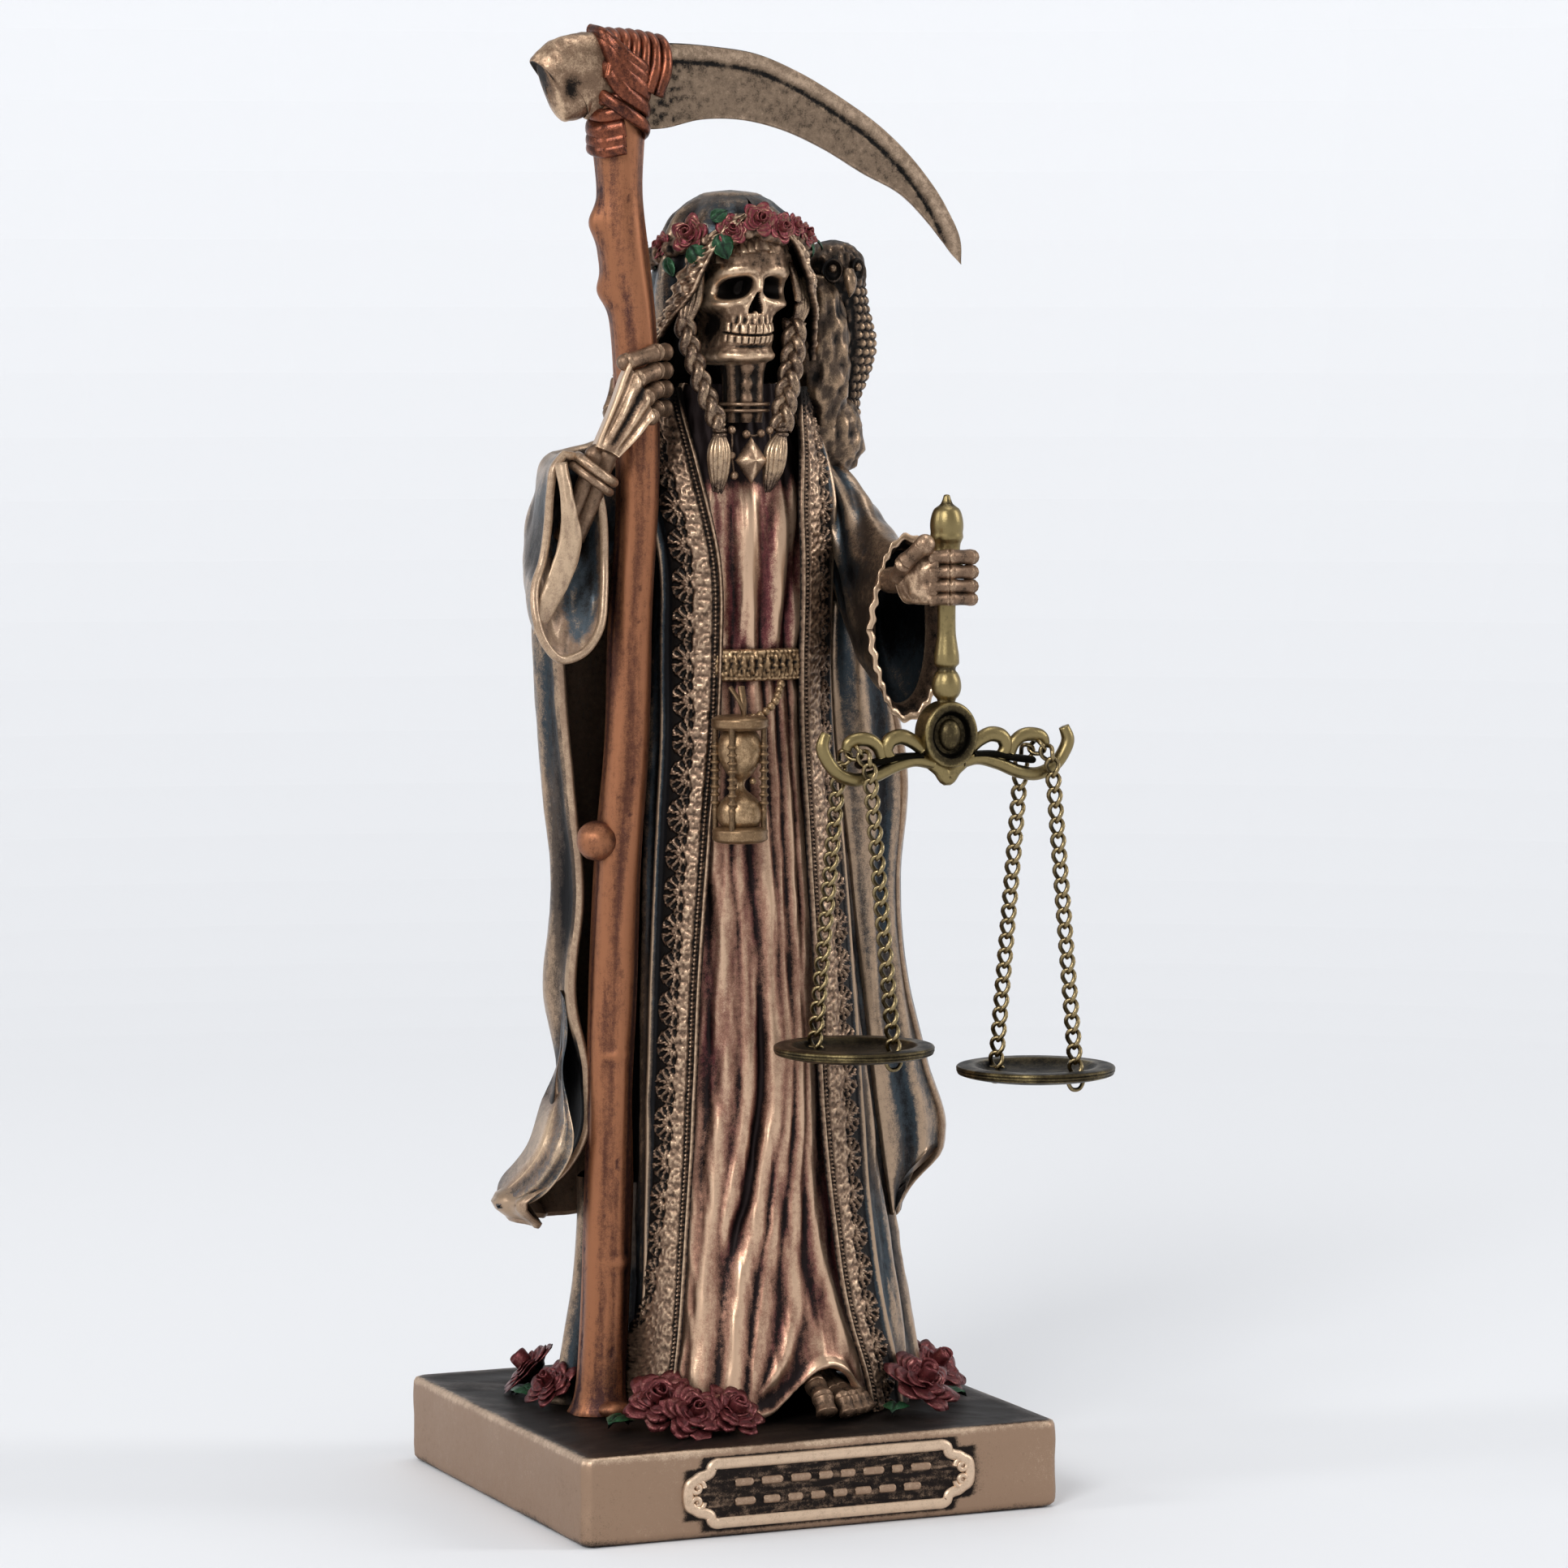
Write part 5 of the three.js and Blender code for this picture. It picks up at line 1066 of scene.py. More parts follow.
def link(centre, along, broad):
    """Curb link: an oval of wire that turns a quarter from one end to the other."""
    turn = turns(18)[0]
    twist = math.pi / 4 * np.cos(turn)
    other = np.cross(along, broad)
    out = np.cos(twist)[:, None] * broad + np.sin(twist)[:, None] * other
    oval = (np.outer(LINK_HALF * np.cos(turn), along)
            + out * ((LINK_WIDTH / 2 - WIRE) * np.sin(turn))[:, None])
    way = unit(np.roll(oval, -1, 0) - np.roll(oval, 1, 0))
    away = unit(oval - way * (oval * way).sum(1)[:, None])
    over = np.cross(way, away)
    ring = turns(8)[0]
    tube = (oval[:, None] + WIRE * 1.06 * (np.cos(ring)[None, :, None] * away[:, None]
                                           + np.sin(ring)[None, :, None] * over[:, None]))
    return centre + np.concatenate([tube, tube[:1]])


def pan_and_chain(side, links, name):
    """Chain laid over the arm with two strands, and the dish that they carry through its holes."""
    hang = np.array([HANDLE_X + side * HANG_SPAN / 2, HANDLE_Y, BOSS_Z - ARM_DROP])
    drop = math.sqrt((links * LINK_PITCH) ** 2 - (PAN_HOLE - OVER_ARM) ** 2)
    chain = Shape(0)
    for strand in (-1, 1):
        top = hang + CHAIN_ACROSS * strand * OVER_ARM
        foot = hang + CHAIN_ACROSS * strand * PAN_HOLE - [0, 0, drop]
        along = (foot - top) / np.linalg.norm(foot - top)
        broad = unit(np.cross(along, CHAIN_FACING))
        for k in range(links + 1):
            chain.add(link(top + along * k * LINK_PITCH, along, broad), wrap=True, depth=0.12,
                      reach=1, shade=0)
        loop = (
            (0, -0.9), (1.0, -1.0), (1.15, -1.9), (0.5, -2.9), (-0.5, -2.9), (-1.15, -1.9), (-1.0, -1.0),
            (0, -0.9))
        ring = curve([foot + [x, 0, z] for x, z in loop], 40)
        chain.add(sweep(ring[:-1], WIRE, WIRE, 10, (0, 1, 0), closed=True), wrap=True, depth=0.12,
                  reach=1, shade=0)
    for k in range(1, 4):
        turn = math.pi * k / 4
        centre = hang - CHAIN_ACROSS * OVER_ARM * math.cos(turn) + [0, 0, OVER_ARM * math.sin(turn)]
        along = CHAIN_ACROSS * math.sin(turn) + np.array([0, 0, math.cos(turn)])
        broad = np.cross(along, CHAIN_FACING)
        chain.add(link(centre, along, broad / np.linalg.norm(broad)), wrap=True, depth=0.12,
                  reach=1, shade=0)
    chain.finish("chain_" + name, chain_brass, "pan_chain_" + name)
    centre = hang - [0, 0, drop]
    section = section_rows([
        [0, -1.35], [5, -1.25], [7.2, -0.85], [8.35, -0.28], [8.75, -0.06], [9.2, 0.0], [10.6, 0.0],
        [11.15, -0.06], [11.34, -0.26], [11.36, -0.42], [11.26, -0.52], [11.34, -0.62], [11.30, -0.86],
        [11.18, -0.94], [11.2, -1.04], [11.0, -1.25], [9.6, -1.62], [7.5, -1.95], [5, -2.12],
        [0, -2.2]], 78)
    turn = turns(96)
    r, z = section[:, :1].clip(0), section[:, 1:2]
    dish = xyz(r * np.cos(turn), r * np.sin(turn), z)
    wear = (0.42 + 0.25 * noise(dish, 2, 91) + 0.35 * bump(r, 9.0, 0.5) * (z > -0.5)
            + 0.3 * smooth(10.9, 11.2, r))
    for groove in (0.52, 0.96):
        wear = wear - 0.35 * smooth(0.12, 0.02, np.abs(z + groove)) * (r > 11)
    # The two holes, filled by the chain's rings, are painted as dark spots: painted shade in place of the
    # openings
    for strand in (-1, 1):
        far = np.linalg.norm(dish[..., :2] - CHAIN_ACROSS[:2] * strand * PAN_HOLE, axis=-1)
        wear = np.where(far < HOLE_RADIUS, -0.6, wear)
    pan = Shape(0).add(dish + centre, wrap=True, wear=wear, shade=0.1)
    pan.finish("dish_" + name, brass, "pan_" + name)


balance_beam()
pan_and_chain(-1, 18, "left")
pan_and_chain(1, 20, "right")


PLINTH_MIDDLE_Y = -0.45
PLAQUE_WIDTH, PLAQUE_HEIGHT, PLAQUE_X, PLAQUE_Z = 44.5, 9.6, 0.7, 6.3
PLINTH_FRONT = PLINTH_MIDDLE_Y - PLINTH_DEPTH / 2


def plinth():
    """Block with rounded corners: rings of its outline drawn in over a profile, its top roughened."""
    corner = 1.6
    outline = []
    for k, (sx, sy) in enumerate(((1, 1), (-1, 1), (-1, -1), (1, -1))):
        turn = np.linspace(k * math.pi / 2, (k + 1) * math.pi / 2, 9)
        outline.append(np.column_stack([sx * (PLINTH_WIDTH / 2 - corner) + corner * np.cos(turn),
                                        sy * (PLINTH_DEPTH / 2 - corner) + corner * np.sin(turn)]))
        far = outline[-1][-1]
        ahead = [(-1, 1), (-1, -1), (1, -1), (1, 1)][k]
        goal = np.array([ahead[0] * (PLINTH_WIDTH / 2 - corner) + corner * math.cos((k + 1) * math.pi / 2),
                         ahead[1] * (PLINTH_DEPTH / 2 - corner) + corner * math.sin((k + 1) * math.pi / 2)])
        outline.append(far + (goal - far) * np.linspace(0, 1, 56)[1:-1, None])
    outline = np.concatenate(outline)
    section = [
        [6, 0], [1.6, 0], [0.9, 0.12], [0.3, 0.45], [0.05, 0.95], [0, 1.6], [0, 6], [0, 11.6], [0.06, 12.1],
        [0.3, 12.45], [0.75, 12.58]]
    section = section_curve(section, 34)
    section = np.concatenate([section, [[inset, PLINTH_HEIGHT] for inset in np.linspace(0.8, 34.0, 26)]])
    inset, z = section[:, :1], section[:, 1:2]
    half = np.array([PLINTH_WIDTH / 2, PLINTH_DEPTH / 2])
    x = outline[:, 0] * (1 - inset / half[0])
    y = outline[:, 1] * (1 - inset / half[1]) + PLINTH_MIDDLE_Y
    grid = xyz(x, y, z)
    on_top = smooth(0.8, 3, inset) * (z > 12)
    rough = (noise(grid, 5, 101) * 0.16 + noise(grid, 1.4, 102) * 0.08
             + noise(grid * [0.35, 1, 1], 1.1, 103) * 0.06)
    grid[..., 2] += rough * on_top - 0.1 * on_top
    side = 1 - smooth(0, 1.2, inset)
    bow = 0.10 * noise(grid, 9, 104) + 0.035 * noise(grid, 1.2, 105)
    way = xyz(np.sign(x) * (np.abs(outline[:, 0]) > PLINTH_WIDTH / 2 - 1),
              np.sign(y) * (np.abs(outline[:, 1]) > PLINTH_DEPTH / 2 - 1), 0)
    grid = grid + (bow - 0.12)[..., None] * way * (side * smooth(0.2, 1.5, z))[..., None]
    # Recess round the plate, dark as the wash left it
    u, v = (grid[..., 0] - PLAQUE_X) / (PLAQUE_WIDTH / 2), (grid[..., 2] - PLAQUE_Z) / (PLAQUE_HEIGHT / 2)
    front = grid[..., 1] < PLINTH_FRONT + 1.5
    near = np.maximum((np.abs(u) - 1) * PLAQUE_WIDTH / 2, (np.abs(v) - 1) * PLAQUE_HEIGHT / 2)
    notch = np.minimum((np.abs(u) - 1) * PLAQUE_WIDTH / 2 + 3.2, (np.abs(v) - 1) * PLAQUE_HEIGHT / 2 + 1.5)
    near = np.maximum(near, notch)
    paint = smooth(0.35, 1.3, inset) * (z > 12) + 0 * x
    edge = 0.45 * bump(z, 12.2, 0.4) * (inset < 0.9) + 0 * x
    wear = (0.62 + 0.3 * noise(grid, 7, 106) * 0.5 + edge - 0.35 * smooth(1.4, 0.1, z)
            - 0.7 * front * smooth(0.75, 0.1, near))
    wear = (wear - 0.42 * on_top + 0.35 * on_top * noise(grid * [0.5, 1, 1], 1.6, 107)
            + 0.3 * on_top * smooth(3, 1, inset))
    wear = wear - 0.5 * on_top * smooth(0, -0.1, rough)
    shape = Shape(0).add(grid, wrap=True, caps=True, wear=wear, paint=paint * 1.4, shade=0.45)
    shape.finish("plinth_block", plinth_bronze, "plinth")


def plaque_edge(inset, count=380):
    """Outline of the plate: straight top and bottom, notched corners and bowed ends."""
    w, h = PLAQUE_WIDTH / 2 - inset, PLAQUE_HEIGHT / 2 - inset
    notch = 1.5
    points = []
    for sx, sz, order in ((1, 1, 1), (1, -1, -1), (-1, -1, 1), (-1, 1, -1)):
        corner = [
            [w - 5.2, h], [w - 4.2, h], [w - 3.6, h - 0.3], [w - 3.3, h - notch * 0.75],
            [w - 2.6, h - notch], [w - 1.7, h - notch * 1.15], [w - 1.0, h - notch * 1.45],
            [w - 0.3, h * 0.38], [w, h * 0.12]]
        points += [[sx * a, sz * b] for a, b in corner[::order]]
    points.append(points[0])
    return section_curve(points, count + 1)[:-1]


def plaque():
    """Plate: raised frame with scrolls at its ends, a dark ground, and two rows of plain strokes."""
    line = plaque_edge(0.65)
    path = np.column_stack([line[:, 0] + PLAQUE_X, np.full(len(line), PLINTH_FRONT + 0.05),
                            line[:, 1] + PLAQUE_Z])
    frame_shape = Shape(0)
    frame_shape.add(sweep(path, 0.85, 0.62, 10, (0, 1, 0), closed=True), wrap=True, depth=0.14,
                    reach=2, shade=0)
    for side in (-1, 1):
        for up in (-1, 1):
            centre = np.array([PLAQUE_X + side * (PLAQUE_WIDTH / 2 - 1.9), PLINTH_FRONT + 0.05,
                               PLAQUE_Z + up * 1.05])
            turn = np.linspace(0, 2.6 * math.pi, 46)
            r = np.linspace(1.15, 0.25, 46)
            spiral = centre + np.column_stack([-side * r * np.cos(turn), 0 * turn, up * r * np.sin(turn)])
            frame_shape.bar(spiral, 0.42, 0.55, 10, (0, 1, 0), depth=0.12, shade=0)
            frame_shape.bead(centre + [side * -0.1, -0.05, 0], (0.42, 0.5, 0.42), 14, 9, wear=0.8, shade=0)
    # Plain upright strokes of even height: neither letters nor numbers
    rng = np.random.default_rng(7)
    for z in (1.35, -1.35):
        x = -14.6
        while x < 14.2:
            wide = rng.uniform(1.7, 3.4)
            path = curve([
                [PLAQUE_X + x, PLINTH_FRONT - 0.02, PLAQUE_Z + z],
                [PLAQUE_X + x + wide, PLINTH_FRONT - 0.02, PLAQUE_Z + z]], 16)
            tall = 0.62 * (0.55 + 0.45 * round_ended(16))
            frame_shape.bar(path, 0.38, tall, 10, wear=0.8, shade=0)
            x += wide + 1.25
    frame_shape.finish("plaque_frame", plinth_bronze, "plinth")
    inner = plaque_edge(0.9)
    share = np.linspace(0, 1, 16)[:, None, None]
    middle = np.array([PLAQUE_X, 0, PLAQUE_Z])
    ground = middle + xyz(inner[:, 0], 0, inner[:, 1])[None] * share
    ground[..., 1] = PLINTH_FRONT - 0.12 + 0.05 * noise(ground * [0.3, 1, 1], 0.4, 111)
    Shape(0).add(ground, wrap=True, wear=0.12 + 0.25 * noise(ground * [0.2, 1, 1], 0.35, 112), shade=0,
                 core=(0, 0)).finish("plaque_ground", plinth_bronze, "plinth")


plinth()
plaque()


def skull():
    """Skull: rings of height with the face pressed in, its sockets, nose, cheeks, teeth and jaw."""
    # Height, half width, half depth behind and in front
    rings = [
        [149.9, 0.4, 2.6, 5.6], [150.1, 2.6, 3.4, 6.6], [150.8, 4.5, 4.2, 8.0], [152.3, 5.0, 5.2, 8.2],
        [154.5, 5.1, 5.8, 8.1], [156.4, 5.1, 6.4, 8.0], [158.4, 6.0, 7.2, 8.0], [160.5, 6.4, 7.6, 7.8],
        [162.6, 6.6, 7.8, 8.2], [164.4, 6.9, 7.9, 8.4], [167, 6.9, 7.8, 8.2], [170, 5.9, 6.8, 6.9],
        [172, 3.4, 4.0, 4.0], [172.6, 0.2, 0.3, 0.3]]
    z = np.linspace(149.9, 172.6, 200)[:, None]
    turn = np.linspace(-1, 1, 150, endpoint=False)[None, :]
    turn = math.pi * np.sign(turn) * np.abs(turn) ** 1.5
    wide, deep, front = np.moveaxis(rows_at(rings, z), -1, 0)
    s, c = np.sin(turn), np.cos(turn)
    middle = -0.7 + 0.10 * (z - 160)
    x = wide * np.sign(s) * np.abs(s) ** 0.92
    y = -5.2 - np.where(c > 0, front, deep) * np.sign(c) * np.abs(c) ** 0.9
    face = smooth(-0.1, 0.35, c)
    lift = 0.55 * bump(z, 163.7 - 0.07 * (np.abs(x) - 2.4) ** 2, 0.75) * smooth(6.4, 5, np.abs(x))
    lift -= 0.3 * bump(x, 0, 0.8) * bump(z, 163.4, 0.9)
    lift += 0.8 * bump(x, 0, 0.75) * bump(z, 161.2, 1.5)
    lift += 0.85 * bump(np.abs(x), 4.6, 1.5) * bump(z, 158.7, 0.95)
    lift -= 1.3 * bump(np.abs(x), 5.2, 1.1) * bump(z, 155.6, 1.9)
    lift -= 0.7 * bump(np.abs(x), 6.6, 1.1) * bump(z, 164, 2.2)
    lift += 0.6 * bump(x, 0, 3.2) * bump(z, 154.8, 1.9)
    lift += 0.6 * bump(x, 0, 2.8) * bump(z, 151.3, 0.9) + 0.55 * bump(np.abs(x), 3.7,
                                                                      0.9) * bump(z, 151.2, 1)
    lift -= 0.35 * bump(x, 0, 3.4) * bump(z, 152.75, 0.3)
    arch = 154.35 + 0.03 * x ** 2
    for low, high, pitch, tall in ((arch + 0.06, arch + 1.6, 1.02, 0.2),
                                   (arch - 1.3, arch - 0.06, 0.84, 0.17)):
        inside = smooth(low - 0.05, low + 0.2, z) * smooth(high + 0.1, high - 0.35,
                                                           z) * smooth(3.9, 3.4, np.abs(x))
        tooth = np.abs(np.cos(math.pi * (x / pitch + 0.5)))
        lift += inside * (tall * np.sqrt(tooth) - 0.26 * bump(tooth, 0, 0.3))
    lift += 0.16 * np.cos(TAU * x / 1.02) * bump(z, 156.5, 0.7) * smooth(3.6, 2.6, np.abs(x))
    lift -= 0.42 * bump(z, arch, 0.15) * smooth(4.3, 3.5, np.abs(x))
    sink = np.zeros_like(lift)
    for side in (-1, 1):
        u = (x - side * 3.1) * side
        v = z - 161.1 + 0.16 * u
        far = (np.abs(u / 2.5) ** 2.5 + np.abs(v / np.where(v > 0, 1.6, 1.75)) ** 2.5) ** 0.4
        sink = np.maximum(sink, 3.6 * smooth(1.05, 0.5, far))
        lift += 0.16 * bump(far, 1.3, 0.2)
    half = 0.3 + 0.85 * smooth(160.4, 157.8, z)
    nose = np.maximum(np.abs(x) / half, np.abs(z - 158.95) / 1.55)
    nose = nose + 0.25 * bump(x, 0, 0.25) * smooth(158.3, 157.6, z)
    sink = np.maximum(sink, 2.6 * smooth(1.03, 0.7, nose))
    lift += 0.12 * bump(nose, 1.3, 0.2)
    lift = (lift - sink) * face
    grid = xyz(middle + x, y, z)
    lift = (lift + (0.12 * noise(grid, 1.3, 121) + 0.05 * noise(grid, 0.5, 122))
            * (1 - 0.8 * smooth(0.2, 1.2, sink * face)))
    way = normals(grid, True)
    way = np.where((way * (grid - [-1.2, -5.2, 160])).sum(-1, keepdims=True) < 0, -way, way)
    way = blurred(way, 4, True)
    way[..., 2] *= 0.35
    grid = grid + lift[..., None] * way
    fine = ((grid - blurred(grid, 2, True)) * way).sum(-1) / 0.07
    broad = ((grid - blurred(grid, 9, True)) * way).sum(-1) / 0.5
    wear = (0.60 + 0.30 * np.clip(fine, -1.6, 1) + 0.34 * np.clip(broad, -1.4, 1)
            - 1.2 * smooth(0.15, 1.0, sink * face))
    # The forehead behind the wreath is darkened as painted shade, and the sides of the jaw are darker
    wear = wear - 0.25 * bump(z, 168, 2.5) - 0.2 * smooth(3.4, 5.4, np.abs(x)) * bump(z, 155.5, 2.4)
    Shape().add(grid, wrap=True, wear=wear, shade=0.25).finish("skull", bone)


HOOD_THICKNESS = 1.3
# Hood: height, centre x and y, half width, half depth, half angle of the face opening
HOOD_ROWS = [
    [132, 0.5, 2, 13.0, 11.2, 1.05], [138, 0.4, 1.6, 13.4, 12.2, 1.24], [144, 0.1, 0.8, 13.0, 12.3, 1.36],
    [149, -0.2, -0.4, 12.5, 12.2, 1.40], [155, -0.4, -1.8, 12.1, 12.2, 1.24],
    [158, -0.5, -2.4, 11.9, 12.2, 1.02], [161, -0.6, -3, 11.8, 12.2, 0.84],
    [164, -0.7, -3.4, 11.3, 11.8, 0.74], [166, -0.8, -3.6, 10.8, 11.4, 0.66],
    [168.4, -0.9, -3.9, 10.0, 10.6, 0.50], [170, -0.9, -4, 9.2, 10, 0.34], [172.6, -1, -4, 7.3, 8.0, 0.08],
    [174.4, -1, -4, 5.0, 5.4, 0], [175.2, -1, -4, 2.8, 3.0, 0], [175.5, -1, -4, 0.1, 0.1, 0]]


def hood_point(share, z):
    """Point of the hood; share 0 and 1 are the two edges of its face opening."""
    cx, cy, wide, deep, half = np.moveaxis(rows_at(HOOD_ROWS, z), -1, 0)
    half = np.clip(half, 0, 2)
    turn = half + share * (TAU - 2 * half)
    return xyz(cx + wide * np.sin(turn), cy - deep * np.cos(turn), z), turn


def hood():
    """Hood: a pleated dome open at the face, with its inner face."""
    dome = 175.5 - 5.5 * np.cos(np.linspace(0.06, 1, 34) * math.pi / 2)
    z = np.concatenate([np.linspace(132, 170, 70), dome])[:, None]
    share = np.linspace(0, 1, 140)[None, :]
    flat, turn = hood_point(share + 0 * z, z)
    pleat = np.abs(np.cos(4.5 * turn + 0.5)) ** 2.4 * 0.85 + 0.4 * np.cos(13 * turn + z / 9)
    pleat += 0.35 * noise(flat * [1, 1, 0.3], 3, 131)
    lift = pleat * smooth(175, 170, z) * 0.8 - 0.45 + 0.05 * noise(flat, 0.7, 132)
    gap = smooth(0.05, 0.4, rows_at(HOOD_ROWS, z)[..., 4])
    lift = lift * (1 - gap * (1 - smooth(0, 0.05, share) * smooth(1, 0.95, share)))
    way = flat - np.array([-0.6, -2.5, 158])
    way[..., 2] *= smooth(160, 172, z)
    way = unit(way)
    outer = flat + lift[..., None] * way
    paint = 0.55 + 0.5 * noise(flat, 5, 133)
    Shape().add(outer, paint=paint, depth=0.22, reach=3, shade=0.3, tone=-0.16).finish("hood", slate)
    inner = (outer - HOOD_THICKNESS * way)[:90:3, ::3]
    # The inner face is painted near black: painted shade inside the hood
    Shape().add(inner, inside=True, wear=0.1, shade=0.5).finish("hood_lining", lace)


def ribbon(edge, out, lift_way, wide, seed):
    """Lace band along an edge: out is the way it spreads; wavy raised threads and a lobed border."""
    share = np.linspace(0, 1, 19)[None, :]
    run = lengths(edge)[:, None]
    wander = noise(np.column_stack([run, 0 * run, 0 * run]), 3.1, seed)[:, None]
    wide = np.asarray(wide, float).reshape(-1, 1)
    reach = wide * (1 + 0.12 * np.cos(TAU * run / 2.4 + 2 * wander) * share ** 2) * share - 0.3
    wave = (0.30 * np.sin(TAU * run / 5.2 + 2.2 * wander + 1.3 * share) * (0.3 + 0.7 * share)
            + 0.5 * np.sin(math.pi * share))
    first = bump(share, 0.36 + 0.16 * np.sin(TAU * run / 2.4), 0.085)
    second = bump(share, 0.56 - 0.16 * np.sin(TAU * run / 2.4 + 0.6), 0.085)
    dots = bump(share, 0.46, 0.11) * np.clip(np.cos(TAU * run / 1.2), 0, 1)
    border = bump(share, 0.93, 0.07) + bump(share, 0.06, 0.07) + 0 * run
    grain = noise(xyz(run, reach, 0), 0.42, seed + 1)
    thread = np.maximum.reduce([first, second, 0.7 * dots, 0.9 * border])
    height = 0.42 * thread + 0.10 * grain
    grid = (edge[:, None] + out[:, None] * reach[..., None]
            + lift_way[:, None] * (wave + height + 0.35)[..., None])
    back_face = grid - lift_way[:, None] * (0.7 + height)[..., None]
    tone = 0.60 + 0.42 * thread + 0.4 * grain
    # The rear face, turned to the hood, is painted near black: painted shade
    return two_faces(grid, back_face), two_faces(tone, 0 * tone + 0.1)


def hood_lace():
    """Lace band round the face opening, and its peaks under the wreath."""
    shape = Shape()
    height = np.linspace(133, 171.5, 230)
    for side in (0, 1):
        edge, turn = hood_point(np.full(230, float(side)), height)
        s = -1 if side else 1
        wide, deep = np.moveaxis(rows_at(HOOD_ROWS, height), -1, 0)[2:4]
        out = unit(np.column_stack([s * wide * np.cos(turn), s * deep * np.sin(turn), 0 * turn]))
        over = unit(np.column_stack([np.sin(turn) * deep, -np.cos(turn) * wide, 0 * turn]))
        # Low down the band turns forward, so it stays seen from the front
        forward = smooth(158, 146, height)[:, None] * 0.9
        tilt = over + np.array([0, -0.6, 0]) * forward
        out = unit(out - over * 0.35 - np.array([0, 0.35, 0]) * forward)
        tilt = unit(tilt)
        band = 4.6 - 1.9 * smooth(163, 169, height)
        grid, tone = ribbon(edge, out, tilt, band, 141 + side)
        shape.add(grid, wrap=True, caps=True, wear=tone, shade=0.2)
    # Peaks of folded lace over the brow
    peaks = [
        [-5.6, 165.8, 1.8], [-4.3, 166.8, 2.0], [-2.9, 167.2, 2.3], [-1.6, 167.3, 2.7], [-0.2, 167.6, 3.4],
        [1.2, 167.2, 2.4], [2.6, 167.1, 2.8], [4.0, 166.7, 2.2], [5.3, 166.1, 2.2]]
    for k, (x, z, tall) in enumerate(peaks):
        share = np.linspace(0, 1, 16)[:, None]
        turn = turns(18)
        y = -12.4 + 0.09 * (x + 1) ** 2
        wide = 1.1 - share ** 1.4
        ridge = 1 + 0.25 * np.cos(3 * turn + 2 * k + 3 * share)
        grid = xyz(x + wide * ridge * np.cos(turn) + 0.2 * share,
                   y - 1.1 + 0.75 * wide * ridge * np.sin(turn) + 0.9 * share, z - 1.3 + tall * share)
        shape.add(grid, wrap=True, caps=True, depth=0.2, shade=0.2, samples=8, tone=-0.12)
    # Hair that leaves the temples and runs into the braids
    locks = Shape()
    for side in (-1, 1):
        for k in range(4):
            x = -0.7 + side * (6.9 + 0.5 * k)
            lock = curve([
                [x - side * 0.5, -8.6 + 0.6 * k, 166 - 0.4 * k], [x + side * 0.4, -9.6 + 0.5 * k, 162.4],
                [x + side * (0.9 + 0.1 * k), -9.8 + 0.4 * k, 159],
                [-1.8 + side * (8.2 + 0.3 * k), -9.5, 155.6]], 24)
            share = np.linspace(0, 1, 24)
            thick = 0.2 + 0.45 * np.sin(math.pi * share) ** 0.6
            locks.bar(lock, thick, thick, 12, depth=0.2, shade=0.3, samples=8, tone=-0.3)
    locks.finish("temple_hair", braid_bronze)
    shape.finish("hood_lace", lace)


def petal(shape, centre, axes, turn, low, high, rise, tall, half, curl, seed):
    """Rose petal: a closed thin sheet from its foot to its rolled rim."""
    u = np.linspace(-1, 1, 9)[:, None]
    v = np.linspace(0, 1, 6)[None, :] ** 0.6
    wide = half * np.sqrt(np.clip(1 - 0.85 * v ** 5, 0.05, 1)) * (0.55 + 0.45 * v)
    around = turn + u * wide
    wave = 0.07 * np.sin(3 * u + seed)
    r = low + (high - low) * v ** 1.5 + curl * v ** 6 * (1 - 0.4 * u ** 2)
    h = rise + tall * (v - 0.35 * v ** 4 * (curl > 0)) * (1 - 0.28 * u ** 2 * v) + wave * v * tall

    def face(offset):
        radius = r + offset * (1 - np.abs(u) ** 4)
        return centre + xyz(radius * np.cos(around), radius * np.sin(around), h) @ axes

    thick = 0.09 * (high + tall)
    rim = two_faces(v ** 7, v ** 7)
    grown = smooth(0.15, 0.7, v)
    # Darker towards the foot; the inner face is painted darker than the outer: painted shade inside the cup
    wear = 0.12 + two_faces(0.56 * grown, 0.42 * grown) - 0.1 * rim
    shape.add(two_faces(face(thick), face(-thick)), wrap=True, caps=True, wear=wear,
              paint=rim * 1.2, shade=0)


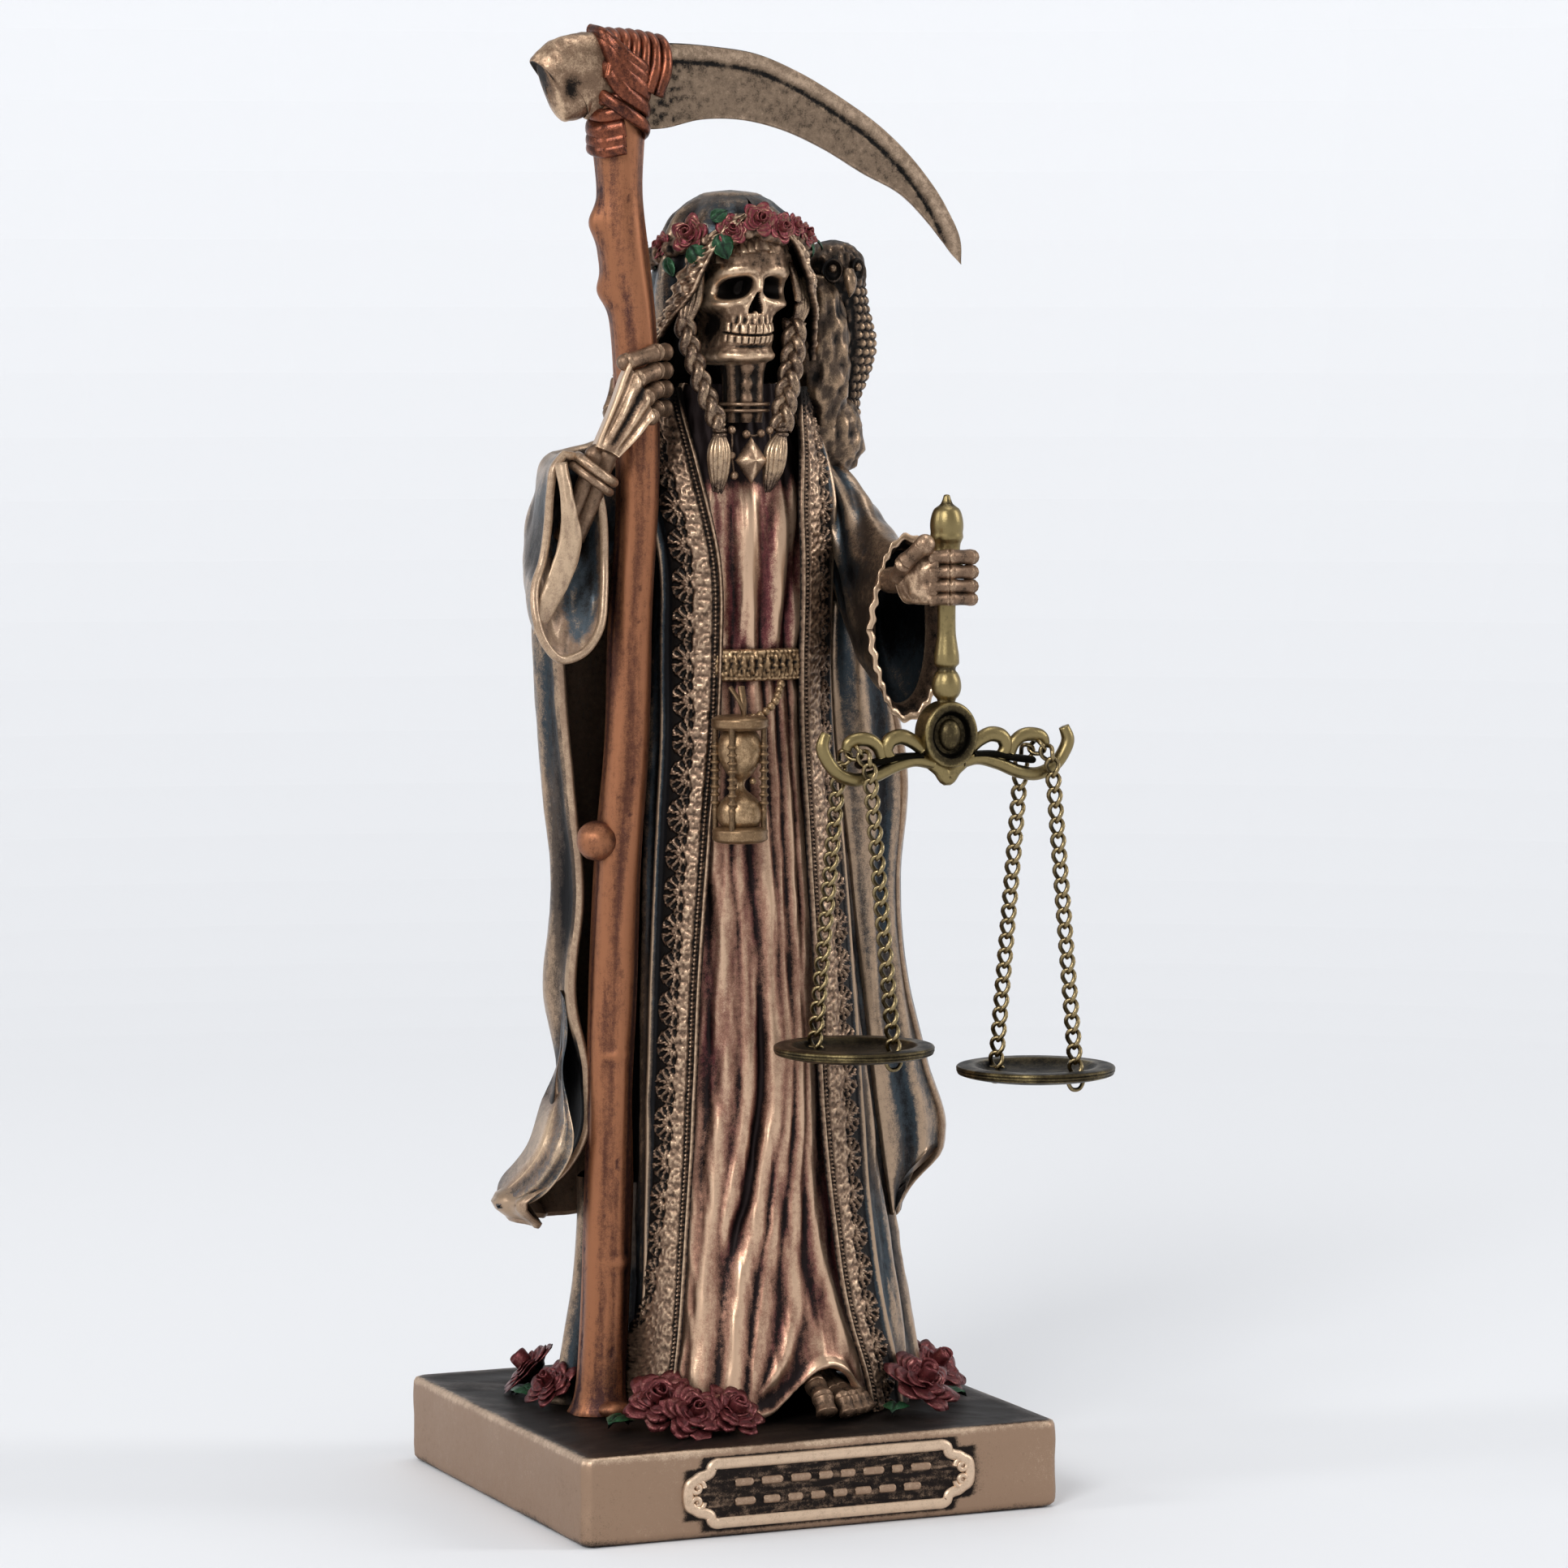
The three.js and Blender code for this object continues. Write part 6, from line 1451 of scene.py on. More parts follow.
def rose(shape, centre, size, facing, seed, layers=3):
    """Rose: a wound bud and rings of petals that open outwards, facing a given way."""
    rng = np.random.default_rng(seed)
    facing = unit(np.asarray(facing, float))
    aside = unit(np.cross(facing, [0.3, 0.2, 1.0]))
    axes = np.stack([aside, np.cross(facing, aside), facing])
    centre = np.asarray(centre, float)
    start = rng.uniform(0, TAU)
    bud = np.linspace(0, 3.2 * math.pi, 42)
    wind = 0.04 + 0.30 * bud / bud[-1]
    path = np.column_stack([wind * np.cos(bud + start), wind * np.sin(bud + start),
                            0.62 + 0.06 * np.cos(bud * 2)]) * size
    shape.bar(centre + path @ axes, 0.05 * size, 0.26 * size, 8, facing, wear=0.6,
              paint=0.45, shade=0)
    for layer in range(layers):
        count = (3, 4, 5, 6)[layer]
        low, high = ((0.16, 0.40), (0.26, 0.60), (0.34, 0.80), (0.4, 0.98))[layer]
        tall = (0.92, 0.88, 0.76, 0.5)[layer]
        curl = (0.02, 0.08, 0.16, 0.24)[layer]
        for k in range(count):
            turn = start + (k + 0.5 * layer + rng.uniform(-0.12, 0.12)) * TAU / count
            petal(shape, centre, axes, turn, low * size, high * size, -0.1 * size,
                  tall * size * rng.uniform(0.92, 1.06),
                  math.pi / count * 1.4, curl * size, seed + k)
    heart = ball((0, 0, 0), 1, 12, 8) * [0.42, 0.42, 0.3] * size
    shape.add(centre - facing * 0.05 * size + heart @ axes, wrap=True, wear=0.1, shade=0)


def leaf(shape, centre, size, along, facing):
    """Leaf: a thin closed sheet with a sunk midrib, side veins and a toothed edge."""
    along = unit(np.asarray(along, float))
    facing = np.asarray(facing, float)
    facing = unit(facing - along * (facing @ along))
    aside = np.cross(along, facing)
    v = np.linspace(0.02, 1, 19)[:, None]
    u = np.linspace(-1, 1, 11)[None, :]
    half = 0.40 * np.sin(math.pi * v ** 0.8) ** 0.8 * (1 + 0.10 * np.abs(np.sin(v * 17)))
    bow = (0.16 * (1 - u ** 2) * np.sin(math.pi * v) - 0.10 * bump(u, 0, 0.14)
           - 0.035 * np.abs(np.sin(9 * v - 2 * np.abs(u))))
    bow = bow - 0.25 * v ** 2
    grid = centre + size * (v[..., None] * along + (u * half)[..., None] * aside + bow[..., None] * facing)
    under = grid - facing * 0.10 * size * (1 - np.abs(u[..., None]) ** 4)
    wear = 0.42 + 0.3 * smooth(0.75, 1.0, np.abs(u)) - 0.2 * bump(u, 0, 0.12) + 0 * v
    # The under face is painted darker than the upper: painted shade
    shape.add(two_faces(grid, under), wrap=True, caps=True, wear=two_faces(wear, wear - 0.2), shade=0)


def wreath():
    """Rose wreath across the front of the hood, tilted up at the brow."""
    blooms, leaves = Shape(), Shape()
    spots = [
        [-12.4, -0.6, 166.2, 2.0], [-11.5, -4.6, 167.4, 2.3], [-9.2, -9.4, 168.9, 3.2],
        [-4.6, -13.2, 169.5, 2.6], [-1.1, -14.2, 171.0, 2.9], [2.4, -13.6, 169.9, 2.7],
        [5.2, -12.4, 170.3, 1.9], [7.4, -10.4, 169.0, 2.4], [9.2, -7.8, 168.2, 2.0],
        [10.0, -4.2, 167.4, 2.0], [9.6, 0.2, 167.2, 2.0]]
    for k, (x, y, z, size) in enumerate(spots):
        away = np.array([x + 0.8, y + 3.6, 0]) / 11
        rose(blooms, (x, y, z - 0.5), size * 0.86, (away[0], away[1] - 0.1, 0.34), 200 + k)
    blooms.finish("wreath_roses", rose_pink)
    greens = [
        [-7.4, -12.2, 170.6, 3.2, 0.8, 0.6], [-6.9, -13.6, 168.6, 4.4, 0.3, -1],
        [-10.3, -11.4, 167.0, 4.4, 0.6, -1], [-12.2, -7.0, 165.4, 3.4, 0.1, -1],
        [9.3, -9.4, 167.8, 2.6, 0.3, -1], [10.6, -7.0, 168.2, 2.4, 0.8, -0.5],
        [-12.6, -1.8, 165.4, 2.2, 0.2, -1], [10.8, -2.2, 166.8, 2.6, 0.3, -1],
        [3.6, -13.2, 169.4, 1.8, 0.6, -0.7]]
    for k, (x, y, z, size, dx, dz) in enumerate(greens):
        away = np.array([x + 0.8, y + 3.6, 3.0])
        leaf(leaves, (x, y, z), size * 0.85, (dx, -0.25, dz), away)
    leaves.finish("wreath_leaves", leaf_green)
    # Torn bark and petal stubs between blooms and hood, toned dark: painted shade in the gaps between the
    # blooms
    rope = curve([[x, y + 0.9, z - 1.5] for x, y, z, _ in spots], 120)
    lumps = sweep(rope, 1.5 + 0.3 * np.sin(np.arange(120) * 1.1), 1.35, 18)
    lumps += 0.35 * noise(lumps, 0.9, 151)[..., None] * np.array([0.5, 0.8, 1])
    Shape().add(lumps, wrap=True, caps=True, depth=0.2, reach=2, shade=0.4,
                tone=-0.42).finish("wreath_base", lace)


# Braids: height, x of the middle between them, distance of each from it, y
BRAID_MIDDLE = [
    [156.5, -1.8, 8.6, -9.2], [151, -1.8, 7.6, -10.6], [146, -1.9, 6.2, -12.0], [141.4, -1.9, 4.8, -13.4],
    [138.5, -2.0, 4.4, -14.2], [136, -2.2, 4.4, -14.5]]


def braids():
    """Two braids of three strands that weave from side to side, and the tufts below their ties."""
    shape = Shape()
    for side in (-1, 1):
        height = np.linspace(156.5, 141.2, 110)
        middle, apart, y = np.moveaxis(rows_at(BRAID_MIDDLE[::-1], height), -1, 0)
        path = np.column_stack([middle + side * apart, y, height])
        _, front = frames(path)
        front = np.where(front[:, 1:2] > 0, -front, front)
        across = unit(np.cross(front, np.gradient(path, axis=0)))
        phase = (156.5 - height) / 7.4 * TAU
        for k in range(3):
            p = phase + k * TAU / 3
            strand = path + across * (1.02 * np.sin(p))[:, None] + front * (0.50 * np.sin(2 * p))[:, None]
            grid = sweep(strand, 0.82, 0.74, 13, (0, -1, 0.1))
            centre = strand[:, None]
            hair = 1 + 0.07 * np.cos(np.arange(13)[None, :] * 2.4 + phase[:, None] * 1.2)
            grid = centre + (grid - centre) * hair[..., None]
            shape.add(grid, wrap=True, caps=True, depth=0.3, reach=2, shade=0.3, samples=20, tone=-0.3)
        tie = path[-1]
        for k in range(2):
            ring = sweep(np.array([tie + [0.75 * math.cos(a), 0.75 * math.sin(a), -0.2 - 0.7 * k] for a in
                                   turns(20)[0]]), 0.32, 0.34, 8, closed=True)
            shape.add(ring, wrap=True, wear=0.65, shade=0)
        rng = np.random.default_rng(160 + side)
        for k in range(11):
            a = k / 11 * TAU
            r = 0.75 if k else 0
            sway = -0.6 - 0.4 * side
            tail = curve([tie + [0.35 * math.cos(a), 0.3 * math.sin(a), -0.6],
                          tie + [r * 1.6 * math.cos(a) + 0.9 * sway, r * math.sin(a) - 0.3, -2.8],
                          tie + [r * 1.5 * math.cos(a) + 1.4 * sway, r * math.sin(a) - 0.4, -5.8],
                          tie + [r * 0.7 * math.cos(a) + 2.0 * sway, r * 0.5 * math.sin(a) - 0.2,
                                 -8.8 + rng.uniform(-0.5, 0.5)]], 24)
            share = np.linspace(0, 1, 24)
            thick = 0.52 * np.sqrt(np.sin(math.pi * np.clip(0.12 + 0.86 * share, 0, 1)))
            shape.bar(tail, thick, thick, 9, (0, -1, 0.1), depth=0.3, shade=0.15, samples=6,
                      tone=-0.14)
    shape.finish("braids", braid_bronze)


def jewels():
    """Neck with its cords, choker, strung beads and the four-pointed pendant."""
    shape = Shape()
    z = np.linspace(142, 152, 34)[:, None]
    turn = turns(44)
    radius = 2.3 + 0.75 * np.abs(np.cos(3.5 * turn)) ** 0.7 + 0.5 * bump(z, 151, 1.5)
    radius = radius + 0.15 * np.cos(TAU * z / 2.2) * smooth(0.6, 1, np.cos(turn + math.pi / 2))
    grid = xyz(-1.2 + radius * np.cos(turn), -9.2 + radius * np.sin(turn), z)
    # The neck is toned dark: painted shade under the skull, inside the hood
    shape.add(grid, wrap=True, depth=0.3, shade=0.5, tone=-0.42)
    for height, size in ((144.6, 0.34), (143.7, 0.3)):
        ring = np.array([[-1.2 + 3.5 * math.cos(a), -9.3 + 3.5 * math.sin(a), height]
                         for a in turns(48)[0]])
        shape.add(sweep(ring, size, size * 0.8, 8, closed=True), wrap=True, wear=0.7, shade=0)
    beads = [
        (-4.6, -13.0, 141.0), (-2.6, -13.6, 140.4), (-0.4, -13.7, 140.5), (1.1, -13.4, 140.9),
        (-4.9, -13.6, 137.4), (1.0, -13.7, 137.6), (-4.6, -13.9, 134.6), (0.4, -13.9, 134.4)]
    for x, y, z in beads:
        shape.bead((x, y, z), 0.6, 12, 9, wear=0.7, shade=0)
    for start, end in ((0, 4), (3, 5), (1, 2), (4, 6), (5, 7)):
        cord = curve([beads[start], np.mean([beads[start], beads[end]], axis=0) + [0, -0.2, -0.3],
                      beads[end]], 12)
        shape.bar(cord, 0.16, 0.16, 6, wear=0.4, shade=0)
    # Pendant: a star with four creased points and a raised middle
    r = np.linspace(0, 1, 16)[:, None]
    turn = turns(64)
    point = 0.3 + 0.7 / (np.abs(np.cos(turn)) ** 0.8 + np.abs(np.sin(turn)) ** 0.8) ** (1 / 0.8)
    star = xyz(-2.1 + 2.5 * r * point * np.cos(turn), -15.0 - 0.95 * (1 - r) + 0.9 * r ** 6,
               136.7 + 3.4 * r * point * np.sin(turn))
    shape.add(star, wrap=True, caps=True, wear=0.45 + 0.4 * bump(np.abs(np.cos(2 * turn)), 1, 0.25)
              + 0.2 * (1 - r), shade=0,
              core=(0, 0))
    shape.finish("jewels", bone)


skull()
hood()
hood_lace()
wreath()
braids()
jewels()


def bone_chain(shape, joints, radius, shade=0.2):
    """Finger or toe: one waisted bone from each joint to the next, with round knuckles."""
    joints = np.asarray(joints, float)
    for k in range(len(joints) - 1):
        share = np.linspace(0, 1, 15)
        ends = np.abs(2 * share - 1)
        thick = (radius * (0.88 + 0.24 * ends ** 2.2)
                 * np.sqrt(np.clip(1 - np.clip((ends - 0.76) / 0.24, 0, 1) ** 2.4, 0.02, 1)))
        spine = joints[k] + (joints[k + 1] - joints[k]) * (share[:, None] * 1.12 - 0.06)
        shape.bar(spine, thick, thick, 12, wear=0.46 + 0.36 * ends[:, None], shade=shade,
                  samples=6)


# x and z of the right sleeve's mouth, from the wrist down the outer side and up the inner side
SLEEVE_MOUTH = [
    [-29.6, 138.2], [-31.2, 136.4], [-31.9, 132.8], [-32.4, 127.4], [-33.3, 122.7], [-34.9, 119.1],
    [-35.3, 115.5], [-34.3, 111.4], [-31.6, 108.8], [-28.1, 109.5], [-25.4, 112.3], [-23.6, 118.1],
    [-23, 125.4], [-23.4, 130.5], [-24.6, 134.6], [-27.0, 137.6]]


def sleeve_rings(stations, share, turn, side):
    """Rings of a sleeve on side -1 or 1: share, x, y, z, half width, half height and swing forward."""
    x, y, z, wide, tall, swing = rows_at(stations, share).T[..., None]
    level = wide * np.cos(turn)
    return xyz(x - np.sin(swing) * level, y - side * np.cos(swing) * level, z + tall * np.sin(turn))


def pushed_out(grid, lift):
    """Grid of rings, each point moved along its normal away from the ring's middle."""
    way = normals(grid, True)
    away = grid - grid.mean(axis=1, keepdims=True)
    way = np.where((away * way).sum(-1, keepdims=True) < 0, -way, way)
    return grid + lift[..., None] * way


def right_sleeve():
    """Sleeve of the raised arm: from the shoulder to a tall mouth with a dished, streaked inner face."""
    around = 120
    outline = np.array(SLEEVE_MOUTH + SLEEVE_MOUTH[:1])
    mouth = curve(np.column_stack([outline[:, 0], np.full(len(outline), -13.0), outline[:, 1]]),
                  around + 1)[:-1]
    mouth[:, 1] += 1.5 - 3.2 * smooth(124, 110, mouth[:, 2]) + 0.16 * (mouth[:, 0] + 28)
    middle = np.array([-28.6, -12.4, 122.5])
    turn = np.arctan2((mouth[:, 2] - middle[2]) / 14, -(mouth[:, 0] - middle[0]) / 6)
    stations = [
        [0, -7, 3, 134, 5, 7, 0], [0.35, -17, 3, 131, 5.4, 8.5, 0.2], [0.62, -25.0, 1, 126.5, 5, 11, 0.75],
        [0.85, -27.6, -5, 123.4, 5.2, 12.6, 1.3], [1, -28.4, -11, 122.6, 5.8, 13.4, 1.5]]
    share = np.linspace(0, 1, 70)
    rings = sleeve_rings(stations, share, turn, -1)
    share = share[:, None]
    blend = smooth(0.55, 1, share)[..., None]
    grid = rings * (1 - blend) + (rings - rings[-1] + mouth) * blend
    folds = 0.45 * np.cos(5 * turn + 9 * share) * bump(share, 0.5, 0.3)
    folds = folds + 0.35 * noise(grid * [1, 1, 0.35], 3, 171)
    grid = pushed_out(grid, folds * smooth(1, 0.85, share))
    paint = 0.3 + 0.5 * noise(grid, 5, 172)
    Shape().add(grid, wrap=True, paint=paint, depth=0.25, reach=3,
                shade=0.5).finish("sleeve_right_arm", slate)
    # Rolled rim, then the inner face, shallow below the wrist
    rim = mouth + (middle - mouth) * 0.03
    edge = Shape().add(sweep(rim, 0.62, 0.62, 12, (0, -1, 0.01), closed=True), wrap=True,
                       wear=0.86, shade=0.1)
    t = np.linspace(0, 1, 60)[:, None]
    inner = mouth + (np.array([-27.6, -12, 126]) - mouth) * (0.04 + 0.96 * t[..., None])
    inner[..., 1] += 7.5 * (1 - (1 - t) ** 2.4) * (0.35 + 0.65 * smooth(106, 128, inner[..., 2]))
    streak = noise(inner @ np.array([[1, 0, 0.3], [0, 0.4, 0], [-0.35, 0, 0.22]]), 0.9, 173)
    inner[..., 1] += 0.35 * streak * smooth(0, 0.15, t)
    # Painted shade high up and deep inside the mouth
    dark = 0.75 * smooth(118, 131, inner[..., 2]) * smooth(0.04, 0.4, t)
    tone = 0.62 + 0.42 * streak - dark
    tint = 0.9 * smooth(-30.5, -27.5, inner[..., 0]) * smooth(0.02, 0.2, t) + 0.2 * noise(inner, 2, 174)
    edge.finish("sleeve_rim_right_arm", lining)
    Shape().add(inner, wrap=True, inside=True, wear=tone, paint=tint,
                shade=0).finish("sleeve_face_right_arm", lining)
    # A tongue of cloth that turns in beside the forearm
    spine = curve([
        [-30.6, -13.2, 136.6, 0.9, 0.7], [-30.0, -14.2, 131, 1.0, 0.8], [-29.6, -14.0, 125.4, 1.7, 0.9],
        [-31.2, -13.4, 120, 1.7, 0.8], [-33.2, -13.2, 115.8, 1.3, 0.6],
        [-34.2, -13.0, 112.6, 0.5, 0.4]], 70)
    tongue = sweep(spine[:, :3], spine[:, 3], spine[:, 4], 24, (0, -1, 0.01))
    tongue = tongue + 0.18 * noise(tongue * [1, 1, 0.3], 0.8, 175)[..., None] * np.array([0.4, -1, 0])
    Shape().add(tongue, wrap=True, caps=True, depth=0.16, reach=2, shade=0.15,
                paint=0.1).finish("sleeve_fold_right_arm", lining)


def left_sleeve():
    """Sleeve of the lowered arm: from the shoulder forward to a tall ruffled mouth, darkly lined."""
    turn = turns(96)
    stations = [
        [0, 8, 1.5, 134, 5, 6, 0.1], [0.25, 13.5, 0.5, 130.5, 5.2, 7.5, 0.25],
        [0.5, 17.8, -3.5, 124, 5, 9.5, 0.8], [0.75, 19.2, -11, 116.4, 4.8, 11.2, 1.3],
        [1, 18.8, -19.4, 112.9, 4.5, 11.4, 1.5]]
    share = np.linspace(0, 1, 76)
    grid = sleeve_rings(stations, share, turn, 1)
    share = share[:, None]
    creases = 0.75 * np.cos(4 * turn + 5 * share) ** 2 * bump(share, 0.45, 0.3)
    creases = creases + 0.4 * noise(grid * [0.6, 0.6, 1], 3, 181)
    grid = pushed_out(grid, creases * smooth(1, 0.8, share))
    tint = 0.5 - 0.6 * smooth(0.5, 0.9, share) + 0.5 * noise(grid, 4, 182)
    Shape().add(grid, wrap=True, paint=tint, depth=0.25, reach=3,
                shade=0.45).finish("sleeve_left_arm", slate)
    mouth = grid[-1]
    middle = mouth.mean(axis=0)
    t = np.linspace(0, 1, 30)[:, None, None]
    inner = mouth + (middle + [0.5, 9, 1.5] - mouth) * t ** 1.3 * 0.92
    inner[..., 1] = mouth[:, 1] + 9.5 * t[..., 0] ** 0.8
    # Mottled tone, with a painted highlight low in the mouth
    mottle_and_highlight = noise(inner * [1, 0.3, 0.3], 1.2, 183) * 0.25 + 0.5 * bump(inner[..., 2], 105.5, 4)
    dark_side = Shape().add(inner, wrap=True, inside=True, wear=0.36 + mottle_and_highlight, paint=0.6, shade=0.25)
    dark_side.finish("sleeve_lining_left_arm", slate)
    # Lace ruffle round the mouth: plain band, wavy raised line and a frilled border
    ring = np.concatenate([mouth, mouth[:1]])
    run = lengths(ring)
    even = np.linspace(0, run[-1], 280, endpoint=False)
    rim = np.column_stack([np.interp(even, run, ring[:, k]) for k in range(3)])
    away = rim - middle
    away[:, 1] = 0
    away = unit(away)
    v = np.linspace(0, 1, 19)[None, :]
    even = even[:, None]
    waves = 5 * np.round(run[-1] / 5)
    spread_out = (0.3 + 1.5 * v) * (1 + 0.14 * np.cos(waves * even / run[-1] * TAU / 2) * v ** 2)
    forward = -2.9 * v - 0.35 * np.sin(even / 2.3) * v
    relief = 0.28 * bump(v, 0.25, 0.06) + 0.32 * bump(v, 0.55 + 0.07 * np.sin(even * 2.6), 0.07)
    relief = relief + 0.3 * bump(v, 0.94, 0.06) - 0.35 * bump(v, 0.76,
                                                              0.08) * smooth(-0.3, 0.4, np.cos(even * 2.9))
    frill = rim[:, None] + away[:, None] * (spread_out + relief)[..., None]
    frill[..., 1] += forward
    back_face = rim[:, None] + away[:, None] * (spread_out - 0.75)[..., None]
    back_face[..., 1] += forward + 0.15
    sheet = two_faces(frill, back_face)
    sheet = np.concatenate([sheet, sheet[:1]])
    Shape().add(sheet, wrap=True, depth=0.16, reach=2, shade=0.2).finish("sleeve_lace_left_arm", lace)


def arms():
    """Forearm bones, wrist bracelet and the two bony fists."""
    bones = Shape()
    wrist = np.array([-23.9, -12.8, 138.2])
    for dx, dy in ((-0.9, 0.3), (1.1, -0.2)):
        path = curve([wrist + [dx * 0.8, dy, 1.0], wrist + [-1.8 + dx, 2 + dy, -6],
                      wrist + [-3.8 + dx, 4.5 + dy, -12.5]], 40)
        share = np.linspace(0, 1, 40)
        thick = (1.15 + 0.4 * bump(share, 0, 0.2) + 0.1 * share) * np.sqrt(np.clip(share / 0.1, 0.02, 1))
        bones.bar(path, thick, thick, 16, wear=0.6, shade=0.45)
    # Back of the right hand, with four ridges that run to the knuckles
    knuckles = np.array([
        [-21.2, -14.2, 150.6], [-19.8, -14.8, 148.2], [-18.5, -15.0, 145.6], [-17.6, -14.8, 143.0]])
    plate = []
    for t in np.linspace(0, 1, 50):
        start = wrist + np.array([[-1.6, 0, 0.6], [-0.7, -0.5, 0.2], [0.5, -0.8, -0.3], [1.5, -0.6, -0.9]])
        plate.append(curve(start + (knuckles - start) * t, 34))
    plate = np.array(plate)
    t = np.linspace(0, 1, 50)[:, None]
    ridge = np.abs(np.cos(np.linspace(0, 3, 34)[None, :] * math.pi)) ** 1.6
    plate[..., 1] -= (0.5 * ridge * smooth(0, 0.25, t) + 0.5 * bump(t, 0.02, 0.12)
                      + 0.4 * bump(t, 0.95, 0.07) * ridge)
    plate[..., 1] += 0.12 * bump(t, 0.5, 0.25) * (1 - ridge) - 0.9 * bump(t, 0.5, 0.45) - 0.5
    under = plate + np.array([0.5, 3.8, -0.3])
    bones.add(two_faces(plate, under), wrap=True, caps=True, depth=0.22, reach=3, shade=0.2)
    shaft_x, shaft_y, radius = -17.4, -9.0, 4.05
    for knuckle, end_z, size in zip(knuckles, (151.6, 149.0, 146.4, 143.7), (1.32, 1.34, 1.34, 1.26)):
        stops = [knuckle]
        for bearing in (-1.25, -0.45, 0.62, 1.5):
            stops.append([shaft_x + radius * math.cos(bearing), shaft_y + radius * math.sin(bearing),
                          end_z + 0.35 * math.cos(bearing) - 0.2 * bearing])
        bone_chain(bones, stops, size)
        bones.bead(knuckle + [0, 0.2, 0], (1.3, 1.1, 1.25), 18, 12, wear=0.66, shade=0.1, samples=4)
    # Thumb bent round the back of the shaft
    bone_chain(bones, [wrist + [2.6, 2.8, 2], [-19.9, -5.4, 143.6], [-18.2, -4.4, 148.0],
                       [-16.6, -4.4, 150.4]], 1.3)
    bones.add(curve_ring([-24.9, -12.0, 135.6], 3.1, (0.62, -0.25, 0.9), 0.72), wrap=True,
              wear=0.85, shade=0.15)
    bones.add(curve_ring([-25.5, -11.8, 134.3], 3.2, (0.62, -0.25, 0.9), 0.62), wrap=True,
              wear=0.72, shade=0.15)

    # Left fist round the handle of the scales
    wrist = np.array([15.2, -26.4, 119.4])
    path = curve([wrist + [1.2, -1.2, 0.8], wrist + [0.8, 3, 0.4], wrist + [2.8, 9, 0.2]], 30)
    bones.bar(path, 2.1, 1.9, 18, wear=0.5, shade=0.5)
    palm = curve([
        [15.6, -27.8, 119.8, 1.7, 3.2], [16.2, -30.2, 120.3, 1.9, 3.7], [17.0, -32.6, 120.2, 1.5, 3.5],
        [17.9, -34.0, 120.1, 0.7, 3.1]], 40)
    hand = sweep(palm[:, :3], palm[:, 3], palm[:, 4], 40)
    hand = (hand + (0.28 * noise(hand, 1.6, 191) + 0.15 * noise(hand, 0.7, 192))[..., None]
            * np.array([-0.7, -0.6, 0.2]))
    bones.add(hand, wrap=True, caps=True, depth=0.25, reach=2, shade=0.2)
    radius = 3.15
    for height, size, reach in ((123.2, 1.12, 1.0), (121.1, 1.08, 1.07), (119.1, 1.06, 1.05),
                                (117.3, 0.98, 0.86)):
        stops = [[16.9, -33.2, height + 0.15]]
        for bearing in (-1.95, -0.85, 0.15 * reach, 1.15 * reach):
            stops.append([HANDLE_X + radius * (1.25 if abs(bearing) < 1 else 1) * math.cos(bearing),
                          HANDLE_Y + radius * math.sin(bearing) * 1.15, height - 0.15 * bearing])
        bone_chain(bones, stops, size)
    bone_chain(bones, [[14.4, -28.2, 120.4], [13.9, -31.4, 122.6], [15.7, -33.6, 125.0]], 1.35)
    bones.bead([15.9, -33.9, 125.2], [1.45, 1.35, 1.5], 22, 16, wear=0.8, shade=0.1, samples=4)
    bones.finish("arm_bones", bone)


def curve_ring(centre, radius, facing, size):
    """Torus about a tilted axis."""
    facing = unit(np.asarray(facing, float))
    aside = unit(np.cross(facing, [0.1, 1, 0.2]))
    over = np.cross(facing, aside)
    turn = turns(64).T
    ring = np.asarray(centre) + radius * (np.cos(turn) * aside + np.sin(turn) * over)
    return sweep(ring, size, size, 14, facing, closed=True)


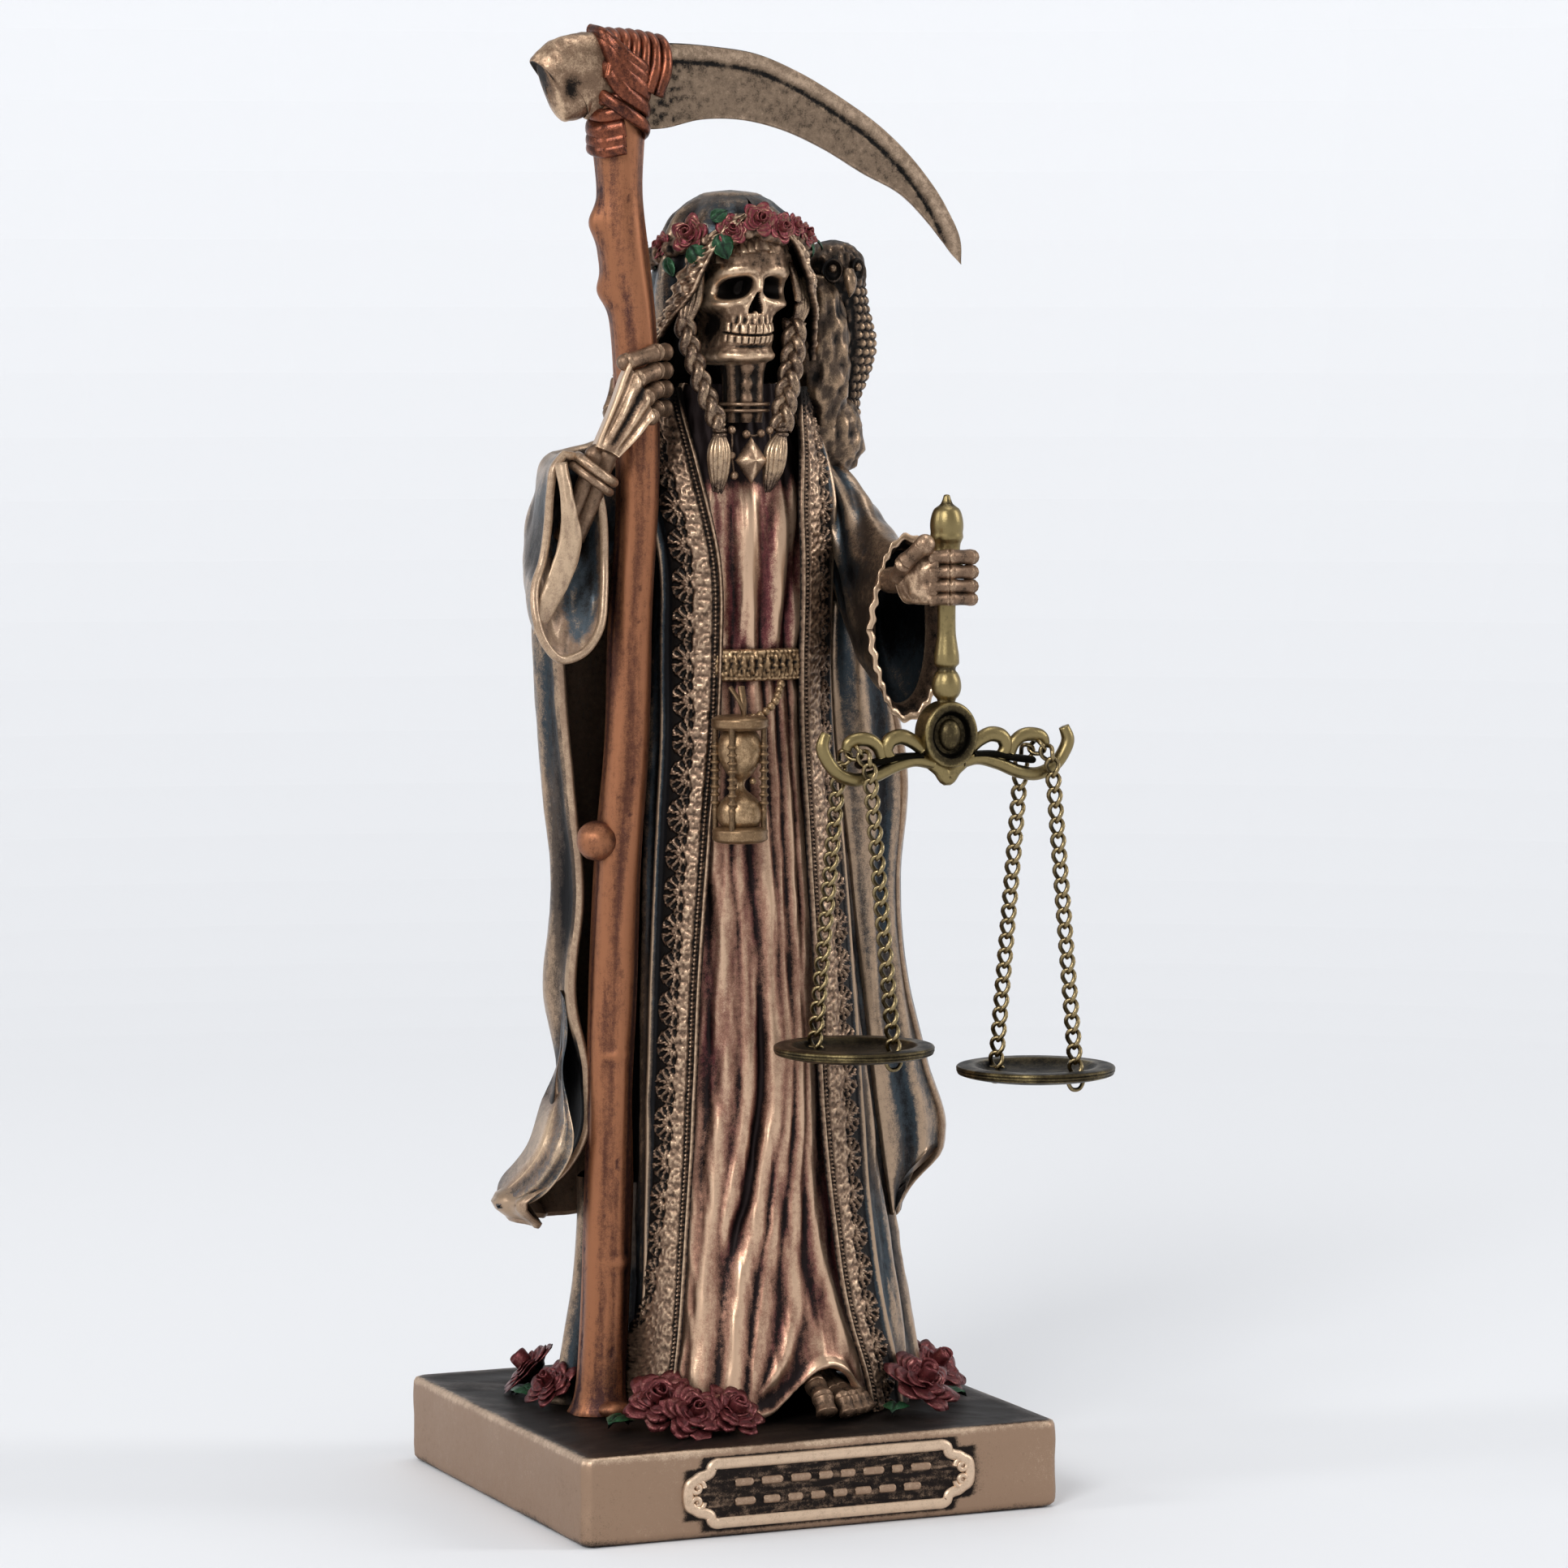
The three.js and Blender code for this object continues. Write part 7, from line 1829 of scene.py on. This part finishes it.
def hourglass():
    """Hourglass on a beaded cord: two discs, two teardrop bulbs, posts with beads."""
    shape = Shape()
    cx, cy = -5.2, -17.3
    bulbs = [
        [0.3, 99.6], [1.9, 98.9], [2.9, 97.6], [3.2, 96.0], [2.9, 94.3], [1.8, 92.5], [0.8, 91.4],
        [0.6, 90.9], [0.8, 90.4], [1.8, 89.5], [2.9, 88.4], [3.3, 87.0], [3.2, 86.0], [2.4, 84.9],
        [0.3, 84.4]]
    shape.add(lathe(bulbs[::-1], (cx, cy, 0), 36, 60), wrap=True, caps=True, wear=0.8, shade=0.6)
    for low, high, radius in ((99.0, 100.5, 4.1), (83.0, 84.8, 4.0)):
        disc = [
            [0.1, low], [radius - 0.35, low], [radius, low + 0.3], [radius - 0.12, (low + high) / 2],
            [radius, high - 0.3], [radius - 0.35, high], [0.1, high]]
        shape.add(lathe(disc, (cx, cy, 0), 40, 30), wrap=True, caps=True, wear=0.66, shade=0.1)
    for turn in (-2.4, -0.75, 1.2, 2.7):
        x, y = cx + 3.5 * math.cos(turn + 0.1), cy + 3.5 * math.sin(turn + 0.1)
        z = np.linspace(84.4, 99.4, 84)
        radius = (0.42 + 0.34 * np.maximum(0, np.cos((z - 91.9) * TAU / 1.15))
                  * smooth(5.4, 4.0, np.abs(z - 92.2)))
        post = lathe(np.column_stack([radius, z]), (x, y, 0), 10)
        shape.add(post, wrap=True, caps=True, wear=0.45 + 0.5 * (radius[:, None] - 0.42), shade=0.2)
    for side in (-1, 1):
        shape.bead((cx + side * 1.5, cy - 1.2, 91.5), 0.5, 14, 10, wear=0.8, shade=0)
    # Cord of beads from the belt
    cord = curve([[1.6, -16.2, 105.0], [0.2, -17.6, 102.8], [-2.0, -17.8, 100.9], [-4.3, -17.5, 100.2]], 9)
    for x, y, z in cord:
        shape.bead((x, y, z), 0.62, 14, 10, wear=0.75, shade=0)
    for dx in (-1.6, -0.2):
        strap = curve([
            [-4.4 + dx * 1.2, -16.4, 104.8], [-4.6 + dx * 0.4, -17.4, 102.6], [-4.6, -17.6, 100.4]], 24)
        shape.bar(strap, 0.55, 0.3, 10, wear=0.55, shade=0.2)
    shape.finish("hourglass", gold)


def toes():
    """Five toes under the lifted hem, three bones each."""
    shape = Shape()
    tips = [
        (5.0, -24.9, 1.62, 6.2), (8.2, -25.1, 1.3, 5.0), (10.1, -24.1, 1.22, 5.2), (11.9, -22.8, 1.12, 4.6),
        (13.6, -20.9, 1.02, 4.0)]
    for x, y, size, top in tips:
        inward = np.array([-0.25 * (x - 6) / 7, 1.0, 0])
        tip = np.array([x, y, size * 0.85])
        path = [tip, tip + inward * 1.6 + [0, 0, 1.9], tip + inward * 4.3 + [0, 0, top - size - 1.4],
                tip + inward * 9 + [0, 0, top - 0.6]]
        bone_chain(shape, path, size, shade=0.5)
    shape.finish("toes", bone)


def ground_roses():
    """Roses and leaves that lie on the plinth round the hem."""
    blooms, leaves = Shape(), Shape()
    spots = [
        [-18.2, -19.6, 3.6, 4.3, -0.35, -0.7], [-15.6, -24.6, 2.6, 3.9, 0.0, -1.0],
        [-9.6, -24.4, 2.4, 3.7, 0.3, -0.8], [21.4, -20.4, 3.4, 4.6, 0.3, -0.6],
        [29.6, -7.4, 3.0, 4.3, 0.5, -0.6], [-25.6, 4, 2.6, 3.4, -0.8, -0.2],
        [-24.4, 15.2, 2.8, 4.1, -0.8, 0.4]]
    for k, (x, y, z, size, fx, fy) in enumerate(spots):
        rose(blooms, (x, y, z), size, (fx, fy, 0.9), 300 + k, layers=4)
    blooms.finish("ground_roses", rose_red)
    greens = [
        [-13.0, -24.2, 1.6, 5.2, -1.0, -0.6, 0.25], [-21.6, -16.0, 1.2, 5.0, -0.8, -0.5, 0.3],
        [-12.2, -21.6, 1.5, 5.4, 0.6, -0.9, 0.35], [17.6, -22.0, 1.2, 4.6, -0.6, -0.8, 0.3],
        [25.6, -15.6, 1.2, 4.8, 0.8, -0.3, 0.3], [27.4, -2.6, 1.2, 4.6, 0.6, 0.6, 0.25],
        [-23.6, 9.6, 1.2, 5.0, -0.9, 0.1, 0.3], [-27.2, 7.6, 1.1, 4.4, -0.4, 0.9, 0.3],
        [-22.8, 19.2, 1.2, 4.6, -0.2, 1, 0.3]]
    for k, (x, y, z, size, ax, ay, az) in enumerate(greens):
        leaf(leaves, (x, y, z), size, (ax, ay, az), (0.1 * ax, 0.1 * ay, 1))
    leaves.finish("ground_leaves", leaf_green)


def owl():
    """Owl on the shoulder: lofted body, ringed face discs, hooked beak and rows of scale feathers."""
    shape = Shape()
    spine = curve([
        [20.8, 4.4, 140.4, 0.2, 0.2], [20.6, 4.4, 141.2, 1.4, 1.3], [19.8, 4.0, 145, 2.5, 2.5],
        [19.6, 3.8, 149, 3.7, 3.5], [19.8, 3.8, 153.5, 4.2, 3.9], [19.4, 3.6, 158, 4.0, 3.8],
        [18.6, 2.6, 161.2, 4.1, 3.9], [17.8, 1.6, 164.2, 4.5, 4.1], [17.6, 1.6, 166.4, 3.7, 3.5],
        [17.6, 1.8, 167.8, 1.6, 1.6], [17.6, 1.8, 168.1, 0.2, 0.2]], 130)
    turn = turns(100)
    z = spine[:, 2:3]
    grid = xyz(spine[:, :1] + spine[:, 3:4] * np.sin(turn), spine[:, 1:2] - spine[:, 4:5] * np.cos(turn), z)
    # Scale feathers: offset rows of round pads, finer on the head
    row = (z - 140) / 1.25
    column = turn / TAU * 22 + 0.5 * (np.floor(row) % 2)
    pad = np.hypot(row - np.floor(row) - 0.5, (column - np.floor(column) - 0.5) * 0.95)
    bearing = np.angle(np.exp(1j * turn))
    body = smooth(163, 161, z) * np.maximum(smooth(0.1, 0.35, bearing), smooth(-1.2, -1.6, bearing))
    lift = 0.62 * np.sqrt(np.clip(1 - (pad / 0.54) ** 2, 0, 1)) * body - 0.3 * body
    lift = lift + 0.9 * bump(bearing, 1.1, 0.6) * bump(z, 152, 6)
    lift = lift + (1 - body) * 0.3 * noise(grid * [1.4, 1.4, 0.7], 0.8, 195)
    grid = grid + lift[..., None] * outward(turn)
    shape.add(grid, wrap=True, caps=True, depth=0.2, reach=2, shade=0.25, tone=-0.3 * (1 - body))
    # Face: two shallow discs with rims, beads and a hooked beak
    for x, y, height, wide, tall, yaw in ((15.8, -2.3, 163.6, 1.5, 1.8, -0.35),
                                          (19.6, -2.0, 163.8, 1.4, 1.7, 0.5)):
        face_x = np.array([math.cos(yaw), math.sin(yaw), 0])
        out = np.array([math.sin(yaw), -math.cos(yaw), 0.05])
        r = np.linspace(0, 1, 16)[:, None]
        a = turns(40)
        dish = (0.55 * smooth(0.45, 0.95, r) - 0.5 * smooth(0.9, 1.0, r)
                + 0.07 * np.cos(22 * a) * bump(r, 0.7, 0.2))
        disc = (np.array([x, y, height]) + (wide * r * np.cos(a))[..., None] * face_x
                + (dish + 0.1)[..., None] * out
                + (tall * r * np.sin(a))[..., None] * np.array([0, 0, 1]))
        # Dark discs with rubbed rims, lighter towards their +x side: painted light across each dish
        shape.add(disc, wrap=True, caps=True, wear=0.12 + 0.3 * bump(r, 0.88, 0.07) + 0.25 * np.cos(a) * r,
                  shade=0)
        shape.bead(np.array([x, y, height + 0.3]) + out * 0.3, 0.6, 20, 14, wear=0.75, shade=0)
    beak = curve([
        [17.9, -3.2, 163.6, 0.8], [17.8, -4.0, 162.2, 0.95], [17.8, -4.2, 160.8, 0.6],
        [17.8, -3.7, 159.8, 0.12]], 24)
    shape.bar(beak[:, :3], beak[:, 3], beak[:, 3] * 0.9, 14, (0, -1, 0.1), wear=0.85, shade=0)
    # Wing and shoulder plumage that joins the owl to the hood
    for centre, radii, seed in (((14.6, 0.2, 150.5), (4.4, 4.6, 12.5), 196),
                                ((15.6, 2.2, 139.5), (6.6, 5.4, 6.6), 197)):
        lobe = ball(centre, radii, 56, 44)
        out = (lobe - np.array(centre)) / np.array(radii)
        tufts = 0.55 * noise(lobe * [1.2, 1.2, 0.55], 1.1, seed) + 0.3 * np.abs(noise(lobe, 0.7, seed))
        shape.add(lobe + tufts[..., None] * out, wrap=True, depth=0.25, reach=2, shade=0.2, tone=-0.22)
    shape.finish("owl", owl_bronze)


def cape_turn_back():
    """Corner of the cape's left edge that flicks out, with its light lining turned to the front."""
    outer = np.array([
        [-30.6, 62], [-30.4, 56.1], [-28.8, 49.6], [-29.3, 45.5], [-30, 43.3], [-31.6, 38.7], [-34.2, 35.1],
        [-37.2, 32.2], [-38.9, 30.6]])
    inner = np.array([
        [-29.4, 60], [-28.6, 54.3], [-28.4, 50], [-27.1, 44.5], [-26.3, 40.6], [-27.2, 37.0], [-30.6, 32.4],
        [-34.9, 29.9], [-38.4, 29.7]])
    share = np.linspace(0, 1, 90)
    stops = np.linspace(0, 1, len(outer))
    a = rows_at(np.column_stack([stops, outer]), share)
    b = rows_at(np.column_stack([stops, inner]), share)
    v = np.linspace(0, 1, 30)[None, :]
    back = 9.0 * smooth(0.55, 1, share)[:, None]
    x = a[:, :1] + (b[:, :1] - a[:, :1]) * v
    z = a[:, 1:] + (b[:, 1:] - a[:, 1:]) * v
    bulge = 1.4 * np.sin(math.pi * v) + 0.35 * np.cos(TAU * v * 1.5 + 2 * share[:, None])
    y = -5 - 3.2 * v - bulge + back + (8 - 3.5 * v) * smooth(38, 52, z)
    x = x + 0.434 * (y + 6.5) + 1.5 * smooth(47, 58, z)
    front = xyz(x, y, z)
    thick = 1.5 + 4.2 * smooth(0.15, 0.45, share) * (1 - smooth(0.78, 1, share))
    behind = front + xyz(0.35, thick, 0.25)[:, None]
    sheet = two_faces(front, behind)
    tint = np.concatenate([0.1 + 0.6 * v + 0 * y, 0.2 + 0.5 * noise(behind, 5, 207)], axis=1)
    Shape().add(sheet, wrap=True, caps=True, depth=0.2, reach=2, shade=0.2,
                paint=tint).finish("cape_turned_corner", lining)


def cape_right_fold():
    """Right front edge of the cape, folded in against the coat: a sheet with two soft folds."""
    v = np.linspace(0, 1, 26)[None, :]
    low = 35.5 - 9 * smooth(0.3, 1, v)
    z = low + np.linspace(0, 1, 80)[:, None] * (116 - low)
    edge = ellipse_point(MANTLE_ROWS, 1.74 + 0 * z, z)
    coat = coat_point(1.12 + 0 * z, z, 0.3)
    front = edge + (coat - edge) * v[..., None]
    front[..., 1] -= (1.6 * np.sin(math.pi * v) ** 0.7
                      + 0.55 * np.cos(TAU * 1.7 * v + z / 17) * np.sin(math.pi * v))
    front[..., 1] -= 0.2 * noise(front * [1, 1, 0.2], 2, 211)
    behind = front + np.array([0, 1.3, 0])
    sheet = two_faces(front, behind)
    tint = 0.35 + 0.6 * noise(sheet * [1, 1, 0.4], 6, 212)
    Shape().add(sheet, wrap=True, caps=True, depth=0.25, reach=3, shade=0.3,
                paint=tint).finish("cape_right_fold", slate)


right_sleeve()
left_sleeve()
arms()
hourglass()
toes()
ground_roses()
owl()
cape_turn_back()
cape_right_fold()
